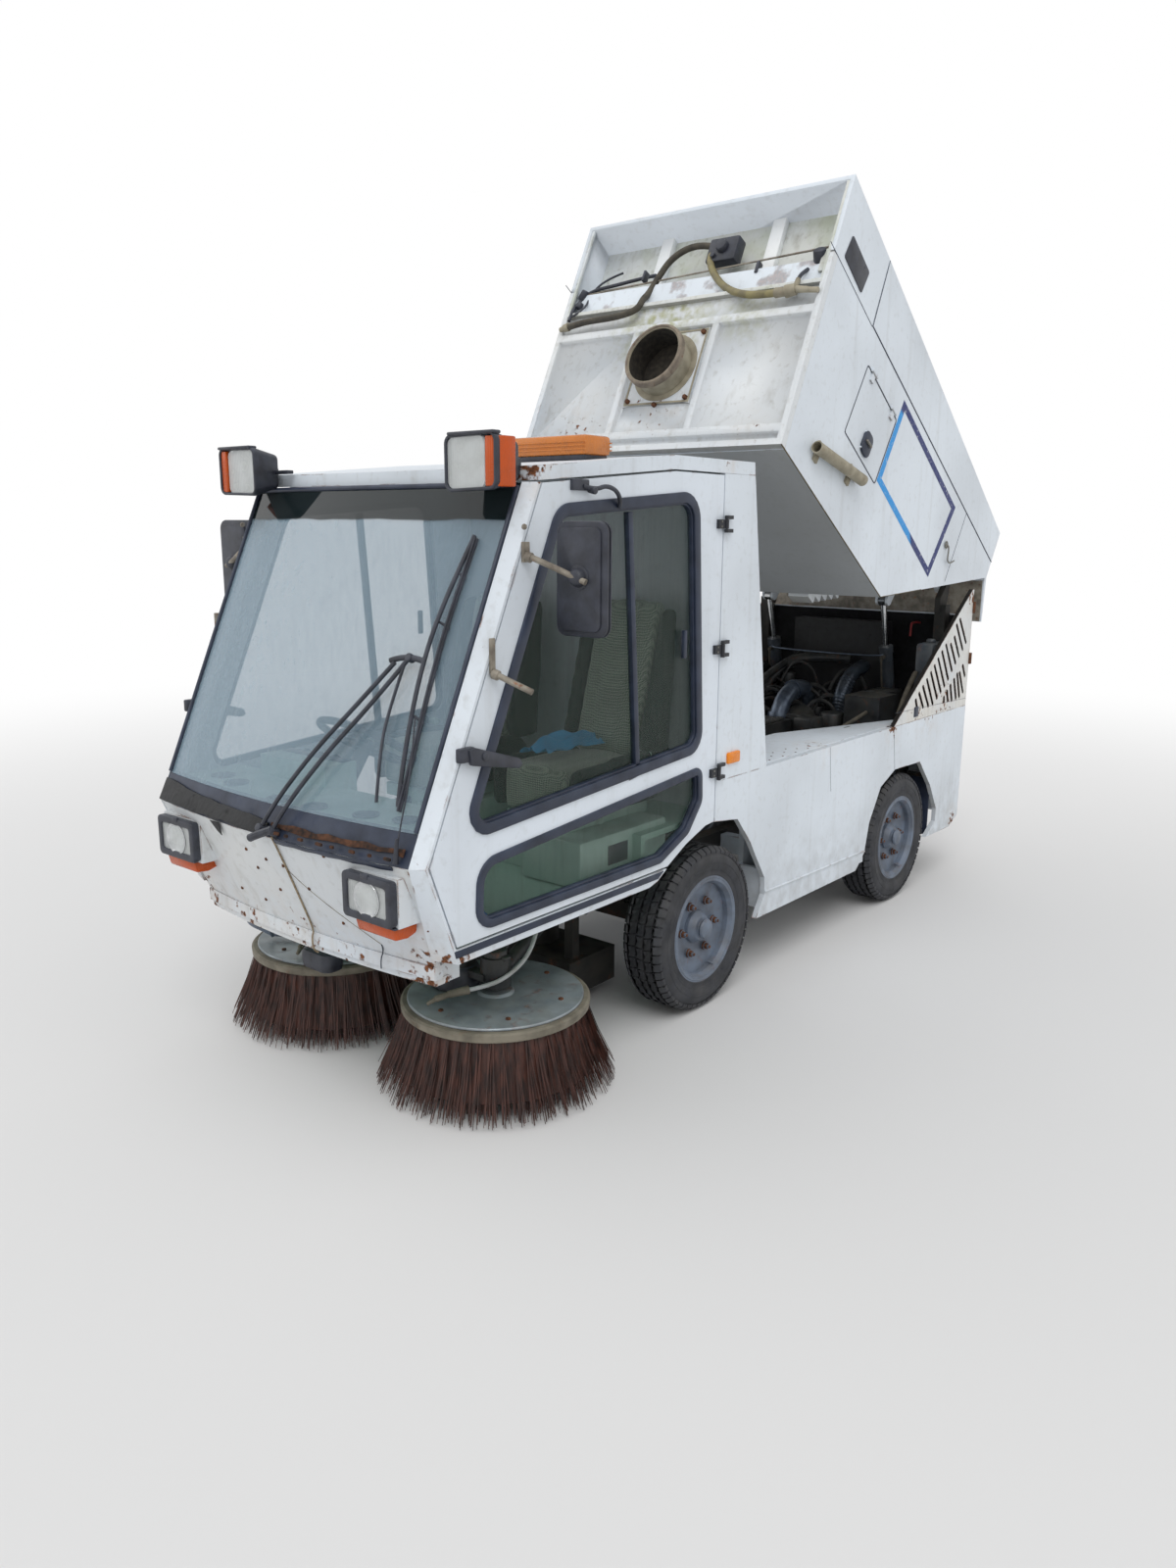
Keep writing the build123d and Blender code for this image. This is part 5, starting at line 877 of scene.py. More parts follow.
class SWEEPER_OT_lamps(bpy.types.Operator):
    """Headlamps, turn lamps, roof lamps, beacon, side markers and tail lamps"""
    bl_idname = "sweeper.lamps"
    bl_label = "Lamps"

    def execute(self, context):
        x0, x1, z0, z1, y = 395.0, 595.0, 735.0, 862.0, -2120.0

        def loop(grow, at_y, r):
            corners = oblong(x0 - grow, x1 + grow, z0 - grow, z1 + grow)
            return [at(u, at_y, v) for u, v in rounded(corners, r, 4)]

        rim = hoop(loop(6, y - 14, 16), loop(-17, y - 14, 10), (0, 0.026, 0), edge=4)
        box = hoop(loop(3, y - 2, 12), loop(-9, y - 2, 8), (0, 0.030, 0), edge=2)
        lug = slab(x0 + 80, x0 + 112, y - 16, y - 6, z1 - 4, z1 + 12, edge=3)
        both([rim, box, lug], "headlamp_bezel", "root", "plastic", replaces=["front_lamps"])
        glass = plate(loop(-14, y - 9, 12), (0, 0.005, 0), edge=1.5)
        both(glass, "headlamp_glass", "root", "lens")
        back = plate(loop(-12, y + 10, 10), (0, 0.004, 0), edge=1)
        mid_x, mid_z = (x0 + x1) / 2, (z0 + z1) / 2
        bowl = lathe([(4, 2), (30, 6), (50, 16), (56, 22), (54, 24), (48, 19), (28, 10), (4, 6)],
                     at(mid_x, y + 10, mid_z), (0, -1, 0), 40)
        bulb = drum((mid_x, y + 8, mid_z), (mid_x, y - 3, mid_z), 8, 5, 18, 2.0)
        both([back, bowl, bulb], "headlamp_reflector", "root", "reflector")
        outline = [at(x0 + 25, y + 4, 724), at(x0 + 25, y + 14, 684), at(x0 + 25, y + 60, 680),
                   at(x0 + 25, y + 96, 690), at(x0 + 25, y + 100, 724)]
        turn = plate(outline, (0.168, 0, 0), edge=8)
        both(turn, "turn_lamp", "root", "amber")
        shoe = slab(x0 + 20, x1 + 2, y + 2, y + 92, 722, 728, edge=1.5)
        both(shoe, "turn_lamp_shoe", "root", "plastic")
        self.roof_lamps()
        marker = plate([(677, v, w) for v, w in rounded(oblong(-530, -446, 962, 1006), 7, 4)], (0.012, 0, 0),
                       4.0)
        both(marker, "side_marker", "root", "marker")
        for low, high, finish, label in ((560, 600, "amber", "turn"), (601, 680, "red_lens", "stop")):
            both(slab(500, 630, 1867, 1902, low, high, edge=5), f"tail_{label}_lens", "root", finish)
        return {"FINISHED"}

    def roof_lamps(self):
        """Work lamps with amber turn lenses outboard, and the beacon bar."""
        low, high, front = 1934.0, 2098.0, -1752.0
        for side, label in SIDES:
            corners = [(462, low), (668, low + 6), (668, high), (462, high - 4)]
            outline = rounded(corners, 26, 6)
            shell = plate([(side * u, front + 8, v) for u, v in outline], (0, 0.112, 0))
            # The shell's back is drawn in towards its middle.
            for v in shell.data.vertices:
                if v.co.y > at(0, front + 60, 0).y:
                    v.co.x += (side * 0.580 - v.co.x) * 0.30
                    v.co.z += (2.030 - v.co.z) * 0.30
            pick(shell)
            shell = soften(9, 3, 25)
            rim = hoop([(side * u, front - 6, v) for u, v in outline],
                       [(side * u, front - 6, v) for u, v in rounded(inset(corners, 9), 18, 6)],
                       (0, 0.020, 0), edge=3)
            brow = slab(side * 480, side * 664, front - 12, front + 22, high - 8, high + 2, edge=4)
            foot = slab(side * 556, side * 612, -1690, -1590, 1985, 2034, edge=4)
            arm = slab(side * 420, side * 560, -1655, -1628, 2010, 2022, edge=3)
            keep([shell, rim, brow, foot, arm], f"{label}_roof_lamp_body", "root", "plastic",
                 replaces=["roof_lamps"] if side > 0 else ())
            corners = oblong(471, 620, low + 9, high - 10)
            face_at = [at(side * u, front - 1, v) for u, v in rounded(corners, 24, 6)]
            keep(plate(face_at, (0, 0.007, 0), 3.0), f"{label}_roof_lamp_glass", "root", "lens")
            centre = at(side * 546, front + 30, (low + high) / 2)
            bowl = lathe([(4, -4), (34, 2), (56, 14), (64, 21), (62, 23), (54, 17), (33, 6), (4, 1)], centre,
                         (0, -1, 0), 40)
            back = plate([(side * u, front + 7.5, v) for u, v in rounded(corners, 22, 6)], (0, 0.002, 0))
            keep([bowl, back], f"{label}_roof_lamp_reflector", "root", "reflector")
            amber = plate([(side * u, v, low + 14) for u, v in (
                (625, front - 6), (658, front - 2), (676, front + 26), (676, front + 70), (650, front + 72),
                (625, front + 20))], (0, 0, (high - low - 26) / 1000), edge=5)
            keep(amber, f"{label}_roof_turn_lens", "root", "amber")
        top = slab(82, 480, -1138, -1002, 2070, 2134, edge=12)
        ribs = [slab(80, 482, -1141 + n * 139, -1139 + n * 139, 2086 + k * 12, 2090 + k * 12, edge=0.5)
                for n in range(2) for k in range(3)]
        keep([top, *ribs], "beacon_dome", "root", "beacon")
        keep(slab(90, 470, -1130, -1010, 2054, 2071, edge=3), "beacon_base", "root", "plastic")


class SWEEPER_OT_front(bpy.types.Operator):
    """Wipers, torn tape and rusted strip under the screen, screws, seams, tie and aerial"""
    bl_idname = "sweeper.front"
    bl_label = "Nose and screen trim"

    def execute(self, context):
        random.seed(7)
        self.wipers()
        edge = [(x, 981 - 0.05 * (x + 628) + random.uniform(-4, 3), 916 + random.uniform(-7, 6))
                for x in range(-628, 45, 56)]
        top = [on_screen(x, high, 4) for x, high, low in edge]
        foot = [on_nose(x, low, 4) for x, high, low in reversed(edge)]
        tape = plate(top + foot, (0, -0.006, 0.002), edge=1)
        folds = [run([(-560 + n * 90, 960 - n % 3 * 12, 6), (-500 + n * 90, 950 - n % 2 * 10, 10),
                      (-430 + n * 90, 954 - n % 3 * 12, 6)], 4, spot=on_screen) for n in range(6)]
        flap = plate([(-262, 906, 7), (-205, 906, 7), (-222, 858, 9), (-240, 872, 8)],
                     (0, -0.003, 0), edge=0.6, spot=on_nose)
        keep([tape, *folds, flap], "torn_tape", "root", "tape")
        rough = [(min(x, 612), 953 + random.uniform(-8, 5), 934 + random.uniform(-5, 7))
                 for x in range(60, 622, 51)]
        band = plate([on_screen(x, high, 5) for x, high, low in rough]
                     + [on_screen(x, low, 5) for x, high, low in reversed(rough)], (0, -0.005, 0.002),
                     edge=1.2)
        crumbs = [slab(x, x + random.uniform(12, 34), nose_y(x, 915) - 12, nose_y(x, 915) - 3, 924, 934,
                       edge=3) for x in (90, 150, 212, 290, 350, 428, 500, 560)]
        keep([band, *crumbs], "rusted_screen_sill", "root", "sill_rust")
        lower = [on_nose(80 + k * 50, 905 + (k % 3) * 2, 4) for k in range(11)]
        under = [on_nose(80 + k * 50, 893 - (k % 2) * 3, 4) for k in reversed(range(11))]
        keep(plate(lower + under, (0, -0.004, 0), edge=1), "screen_rubber_strip", "root", "rubber")
        screws = [drum((x, z, -1), (x, z, 3.5), 6.5, 5.0, sides=14, edge=1.2, spot=on_nose) for x, z in (
            (-118, 828), (-20, 812), (-98, 764), (64, 806), (150, 742), (-288, 640), (250, 640), (-150, 630),
            (300, 888), (-20, 700), (618, 700), (-618, 700), (570, 900))]
        keep(screws, "nose_screws", "root", "rust")
        seam = [on_nose(60 + 330 * t, 812 - 215 * t ** 0.8, 0.8)
                for t in (0, 0.15, 0.3, 0.45, 0.6, 0.75, 0.9, 1.0)]
        keep(run(seam, 1.1, 2), "nose_crease", "root", "worn_steel")
        joint = [on_nose(392, 596, 1), on_nose(392, 575, 1), at(392, -2002, 550), at(392, -2000, 520)]
        keep(run(joint, 2.0, 2), "apron_joint", "root", "rubber")
        tie = [on_nose(84, 915, 7), on_nose(84, 880, 5), on_nose(80, 760, 3.5), on_nose(76, 640, 3.5),
               on_nose(72, 566, 4), at(70, -2012, 550), at(70, -2010, 500), at(72, -1992, 490)]
        keep(run(tie, 3.0), "nose_tie", "root", "cord")
        mast = run([(598, nose_y(598, 900) - 6, 934), (600, nose_y(598, 900) - 2, 990), (606, -2050, 1150),
                    (612, -2030, 1330)], 2.4, 2)
        foot = drum((597, nose_y(598, 900) - 10, 918), (599, nose_y(598, 900) - 4, 990), 9, 4, sides=18,
                    edge=1.5)
        keep([mast, foot], "aerial", "root", "plastic")
        # The glass is held by a rubber edge that shows as a dark line beside each pillar.
        for side, label in SIDES:
            line = [on_screen(side * 628, z, 3.5) for z in (1000, 1250, 1500, 1750, 1952)]
            keep(run(line, 7), f"{label}_screen_edge", "root", "rubber")
        brow = run([(x, 1955, 4) for x in (-620, -310, 0, 310, 620)], 8, spot=on_screen)
        keep(brow, "screen_top_edge", "root", "rubber")
        sill = plate([(677.5, y, z) for y, z in ((-1960, 612), (-960, 612), (-925, 634), (-1966, 634))],
                     (0.0035, 0, 0), edge=1)
        both(sill, "sill_stripe", "root", "rubber")
        return {"FINISHED"}

    def wipers(self):
        """Pantograph wiper: two arms from the nose, and a long two-part blade beside the pillar."""
        parts = []
        for x, end_x, end_z in ((35, 398, 1437), (90, 448, 1454)):
            parts.append(run([(x, 922, 22), (x + 34, 985, 34), (x + 150, 1158, 40),
                              ((x + 3 * end_x) / 4 + 8, 1320, 36), (end_x, end_z, 30)], 7.0, spot=on_screen))
            parts.append(drum((x, 924, 0), (x, 924, 36), 17, 13, sides=22, edge=3, spot=on_screen))
        parts.append(run([(380, 1440, 30), (440, 1462, 34), (505, 1446, 30)], 9, spot=on_screen))
        parts.append(drum((452, 1452, 18), (452, 1452, 42), 13, sides=20, edge=3, spot=on_screen))
        tail = run([(96, 928, 26), (44, 905, 34), (10, 890, 30)], 13, spot=on_screen)
        spine = run([(548, 1058, 12), (528, 1180, 24), (503, 1440, 34),
                     (514, 1640, 28), (538, 1806, 14)], 7.0, spot=on_screen)
        line = [on_screen(x, z, 8) for x, z in ((556, 1046), (549, 1180), (530, 1440), (534, 1640),
                                                (545, 1800))]
        rubber = run(line, 5.0, 2)
        holder = run([p + Vector((0, -0.009, 0.004)) for p in line], 3.5, 2)
        clips = [run([(a, z, 22), (b, z - 8, 14), (b + 4, z - 16, 6)], 4.5, 2, spot=on_screen)
                 for a, b, z in ((536, 552, 1120), (512, 542, 1300), (506, 534, 1560), (522, 538, 1700))]
        short = run([(468, 1060, 14), (438, 1180, 22), (420, 1290, 22), (436, 1430, 30)], 5.0, spot=on_screen)
        keep([*parts, tail, spine, rubber, holder, *clips, short], "wiper", "root", "plastic",
             replaces=["wipers"])


class SWEEPER_OT_wheels(bpy.types.Operator):
    """Tyres with ribs and shoulder blocks, wheel nuts, hub caps and valves"""
    bl_idname = "sweeper.wheels"
    bl_label = "Wheels"

    def execute(self, context):
        blocks = context.scene.sweeper_sizes.tread
        for end, y in AXLES:
            for side, label in SIDES:
                self.tyre(f"{end}_{label}", at(side * HALF_TRACK, y, AXLE_Z), blocks)
                self.nuts(f"{end}_{label}", side, y)
        return {"FINISHED"}

    def tyre(self, wheel, centre, blocks):
        """One tyre: carcass spun from its section, then grooved blocks round both shoulders."""
        wall = [(199, 74), (206, 80), (214, 83), (226, 81), (236, 84), (252, 88.5), (270, 88.8), (286, 86),
                (296, 82), (300, 79), (309, 77), (314, 71), (315, 66)]
        ribs = [(315, 57), (308, 56), (308, 51), (316.5, 50), (316.5, 21), (309, 20), (309, 14), (317, 13)]
        half = wall + ribs
        parts = [lathe(half + [(r, -x) for r, x in reversed(half)] + [(205, -66), (205, 66)], centre,
                       (1, 0, 0), 72)]
        shoulder = [(304, 55), (324, 55), (324, 64), (309, 84), (298, 84)]
        shoulders, middle = (blocks, 0.80), (int(blocks * 0.8), 0.86)
        # Each row's section, its count of blocks with the share of the pitch they fill, its turn and skew.
        for section, (count, filled), turn, skew in (
                (shoulder, shoulders, 0.0, 0.0),
                ([(312, 21), (324.2, 21), (324.2, 50), (312, 50)], middle, 0.4, 0.02),
                ([(312, -13), (324.6, -13), (324.6, 13), (312, 13)], middle, 0.8, 0.0),
                ([(312, -50), (324.2, -50), (324.2, -21), (312, -21)], middle, 0.2, 0.02),
                ([(r, -x) for r, x in shoulder], shoulders, 0.5, 0.0)):
            step = 2 * math.pi / count
            block = plate([centre + Vector((x / 1000, 0, r / 1000)) for r, x in section], (0, 0.001, 0))
            # The block's two ends are moved apart to its length round the tyre.
            length = step * filled / 2
            n = len(section)
            for k, v in enumerate(block.data.vertices):
                r, x = section[k % n]
                a = (-length if k < n else length) + skew * (x / 30)
                v.co = centre + Vector((x / 1000, r / 1000 * math.sin(a), r / 1000 * math.cos(a)))
            ring = [block]
            for m in range(1, count):
                more = block.copy()
                more.data = block.data.copy()
                bpy.context.scene.collection.objects.link(more)
                spin = Matrix.Rotation(m * step + turn, 4, "X")
                more.data.transform(Matrix.Translation(centre) @ spin @ Matrix.Translation(-centre))
                ring.append(more)
            parts.append(joined(ring))
        parts += [lathe([(r, way * (x - 2)), (r + 2.5, way * (x + 1)), (r + 5, way * (x - 2))], centre,
                        (1, 0, 0), 72) for r, x in ((262, 89), (232, 83.5)) for way in (1, -1)]
        keep(parts, f"{wheel}_tread_tyre", f"wheel_{wheel}", "tyre", smooth=30, replaces=[f"tyre_{wheel}"])

    def nuts(self, wheel, side, y):
        """Six studs with nuts, and on the rim its plugs, bead, hub cap and valve."""
        stud_circle, plug_circle = 108, 152
        nuts, plain = [], []
        for n in range(6):
            a = 2 * math.pi * (n + 0.5) / 6
            cy, cz = y + stud_circle * math.sin(a), AXLE_Z + stud_circle * math.cos(a)
            base = HALF_TRACK + 44
            for near_x, far_x, r, r_end, sides, edge in ((0, 13, 14, 13, 6, 1.6), (12, 24, 7, 6.5, 12, 1.5),
                                                         (-4, 2, 18, 17, 20, 1.2)):
                nuts.append(drum((side * (base + near_x), cy, cz), (side * (base + far_x), cy, cz), r, r_end,
                                 sides=sides, edge=edge))
        for n in range(12):
            a = 2 * math.pi * (n + 0.25) / 12
            cy, cz = y + plug_circle * math.sin(a), AXLE_Z + plug_circle * math.cos(a)
            plain.append(drum((side * 618, cy, cz), (side * 625, cy, cz), 13, 11, sides=16, edge=2.5))
        keep(nuts, f"{wheel}_wheel_nuts", f"wheel_{wheel}", "rust")
        centre = at(side * HALF_TRACK, y, AXLE_Z)
        cap = lathe([(0.4, 62), (22, 64), (34, 70), (40, 80), (36, 88), (20, 92), (0.4, 93)], centre,
                    (side, 0, 0), 36)
        bead = lathe([(196, 80), (203, 84), (206, 80), (200, 76)], centre, (side, 0, 0), 64)
        valve = drum((side * 640, y + 60, AXLE_Z - 158), (side * 668, y + 62, AXLE_Z - 162), 4.5, 3.5,
                     sides=12, edge=1)
        keep([cap, bead, valve, *plain], f"{wheel}_hub_cap", f"wheel_{wheel}", "rim")


class SWEEPER_OT_brushes(bpy.types.Operator):
    """Both side brushes: plate, ring, bristles, motor shroud and water pipe"""
    bl_idname = "sweeper.brushes"
    bl_label = "Brushes"

    def execute(self, context):
        for side, label in SIDES:
            self.brush(context.scene.sweeper_sizes, side, label)
            self.fittings(side, label)
        return {"FINISHED"}

    def brush(self, sizes, side, label):
        """Galvanised plate on a pale ring that holds splayed bristles."""
        middle_x = side * BRUSH_X
        centre = at(middle_x, BRUSH_Y, 0)

        def turned(profile, steps=64):
            return lathe(profile, centre, (0, 0, 1), steps)

        disc = turned([(14.5, 290), (296, 290), (299, 292), (299, 296), (296, 299), (64, 299), (60, 304),
                       (56, 308), (14.5, 308)])
        bolts = [drum((middle_x + 232 * math.cos(a), BRUSH_Y + 232 * math.sin(a), 297),
                      (middle_x + 232 * math.cos(a), BRUSH_Y + 232 * math.sin(a), 304.4), 10, 9, sides=6,
                      edge=1.5) for a in (0.4, 1.45, 2.5, 3.55, 4.6, 5.65)]
        keep(disc, f"{label}_brush_plate", f"brush_{label}", "zinc", replaces=[f"brush_{label}"])
        keep(bolts, f"{label}_brush_bolts", f"brush_{label}", "rust")
        keep(turned([(225, 256), (312, 256), (320, 262), (321.5, 284), (314, 289.5), (230, 289.5)]),
             f"{label}_brush_ring", f"brush_{label}", "brush_ring")
        random.seed(11 if side > 0 else 23)
        tufts, ring_in, ring_wide = 52, 246, 62
        r = sizes.strand * 500
        verts, faces = [], []
        for n in range(sizes.bristles):
            a = 2 * math.pi * (n % tufts + random.gauss(0, 0.15)) / tufts
            ring = ring_in + ring_wide * random.random()
            root = Vector((middle_x + ring * math.cos(a), BRUSH_Y + ring * math.sin(a), 262))
            splay = 44 + ring_wide * ((ring - ring_in) / ring_wide) + random.gauss(0, 9)
            sweep = random.gauss(0, 0.028)
            reach = min(ring + splay, 408)
            foot = 5 + abs(random.gauss(0, 16)) * (0.4 + 0.6 * (ring - ring_in) / ring_wide)
            end = Vector((middle_x + reach * math.cos(a + sweep), BRUSH_Y + reach * math.sin(a + sweep),
                          foot))
            middle = (root + end) / 2 + Vector((math.cos(a), math.sin(a), 0)) * -6
            first = len(verts)
            for point, share in ((root, 1.0), (middle, 0.9), (end, 0.6)):
                thin = r * share
                for m in range(3):
                    b = 2 * math.pi * m / 3
                    verts.append(at(point.x + thin * math.cos(b), point.y + thin * math.sin(b), point.z))
            for q in (first, first + 3):
                faces += [(q + m, q + 3 + m, q + 3 + (m + 1) % 3, q + (m + 1) % 3) for m in range(3)]
            faces += [(first, first + 1, first + 2), (first + 8, first + 7, first + 6)]
        bristle = outlined([centre] * 3)
        bristle.data.clear_geometry()
        bristle.data.from_pydata(verts, [], faces)
        bristle.data.update()
        core = turned([(240, 258), (300, 258), (338, 60), (300, 60)], 48)
        keep([bristle, core], f"{label}_brush_bristles", f"brush_{label}", "bristle", smooth=20, tidy=False)

    def fittings(self, side, label):
        """Shroud beside the motor, water pipe and its nozzle, all on the arm."""
        arm = f"brush_arm_{label}"
        x = side * BRUSH_X
        shroud = lathe([(0.5, 96), (40, 92), (70, 74), (84, 46), (86, 0), (80, 0), (76, 40), (60, 66),
                        (34, 82), (0.5, 86)],
                       at(x - side * 150, -1570, 307), (0, 0, 1), 30)
        keep(shroud, f"{label}_motor_shroud", arm, "plastic")
        pipe = run([(x + side * 10, -1330, 470), (x + side * 40, -1380, 440), (x + side * 60, -1450, 400),
                    (x + side * 62, -1530, 372), (x + side * 40, -1600, 352), (x, -1660, 345)], 7.5)
        keep(pipe, f"{label}_water_pipe", arm, "white_hose")
        joint = [drum((x, -1655, 345), (x - side * 40, -1715, 336), 15, 12, sides=20, edge=2.5),
                 drum((x - side * 36, -1708, 337), (x - side * 62, -1752, 326), 11, 11, sides=18, edge=2.5),
                 drum((x - side * 60, -1748, 327), (x - side * 76, -1776, 312), 9, 6, sides=16, edge=2)]
        keep(joint, f"{label}_spray_nozzle", arm, "brush_ring")
        clamp = [slab(x - 44, x + 44, -1560, -1500, 330, 350, edge=4),
                 drum((x, -1530, 350), (x, -1530, 452), 46, 40, sides=30, edge=6),
                 slab(x - 60, x + 60, -1545, -1515, 424, 436, edge=3),
                 run([(x, -1490, 440), (x - side * 20, -1380, 500), (x - side * 60, -1200, 500),
                      (x - side * 80, -1060, 480)], 11)]
        keep(clamp, f"{label}_brush_motor", arm, "castings")
        if side < 0:
            lid = plate([(u, v, 308) for u, v in rounded(oblong(-255, -96, -1838, -1745), 36, 6)],
                        (0, 0, 0.074), edge=20)
            keep(lid, "right_motor_cover", arm, "plastic")
            hook = [run([(x - 150, -1720, 318), (x - 190, -1740, 336), (x - 240, -1750, 344),
                         (x - 290, -1735, 352), (x - 305, -1700, 340)], 8),
                    run([(x - 150, -1720, 312), (x - 150, -1735, 340), (x - 120, -1742, 352)], 8),
                    drum((x - 60, -1660, 317), (x - 156, -1722, 320), 9, sides=16, edge=2)]
            keep(hook, "right_brush_hook", arm, "rim")


class SWEEPER_OT_hopper(bpy.types.Operator):
    """Blue frame, bare plate, hatch grips, hook, inlet ring, bolts and the hoses in the hood's recess"""
    bl_idname = "sweeper.hopper"
    bl_label = "Hopper trim"

    def execute(self, context):
        for side, label in SIDES:
            x = side * 668.3
            outer = [tip(x, y, z) for y, z in ((563, 1291), (563, 1711), (1378, 1699), (1326, 1268))]
            inner = [tip(x, y, z) for y, z in ((597, 1324), (597, 1678), (1338, 1666), (1296, 1303))]
            keep(hoop(outer, inner, (side * 0.0006, 0, 0)), f"{label}_stripe_frame", "hopper", "stripe")
            bare = [tip(x, y, z) for y, z in rounded([(-235, 1770), (-40, 1762), (-36, 1872), (-230, 1880)],
                                                     10, 3)]
            keep(plate(bare, (side * 0.003, 0, 0), 0.8), f"{label}_bare_plate", "hopper", "plastic")
            cup = [tip(side * 668.2, y, z) for y, z in rounded(oblong(336, 420, 1290, 1395), 30, 6)]
            dish = plate(cup, (side * 0.011, 0, 0), 4.0)
            lift = slab(side * 674, side * 690, 352, 404, 1338, 1350, edge=4, spot=tip)
            keep(dish, f"{label}_hatch_cup", f"hatch_{label}", "rubber")
            keep(lift, f"{label}_hatch_grip", f"hatch_{label}", "steel")
            seams = [run([(x, *a), (x, *b)], r, 1, 2, spot=tip) for a, b, r in (
                ((-350, 1735), (120, 1735), 1.6), ((1520, 1360), (1520, 1765), 1.2),
                ((126, 1741), (1996, 1769), 2.6), ((82, 2040), (126, 1741), 1.6))]
            x -= side * 0.3
            seams.append(hoop([(x, y, z) for y, z in rounded(oblong(188, 558, 1264, 1602), 16, 4)],
                              [(x, y, z) for y, z in rounded(oblong(192, 554, 1268, 1598), 14, 4)],
                              (side * 0.0012, 0, 0), spot=tip))
            edge = [run([(side * 667, -194, 926), (side * 667, 934, 926)], 2.4, 2, spot=tip),
                    run([(side * 667, 936, 927), (side * 667, 1300, 1183)], 2.0, 2, spot=tip)]
            keep(edge, f"{label}_hopper_edge", "hopper", "moss_line")
            keep(seams, f"{label}_hopper_seams", "hopper", "rubber")
            hook = run([(side * 671, 1395, 1490), (side * 684, 1400, 1500), (side * 690, 1412, 1470),
                        (side * 684, 1440, 1430), (side * 680, 1490, 1445), (side * 682, 1520, 1480)], 4,
                       spot=tip)
            eye = lathe([(8, 0), (14, 3), (20, 0), (14, -3)], tip(side * 674, 1402, 1498), (1, 0, 0), 24)
            keep([hook, eye], f"{label}_lid_hook", "hopper", "steel")
        self.recess()
        self.front()
        self.hoses()
        return {"FINISHED"}

    def front(self):
        """Inlet tube with its rolled rim and its throat, dark with dirt and painted shade, and the flange's
        bolts and edge.
        """
        centre = face(0, 765, 0)
        axis = (face(0, 765, 100) - centre).normalized()
        tube = lathe([(121, -11), (129, -11), (129, 90), (121, 90)], centre, axis, 56)
        cover = lathe([(129, -11), (153, -11), (153, -8.5), (129, -8.5)], centre, axis, 56)
        keep([tube, cover], "inlet_tube", "hopper", "ring", replaces=["inlet_spigot"])
        lip = lathe([(122, 58), (133, 59), (138, 64), (138, 90), (134, 95), (128, 96), (124, 92),
                     (121.6, 86)],
                    centre, axis, 56)
        keep(lip, "inlet_rolled_rim", "hopper", "rust_grey")
        # The throat's lining is dark with dirt and painted shade; the dark disc behind it is a painted shade
        # of the hopper's inside.
        throat = [lathe([(119.6, -30), (120.6, -30), (120.6, 84), (119.6, 84)], centre, axis, 48),
                  drum((0, 765, -33), (0, 765, -30.5), 141, sides=48, spot=face)]
        keep(throat, "inlet_throat_dirt_and_shade", "hopper", "throat")
        bolts = [drum((x, s, -12), (x, s, 2), 12, 11, sides=6, edge=2, spot=face)
                 for x, s in ((-148, 617), (148, 617), (-148, 913), (148, 913), (0, 938))]
        keep(bolts, "inlet_flange_bolts", "hopper", "rust")
        gasket = hoop([(x, s, -11.6) for x, s in oblong(-166, 166, 599, 931)],
                      [(x, s, -11.6) for x, s in oblong(-158, 158, 607, 923)], axis * 0.002, spot=face)
        keep(gasket, "inlet_flange_edge", "hopper", "ring")

    def strip(self, s0, s1, out0, out1, x0, x1, edge=0):
        """Block on the hopper's front between two lines, depths and sides."""
        return plate([(x0, s0, out0), (x0, s1, out0), (x0, s1, out1), (x0, s0, out1)],
                     ((x1 - x0) / 1000, 0, 0), edge, spot=face)

    def opened(self, node, cutter):
        """Copy of a frame part with the recess cut out of it."""
        obj = bpy.data.objects.new(node + "_copy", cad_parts[node].data.copy())
        bpy.context.scene.collection.objects.link(obj)
        pick(obj)
        edit_all()
        bpy.ops.mesh.remove_doubles(threshold=0.00002)
        leave()
        apply(obj, "BOOLEAN", operation="DIFFERENCE", object=cutter, solver="EXACT")
        bpy.data.objects.remove(cutter)
        return obj

    def recess(self):
        """Front wall and hood with their shared recess, its back sheet, lip, straps and the thin pipes."""
        deep, lip, inner = -150.0, 452.0, 648.0
        hood = self.opened("hopper_hood", self.strip(285, 345, deep, 12, -inner, inner))
        keep(hood, "hood_shell", "hopper", "hopper_side", replaces=["hopper_hood"], tidy=False)
        wall = self.opened("hopper_front", self.strip(322, lip, -60, 12, -inner, inner))
        keep(wall, "front_wall", "hopper", "hopper_face", replaces=["hopper_front"], tidy=False)
        sheets = [self.strip(17, lip, deep - 4, deep, -inner, inner),
                  self.strip(lip - 4, lip, deep, -20, -inner, inner),
                  self.strip(lip - 8, lip + 10, -24, 1.0, -inner, inner, 2.0)]
        straps = [self.strip(17, 446, deep, deep + 30, x - 31, x + 31, 3.0) for x in (-288.0, 284.0)]
        keep(straps, "hood_straps", "hopper", "strap")
        sheets += [self.strip(20, 446, -14, -1, side * 636, side * 649, 2.0) for side, _ in SIDES]
        sheets.append(self.strip(300, 396, -80, -22, 600, 647, 4.0))
        keep(sheets, "hood_recess", "hopper", "recess")
        pipes = [run([(-647, a, -d), (0, (a + b) / 2 + 2, -d), (647, b, -d)], r, 2, spot=face)
                 for a, b, d, r in ((329, 277, 40, 3.6), (409, 350, 40, 3.6), (306, 262, 62, 3.2))]
        keep(pipes, "recess_water_pipes", "hopper", "worn_steel", replaces=["hopper_pipes"])

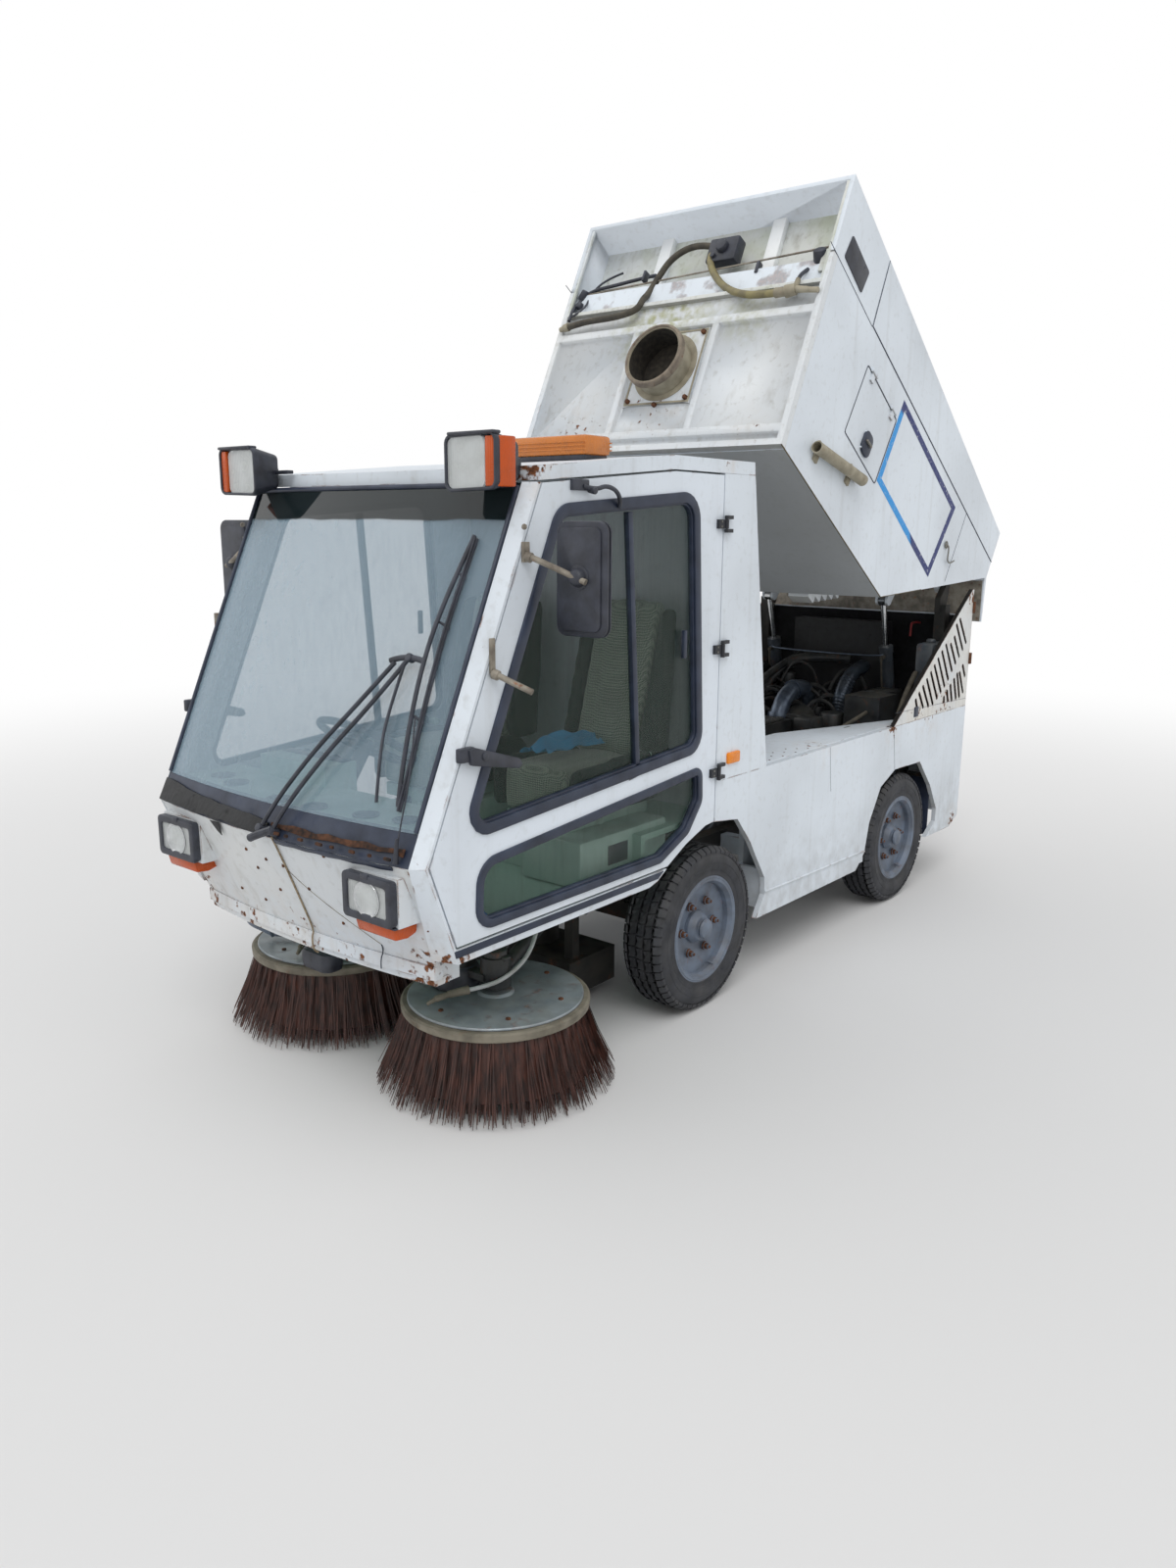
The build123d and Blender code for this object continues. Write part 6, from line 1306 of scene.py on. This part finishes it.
    def hoses(self):
        """Hoses, clips, valves and bracket in the recess under the hood."""
        black = [(-600, 524, 15), (-560, 519, 15), (-494, 508, 15), (-337, 509, 16), (-222, 487, 17),
                 (-221, 430, 6), (-236, 376, -36), (-208, 284, -42), (-179, 212, -46), (-112, 161, -52),
                 (-30, 152, -58), (30, 166, -66)]
        keep(run(black, 14, 4, spot=face), "recess_black_hose", "hopper", "hose")
        olive = [(52, 158, -60), (34, 205, -50), (44, 262, -42), (106, 344, -36), (190, 420, -14),
                 (290, 478, 16), (380, 498, 18), (470, 498, 17)]
        keep(run(olive, 15, 4, spot=face), "recess_olive_hose", "hopper", "olive_hose")
        thin = [(-612, 492, 13), (-628, 430, -4), (-634, 372, -34), (-589, 306, -44), (-456, 292, -50),
                (-337, 265, -66), (-299, 218, -118)]
        tee = [(548, 446, 10), (534, 410, -8), (548, 372, -34)]
        loose = [(-600, 470, 12), (-560, 420, -10), (-590, 350, -46), (-560, 250, -60), (-470, 200, -90)]
        dark = [run(thin, 8, spot=face), run(tee, 8, spot=face),
                run(loose, 5, spot=face), self.strip(150, 262, -96, -34, 22, 168, 9.0),
                drum((98, 200, -36), (98, 200, -10), 30, 24, sides=26, edge=6, spot=face),
                drum((60, 236, -36), (60, 236, -22), 12, sides=6, edge=2, spot=face),
                drum((584, 338, -64), (590, 304, -12), 31, 26, sides=26, edge=7, spot=face),
                drum((-628, 350, -44), (-606, 312, -30), 22, 18, sides=22, edge=6, spot=face),
                drum((-618, 404, -26), (-612, 376, -26), 18, 16, sides=20, edge=5, spot=face),
                self.strip(300, 352, -58, -28, 296, 310, 2.0),
                self.strip(250, 300, -66, -34, -300, -288, 2.0)]
        keep(dark, "recess_brackets", "hopper", "plastic")
        fittings = [(-600, 524, 15, -628, 528, 14, 19, 16), (-626, 528, 14, -650, 532, 12, 11, 11),
                    (462, 498, 17, 512, 498, 16, 20, 17), (508, 498, 16, 552, 492, 15, 25, 22),
                    (548, 492, 15, 606, 500, 14, 14, 12), (600, 500, 14, 652, 506, 12, 11, 11),
                    (546, 492, 15, 548, 444, 12, 12, 10)]
        keep([drum((a, b, c), (d, e, f), r, q, sides=22, edge=2, spot=face)
              for a, b, c, d, e, f, r, q in fittings], "recess_valves", "hopper", "ring")


class SWEEPER_OT_cab(bpy.types.Operator):
    """Seats, cloth, dashboard vents, console, pedals and trim behind the glass"""
    bl_idname = "sweeper.cab"
    bl_label = "Cab inside"

    def execute(self, context):
        for side, label in SIDES:
            self.seat(side, label)
        self.dash()
        self.cloth()
        return {"FINISHED"}

    def cushion(self, x0, x1, outline, crown, name, finish):
        """Stuffed form: an outline in side view, filled across and crowned by subdivision."""
        obj = plate([(x0, y, z) for y, z in outline], ((x1 - x0) / 1000, 0, 0))
        edit_all()
        bpy.ops.mesh.bevel(offset=0.018, segments=2, affect="EDGES")
        bpy.ops.mesh.select_all(action="SELECT")
        bpy.ops.mesh.quads_convert_to_tris()
        leave()
        apply(obj, "REMESH", mode="VOXEL", voxel_size=0.022)
        lo = Vector([min(v.co[k] for v in obj.data.vertices) for k in range(3)])
        hi = Vector([max(v.co[k] for v in obj.data.vertices) for k in range(3)])
        mid = (lo + hi) / 2
        for v in obj.data.vertices:
            u = (v.co.x - mid.x) / (hi.x - lo.x) * 2
            push = crown / 1000 * (1 - u * u)
            # Two grooves run along it, about half way out.
            groove = sum(math.exp(-((u - g) / 0.06) ** 2) for g in (-0.52, 0.52)) * crown / 1600
            v.co += v.normal * (push - groove)
        apply(obj, "SMOOTH", iterations=2)
        apply(obj, "SUBSURF", levels=1, render_levels=1)
        keep(obj, name, "root", finish, smooth=80)

    def seat(self, side, label):
        """Cushion and backrest with darker bolsters and an armrest, on the steel box."""
        x = side * 330
        base = [(-1236, 850), (-1232, 1014), (-1010, 1016), (-790, 1004), (-740, 950), (-760, 842)]
        self.cushion(x - 150, x + 150, base, 12, f"{label}_seat_cushion", "cloth")
        back = [(-820, 985), (-842, 1040), (-760, 1340), (-706, 1560), (-640, 1566), (-662, 1340),
                (-690, 985)]
        self.cushion(x - 150, x + 150, back, 12, f"{label}_seat_back", "cloth")
        for out, tag in ((1, "outer"), (-1, "inner")):
            a, b = sorted((x + out * side * 152, x + out * side * 206))
            self.cushion(a, b, [(-1240, 854), (-1234, 1030), (-1010, 1032), (-790, 1016), (-740, 956),
                                (-760, 846)], 6,
                         f"{label}_seat_{tag}_bolster", "bolster")
            self.cushion(a, b, [(-832, 1000), (-852, 1050), (-772, 1340), (-720, 1540), (-650, 1550),
                                (-664, 1340), (-692, 1000)], 6, f"{label}_back_{tag}_bolster", "bolster")
        a, b = sorted((side * 548, side * 606))
        self.cushion(a, b, [(-1262, 1010), (-1262, 1050), (-900, 1064), (-880, 1040), (-900, 1014)], 5,
                     f"{label}_armrest", "bolster")
        parts = [slab(x - 150, x + 150, -1215, -760, 790, 842, edge=6),
                 drum((side * 577, -884, 1036), (side * 530, -884, 1036), 15, sides=18, edge=3),
                 slab(side * 118, side * 298, -1216, -834, 630.3, 790, edge=6)]
        keep(parts, f"seat_boxes_{label}", "root", "mint", replaces=["seats"] if side > 0 else ())

    def dash(self):
        """Round vents, instrument face, levers, console box with a bare plate, and a blue cap."""
        top = 988.0
        vents = []
        for x, y in ((-470, -1950), (-340, -1985), (-40, -2030), (130, -2022), (330, -1985), (470, -1950)):
            vents.append(lathe([(2, 0), (34, 0), (40, 2), (42, 7), (34, 9), (30, 5), (2, 5)], at(x, y, top),
                               (0, 0, 1), 32))
            vents += [slab(x - 28 + 12 * k, x - 22 + 12 * k, y - 22, y + 22, top + 3, top + 9, edge=1)
                      for k in range(5)]
        keep(vents, "dash_vents", "root", "plastic")
        panel = slab(-410, -70, -1752, -1698, 1010, 1062, edge=8)
        dials = [lathe([(0.5, 0), (30, 0), (33, 4), (28, 7), (0.5, 4)], at(x, -1699, 1034), (0, 1, 0.1), 28)
                 for x in (-330, -250, -165)]
        keep([panel, *dials], "instrument_face", "root", "plastic")
        keep(slab(325, 600, -1300, -800, 632, 800, edge=14), "side_locker", "root", "mint")
        keep(slab(599, 603, -1150, -1040, 690, 760, edge=1), "locker_bare_plate", "root", "plastic")
        catch = drum((470, -1050, 800), (470, -1050, 822), 26, 18, sides=26, edge=4)
        keep(catch, "locker_knob", "root", "mint")
        cap = lathe([(0.5, 0), (26, 0), (28, 4), (28, 44), (22, 52), (0.5, 54)], at(600, -1790, 640),
                    (0, 0, 1), 26)
        grips = [drum((600 + 28 * math.cos(a), -1790 + 28 * math.sin(a), 644),
                      (600 + 28 * math.cos(a), -1790 + 28 * math.sin(a), 684), 3, sides=8)
                 for a in (k * math.pi / 8 for k in range(16))]
        keep([cap, *grips], "blue_filler_cap", "root", "blue_cap")
        levers = [run([(-60, -1500, 640), (-60, -1500, 760), (-50, -1490, 860)], 8),
                  drum((-50, -1490, 860), (-48, -1488, 900), 20, 17, sides=24, edge=7)]
        for x in (-300, -200, -130):
            levers += [run([(x, -1780, 645), (x, -1740, 700), (x, -1700, 730)], 6, 2),
                       slab(x - 24, x + 24, -1706, -1692, 715, 765, edge=4)]
        keep(levers, "driving_controls", "root", "plastic")

    def cloth(self):
        """Blue cloth thrown on the left seat."""
        fresh()
        bpy.ops.mesh.primitive_grid_add(x_subdivisions=34, y_subdivisions=26, size=1)
        obj = bpy.context.object
        random.seed(5)
        phase = [random.uniform(0, 6.28) for _ in range(6)]
        for v in obj.data.vertices:
            u, w = v.co.x, v.co.y
            x = 300 + 118 * w * (1 - 0.3 * math.cos(3 * u))
            y = -970 + 470 * u + 16 * math.sin(9 * w + phase[0])
            fold = 11 * math.sin(16 * w + 3 * math.sin(5 * u + phase[1]) + phase[2])
            fold += 7 * math.sin(13 * u + 7 * w + phase[3]) + 4 * math.sin(27 * u + phase[4])
            z = 1056 + 52 * math.exp(-((u + 0.18) ** 2 + w * w) * 9) + max(-9, 1.2 * fold)
            v.co = at(x, y, z)
        apply(obj, "SOLIDIFY", thickness=0.0014)
        apply(obj, "SUBSURF", levels=1, render_levels=1)
        keep(obj, "blue_work_cloth", "root", "blue_cloth", smooth=80)


class SWEEPER_OT_engine_bay(bpy.types.Operator):
    """Pipes, hoses, tank and clutter of the open engine bay, and the lift cylinders' fittings"""
    bl_idname = "sweeper.engine_bay"
    bl_label = "Engine bay"

    def execute(self, context):
        silver = [run([(0, 1030, 850), (0, 1062, 930), (0, 1140, 990), (0, 1250, 1005), (0, 1325, 985),
                       (0, 1368, 910), (0, 1372, 800)], 46, 6),
                  run([(400, 40, 800), (410, 90, 846), (400, 180, 856), (330, 300, 850), (250, 400, 830)], 24,
                      5)]
        rings = [lathe([(46, -12), (53, -12), (54, 0), (53, 12), (46, 12)], at(0, y, z), axis, 30)
                 for y, z, axis in ((1190, 998, (0, 1, 0.1)), (1040, 878, (0, 0.3, 1)),
                                    (1371, 890, (0, 0, 1)))]
        grey = [run([(200, 1318, 850), (200, 1330, 940), (200, 1385, 1025), (200, 1470, 1082),
                     (200, 1600, 1104)], 38, 6)]
        for n in range(14):
            t = n / 13
            grey.append(lathe([(37, -6), (43, 0), (37, 6)], at(200, 1322 + 90 * t ** 2, 860 + 180 * t),
                              (0, 0.1 + t, 1), 26))
        keep(silver + rings, "charge_elbow", "root", "cylinder_grey")
        keep(grey, "intake_pipes", "root", "pipe_grey")
        random.seed(3)
        dark = [slab(-140, 120, 420, 900, 884, 898, edge=6),
                drum((60, 340, 700), (60, 300, 700), 120, 118, sides=36, edge=6),
                drum((60, 300, 700), (60, 276, 700), 60, 56, sides=30, edge=5),
                drum((-300, 240, 780), (-300, 760, 780), 100, 100, sides=32, edge=16),
                drum((390, 600, 815), (390, 730, 815), 62, 58, sides=30, edge=10),
                slab(150, 260, 930, 1060, 700, 900, edge=12),
                slab(230, 420, 120, 300, 700, 830, edge=14),
                drum((60, 1050, 800), (60, 1210, 860), 86, 80, sides=32, edge=14),
                drum((240, 1180, 760), (240, 1180, 905), 70, 64, sides=30, edge=12),
                slab(-330, -150, 1060, 1300, 760, 960, edge=18),
                slab(290, 430, 1440, 1620, 760, 1000, edge=16),
                run([(-260, 1330, 960), (-250, 1420, 1060), (-120, 1560, 1150), (100, 1640, 1130)], 30, 5),
                run([(-160, 970, 880), (-190, 1100, 960), (-220, 1300, 1070), (-190, 1610, 1140)], 20, 5)]
        for n in range(9):
            dark.append(drum((100, 440 + n * 55, 884), (100, 440 + n * 55, 903), 13, 12, sides=6, edge=2))
        for n in range(16):
            y, x, z = 60 + n * 58, 455 + random.uniform(-50, 40), 838 + random.uniform(-30, 26)
            dark.append(run([(x - 130, y, 790), (x - 40, y + 40, z), (x, y + 90, z - 20),
                             (x - 50, y + 150, 790)],
                            random.uniform(6, 15)))
            dark.append(drum((x - 70, y, z - 60), (x - 70 + random.uniform(-20, 20), y + 30, z),
                             14 + n % 3 * 7, 12 + n % 3 * 6, sides=14, edge=3))
        keep(dark, "engine_clutter", "root", "castings")
        loom = [run([(515, 640 + 30 * n, 885 + 3 * n), (505, 760 + 20 * n, 904 - 4 * n),
                     (515, 900, 898 + 2 * n), (505, 1020 + 10 * n, 890)], 7) for n in range(4)]
        keep(loom, "wiring_loom", "root", "hose")
        red = run([(400, 1722, 1270), (400, 1724, 1325), (400, 1732, 1340), (400, 1780, 1341),
                   (400, 1838, 1336)], 6)
        keep(red, "red_pipe", "root", "red_pipe")
        tank = [slab(545, 640, 1460, 1650, 1000, 1262, edge=18),
                drum((590, 1550, 1262), (590, 1550, 1280), 26, 22, sides=24, edge=5)]
        keep(tank, "header_tank", "root", "cylinder")
        stays = [run([(420, 940, 880), (470, 1100, 935), (440, 1300, 960)], 10),
                 run([(600, 1180, 930), (590, 1300, 1060), (560, 1450, 1110)], 13)]
        keep(stays, "bay_stays", "root", "hose")
        tangle = []
        for n in range(22):
            x, y = random.uniform(-310, 100), random.uniform(1010, 1560)
            z = min(870 + 0.6 * (y - 960) * random.uniform(0.2, 1.0), 1190)
            tangle.append(run([(x, y - 40, z - 120), (x + 20, y, z - 30), (x + 70, y + 40, z),
                               (x + 150, y + 60, z - 50), (x + 170, y + 70, z - 140)], random.uniform(7, 15)))
            tangle.append(drum((x, y + 20, z - 150), (x + 10, y + 24, z - 70), 26 + n % 4 * 9, 22 + n % 4 * 8,
                               sides=18, edge=4))
        keep(tangle, "engine_tangle", "root", "castings")
        for side, label in SIDES:
            shelf = [at(side * x, y, 903) for x, y in ((646, -186), (646, 1150), (583, 1150), (330, 433),
                                                       (330, -186))]
            keep(plate(shelf, (0, 0, 0.004), 0.8), f"{label}_bay_shelf", "root", "flanks")
        # Black sheets behind the engine doors' slots and inside the rear panel stand in for the engine bay's
        # shade: a painted shade.
        screen = [slab(-650, 650, 1836, 1842, 752, 1386)]
        for side, _ in SIDES:
            screen.append(plate([(side * 652, y, z) for y, z in ((985, 914), (1838, 914), (1838, 1475))],
                                (side * 0.003, 0, 0)))
        keep(screen, "bay_shade_sheets", "root", "liner")
        for side, label in SIDES:
            unit = self.along(side)
            hose = run([unit(470, 46), unit(440, 70), unit(260, 72), unit(90, 60), unit(60, 44)], 8)
            ports = [drum(unit(640, 30), unit(640, 60), 12, sides=18, edge=2),
                     drum(unit(75, 28), unit(75, 58), 12, sides=18, edge=2),
                     run([unit(640, 56), unit(600, 74), unit(330, 74), unit(110, 64)], 6)]
            keep([hose, *ports], f"{label}_cylinder_pipes", "barrels", "hose")
        left, right = self.along(1), self.along(-1)
        keep(run([left(652, 34), left(652, 66), right(652, 66), right(652, 34)], 4.4), "cylinder_cross_pipe",
             "barrels", "cylinder_grey")
        return {"FINISHED"}

    def along(self, side):
        """Point beside a lift barrel: so far up it from its foot, and so far behind its middle line."""
        low, high = Vector((1735.0, 560.0)), Vector((1490.0, 1470.0))
        unit = (high - low).normalized()
        behind = Vector((-unit.y, unit.x))
        if behind.x > 0:
            behind = -behind

        def spot(up, off):
            p = low + unit * up + behind * off
            return at(side * 340, p.x, p.y)
        return spot


class SWEEPER_OT_rear(bpy.types.Operator):
    """Bare number plate, bumper trim, mud flaps, the lip's rusty face and ribs under the hopper"""
    bl_idname = "sweeper.rear"
    bl_label = "Rear and underside"

    def execute(self, context):
        keep(slab(-260, 260, 1868, 1872, 600, 712), "rear_bare_plate", "root", "marker")
        keep(slab(-600, 600, 1908, 1922, 326, 354, edge=5), "bumper_strip", "root", "rubber")
        for side, label in SIDES:
            flap = plate([(side * 500, 1500, 560), (side * 660, 1500, 560), (side * 655, 1512, 250),
                          (side * 505, 1512, 250)], (0, 0.006, 0), edge=1.5)
            keep(flap, f"{label}_mud_flap", "root", "rubber")
            latch = [slab(side * 676, side * 690, 1856, 1872, z, z + 60, edge=3) for z in (1130, 1400)]
            keep(latch, f"{label}_engine_door_hinges", "root", "rust")
            pad = slab(side * 676, side * 683, 1190, 1235, 925, 975)
            keep(pad, f"{label}_engine_door_catch", "root", "rubber")
            seams = [run([(side * 678.2, *a), (side * 678.2, *b)], 0.8, 1, 2) for a, b in (
                ((963, 912), (1019, 620)), ((316, 902), (343, 700)), ((963, 972), (1860, 946)))]
            keep(seams, f"{label}_side_seams", "root", "rubber")
            studs = [drum((side * u, v, 904), (side * u, v, 908.5), 5, 4, sides=12, edge=1)
                     for u, v in ((560 + 34 * (n % 3), -190 + n * 36) for n in range(12))]
            keep(studs, f"{label}_ledge_screws", "root", "rust")
            bead = run([(side * 679, y, z) for y, z in ((-200, 372), (100, 360), (400, 352), (690, 346),
                                                        (720, 340))], 5, 2)
            keep(bead, f"{label}_sill_crease", "root", "flanks")
        # Folded ribs across the sloping floor show as a row of pleats at its edge.
        ribs = []
        for n in range(5):
            y0 = 955 + n * 52
            z0 = 925 + (1672 - 925) * (y0 - 935) / (1997 - 935)
            ribs.append(plate([(180, y0, z0 - 1), (180, y0 + 62, z0 + 42), (180, y0 + 70, z0 - 6),
                               (180, y0 + 64, z0 - 16), (180, y0 + 8, z0 - 14)], (0.11, 0, 0), edge=2,
                              spot=tip))
        keep(ribs, "floor_pleats", "hopper", "hopper_face")
        # The worn skin lies on the lip, which hangs straight down while the hopper is tipped.
        lip_y, lip_z = 1996.0, 1674.0
        c, s = math.cos(TIPPED), math.sin(TIPPED)
        corners = [(lip_y + s * down + c * out, lip_z - c * down + s * out)
                   for down, out in ((20, -2.5), (238, -2.5), (238, -0.2), (20, -0.2))]
        skin = plate([(-650, y, z) for y, z in corners], (1.30, 0, 0), spot=tip)
        keep(skin, "lip_worn_face", "hopper", "worn_steel")
        return {"FINISHED"}


class SWEEPER_OT_stage(bpy.types.Operator):
    """Pale floor, soft light and the photograph's camera"""
    bl_idname = "sweeper.stage"
    bl_label = "Stage"

    def execute(self, context):
        scene = context.scene
        scene.view_settings.view_transform = "Standard"
        fresh()
        bpy.ops.mesh.primitive_circle_add(vertices=96, radius=40, fill_type="NGON", location=(0, 0, 0))
        floor = bpy.context.object
        floor.name = "studio_floor"
        mat, tree, shader, where = start("Studio paper")
        shader.inputs["Base Color"].default_value = linear("#DDDDDD")
        shader.inputs["Roughness"].default_value = 0.9
        # To the camera, the floor fades to white away from the machine.
        away = add(tree, "VectorMath", {0: where}, out="Value", operation="LENGTH")
        far = add(tree, "MapRange", {"Value": away, "From Min": 3.2, "From Max": 10.0},
                  interpolation_type="SMOOTHSTEP")
        seen = add(tree, "LightPath", out="Is Camera Ray")
        mask = add(tree, "Math", {0: far, 1: seen}, operation="MULTIPLY", use_clamp=True)
        glow = add(tree, "Emission", {"Color": (1, 1, 1, 1), "Strength": 1.0})
        mixed = add(tree, "MixShader", {0: mask, 1: shader.outputs[0], 2: glow})
        tree.links.new(mixed, tree.nodes["Material Output"].inputs["Surface"])
        floor.data.materials.append(mat)
        # The sky gives a little less light than the white that is seen, also through glass.
        world = bpy.data.worlds.new("Studio")
        scene.world = world
        world.use_nodes = True
        tree = world.node_tree
        sky = tree.nodes["Background"]
        seen = add(tree, "Math", {0: add(tree, "LightPath", out="Is Camera Ray"),
                                  1: add(tree, "LightPath", out="Is Transmission Ray")}, operation="MAXIMUM",
                   use_clamp=True)
        strength = add(tree, "MapRange", {"Value": seen, "To Min": 0.74, "To Max": 1.0})
        tree.links.new(strength, sky.inputs["Strength"])
        sky.inputs["Color"].default_value = (1, 1, 1, 1)
        for name, energy, angle, turn in (("Key", 1.0, 35, (0.62, 0.10, 0.55)),
                                          ("Fill", 0.35, 60, (0.9, -0.3, -0.9))):
            light = bpy.data.lights.new(name, "SUN")
            light.energy, light.angle = energy, math.radians(angle)
            lamp = bpy.data.objects.new(name, light)
            lamp.rotation_euler = turn
            scene.collection.objects.link(lamp)
        camera = bpy.data.cameras.new("Camera")
        film, focal_px, high_px = 36.0, 1151.52, 1600
        camera.sensor_fit, camera.sensor_height, camera.sensor_width = "VERTICAL", film, film
        camera.lens = film * focal_px / high_px
        holder = bpy.data.objects.new("Camera", camera)
        scene.collection.objects.link(holder)
        eye, yaw, pitch, roll = (2.9237, -4.1338, 1.8440), 0.6848, 0.2256, 0.0058
        ahead = Vector((-math.sin(yaw) * math.cos(pitch), math.cos(yaw) * math.cos(pitch), -math.sin(pitch)))
        right = Vector((math.cos(yaw), math.sin(yaw), 0))
        up = right.cross(ahead)
        c, s = math.cos(roll), math.sin(roll)
        right, up = right * c + up * s, up * c - right * s
        turn = Matrix((right, up, -ahead)).transposed().to_4x4()
        holder.matrix_world = Matrix.Translation(eye) @ turn
        scene.camera = holder
        return {"FINISHED"}


class SWEEPER_PT_panel(bpy.types.Panel):
    """Sidebar panel with the sweeper's sizes, colours and the steps that build its pieces"""
    bl_label = "Compact road sweeper"
    bl_idname = "SWEEPER_PT_panel"
    bl_space_type = "VIEW_3D"
    bl_region_type = "UI"
    bl_category = "Sweeper"

    def draw(self, context):
        for settings in (context.scene.sweeper_sizes, context.scene.sweeper_colours):
            for name in settings.__annotations__:
                self.layout.prop(settings, name)
        for operator in OPERATORS:
            self.layout.operator(operator.bl_idname)


OPERATORS = (SWEEPER_OT_finishes, SWEEPER_OT_stage, SWEEPER_OT_doors, SWEEPER_OT_mirrors, SWEEPER_OT_lamps,
             SWEEPER_OT_front, SWEEPER_OT_wheels, SWEEPER_OT_brushes, SWEEPER_OT_hopper, SWEEPER_OT_cab,
             SWEEPER_OT_engine_bay, SWEEPER_OT_rear)
CLASSES = (SweeperSizes, SweeperColours, *OPERATORS, SWEEPER_PT_panel)


def register():
    for cls in CLASSES:
        bpy.utils.register_class(cls)
    bpy.types.Scene.sweeper_sizes = bpy.props.PointerProperty(type=SweeperSizes)
    bpy.types.Scene.sweeper_colours = bpy.props.PointerProperty(type=SweeperColours)


def unregister():
    del bpy.types.Scene.sweeper_colours
    del bpy.types.Scene.sweeper_sizes
    for cls in reversed(CLASSES):
        bpy.utils.unregister_class(cls)


def main():
    """Builds everything."""
    register()
    for operator in OPERATORS:
        group, name = operator.bl_idname.split(".")
        getattr(getattr(bpy.ops, group), name)()


if __name__ == "__main__":
    main()
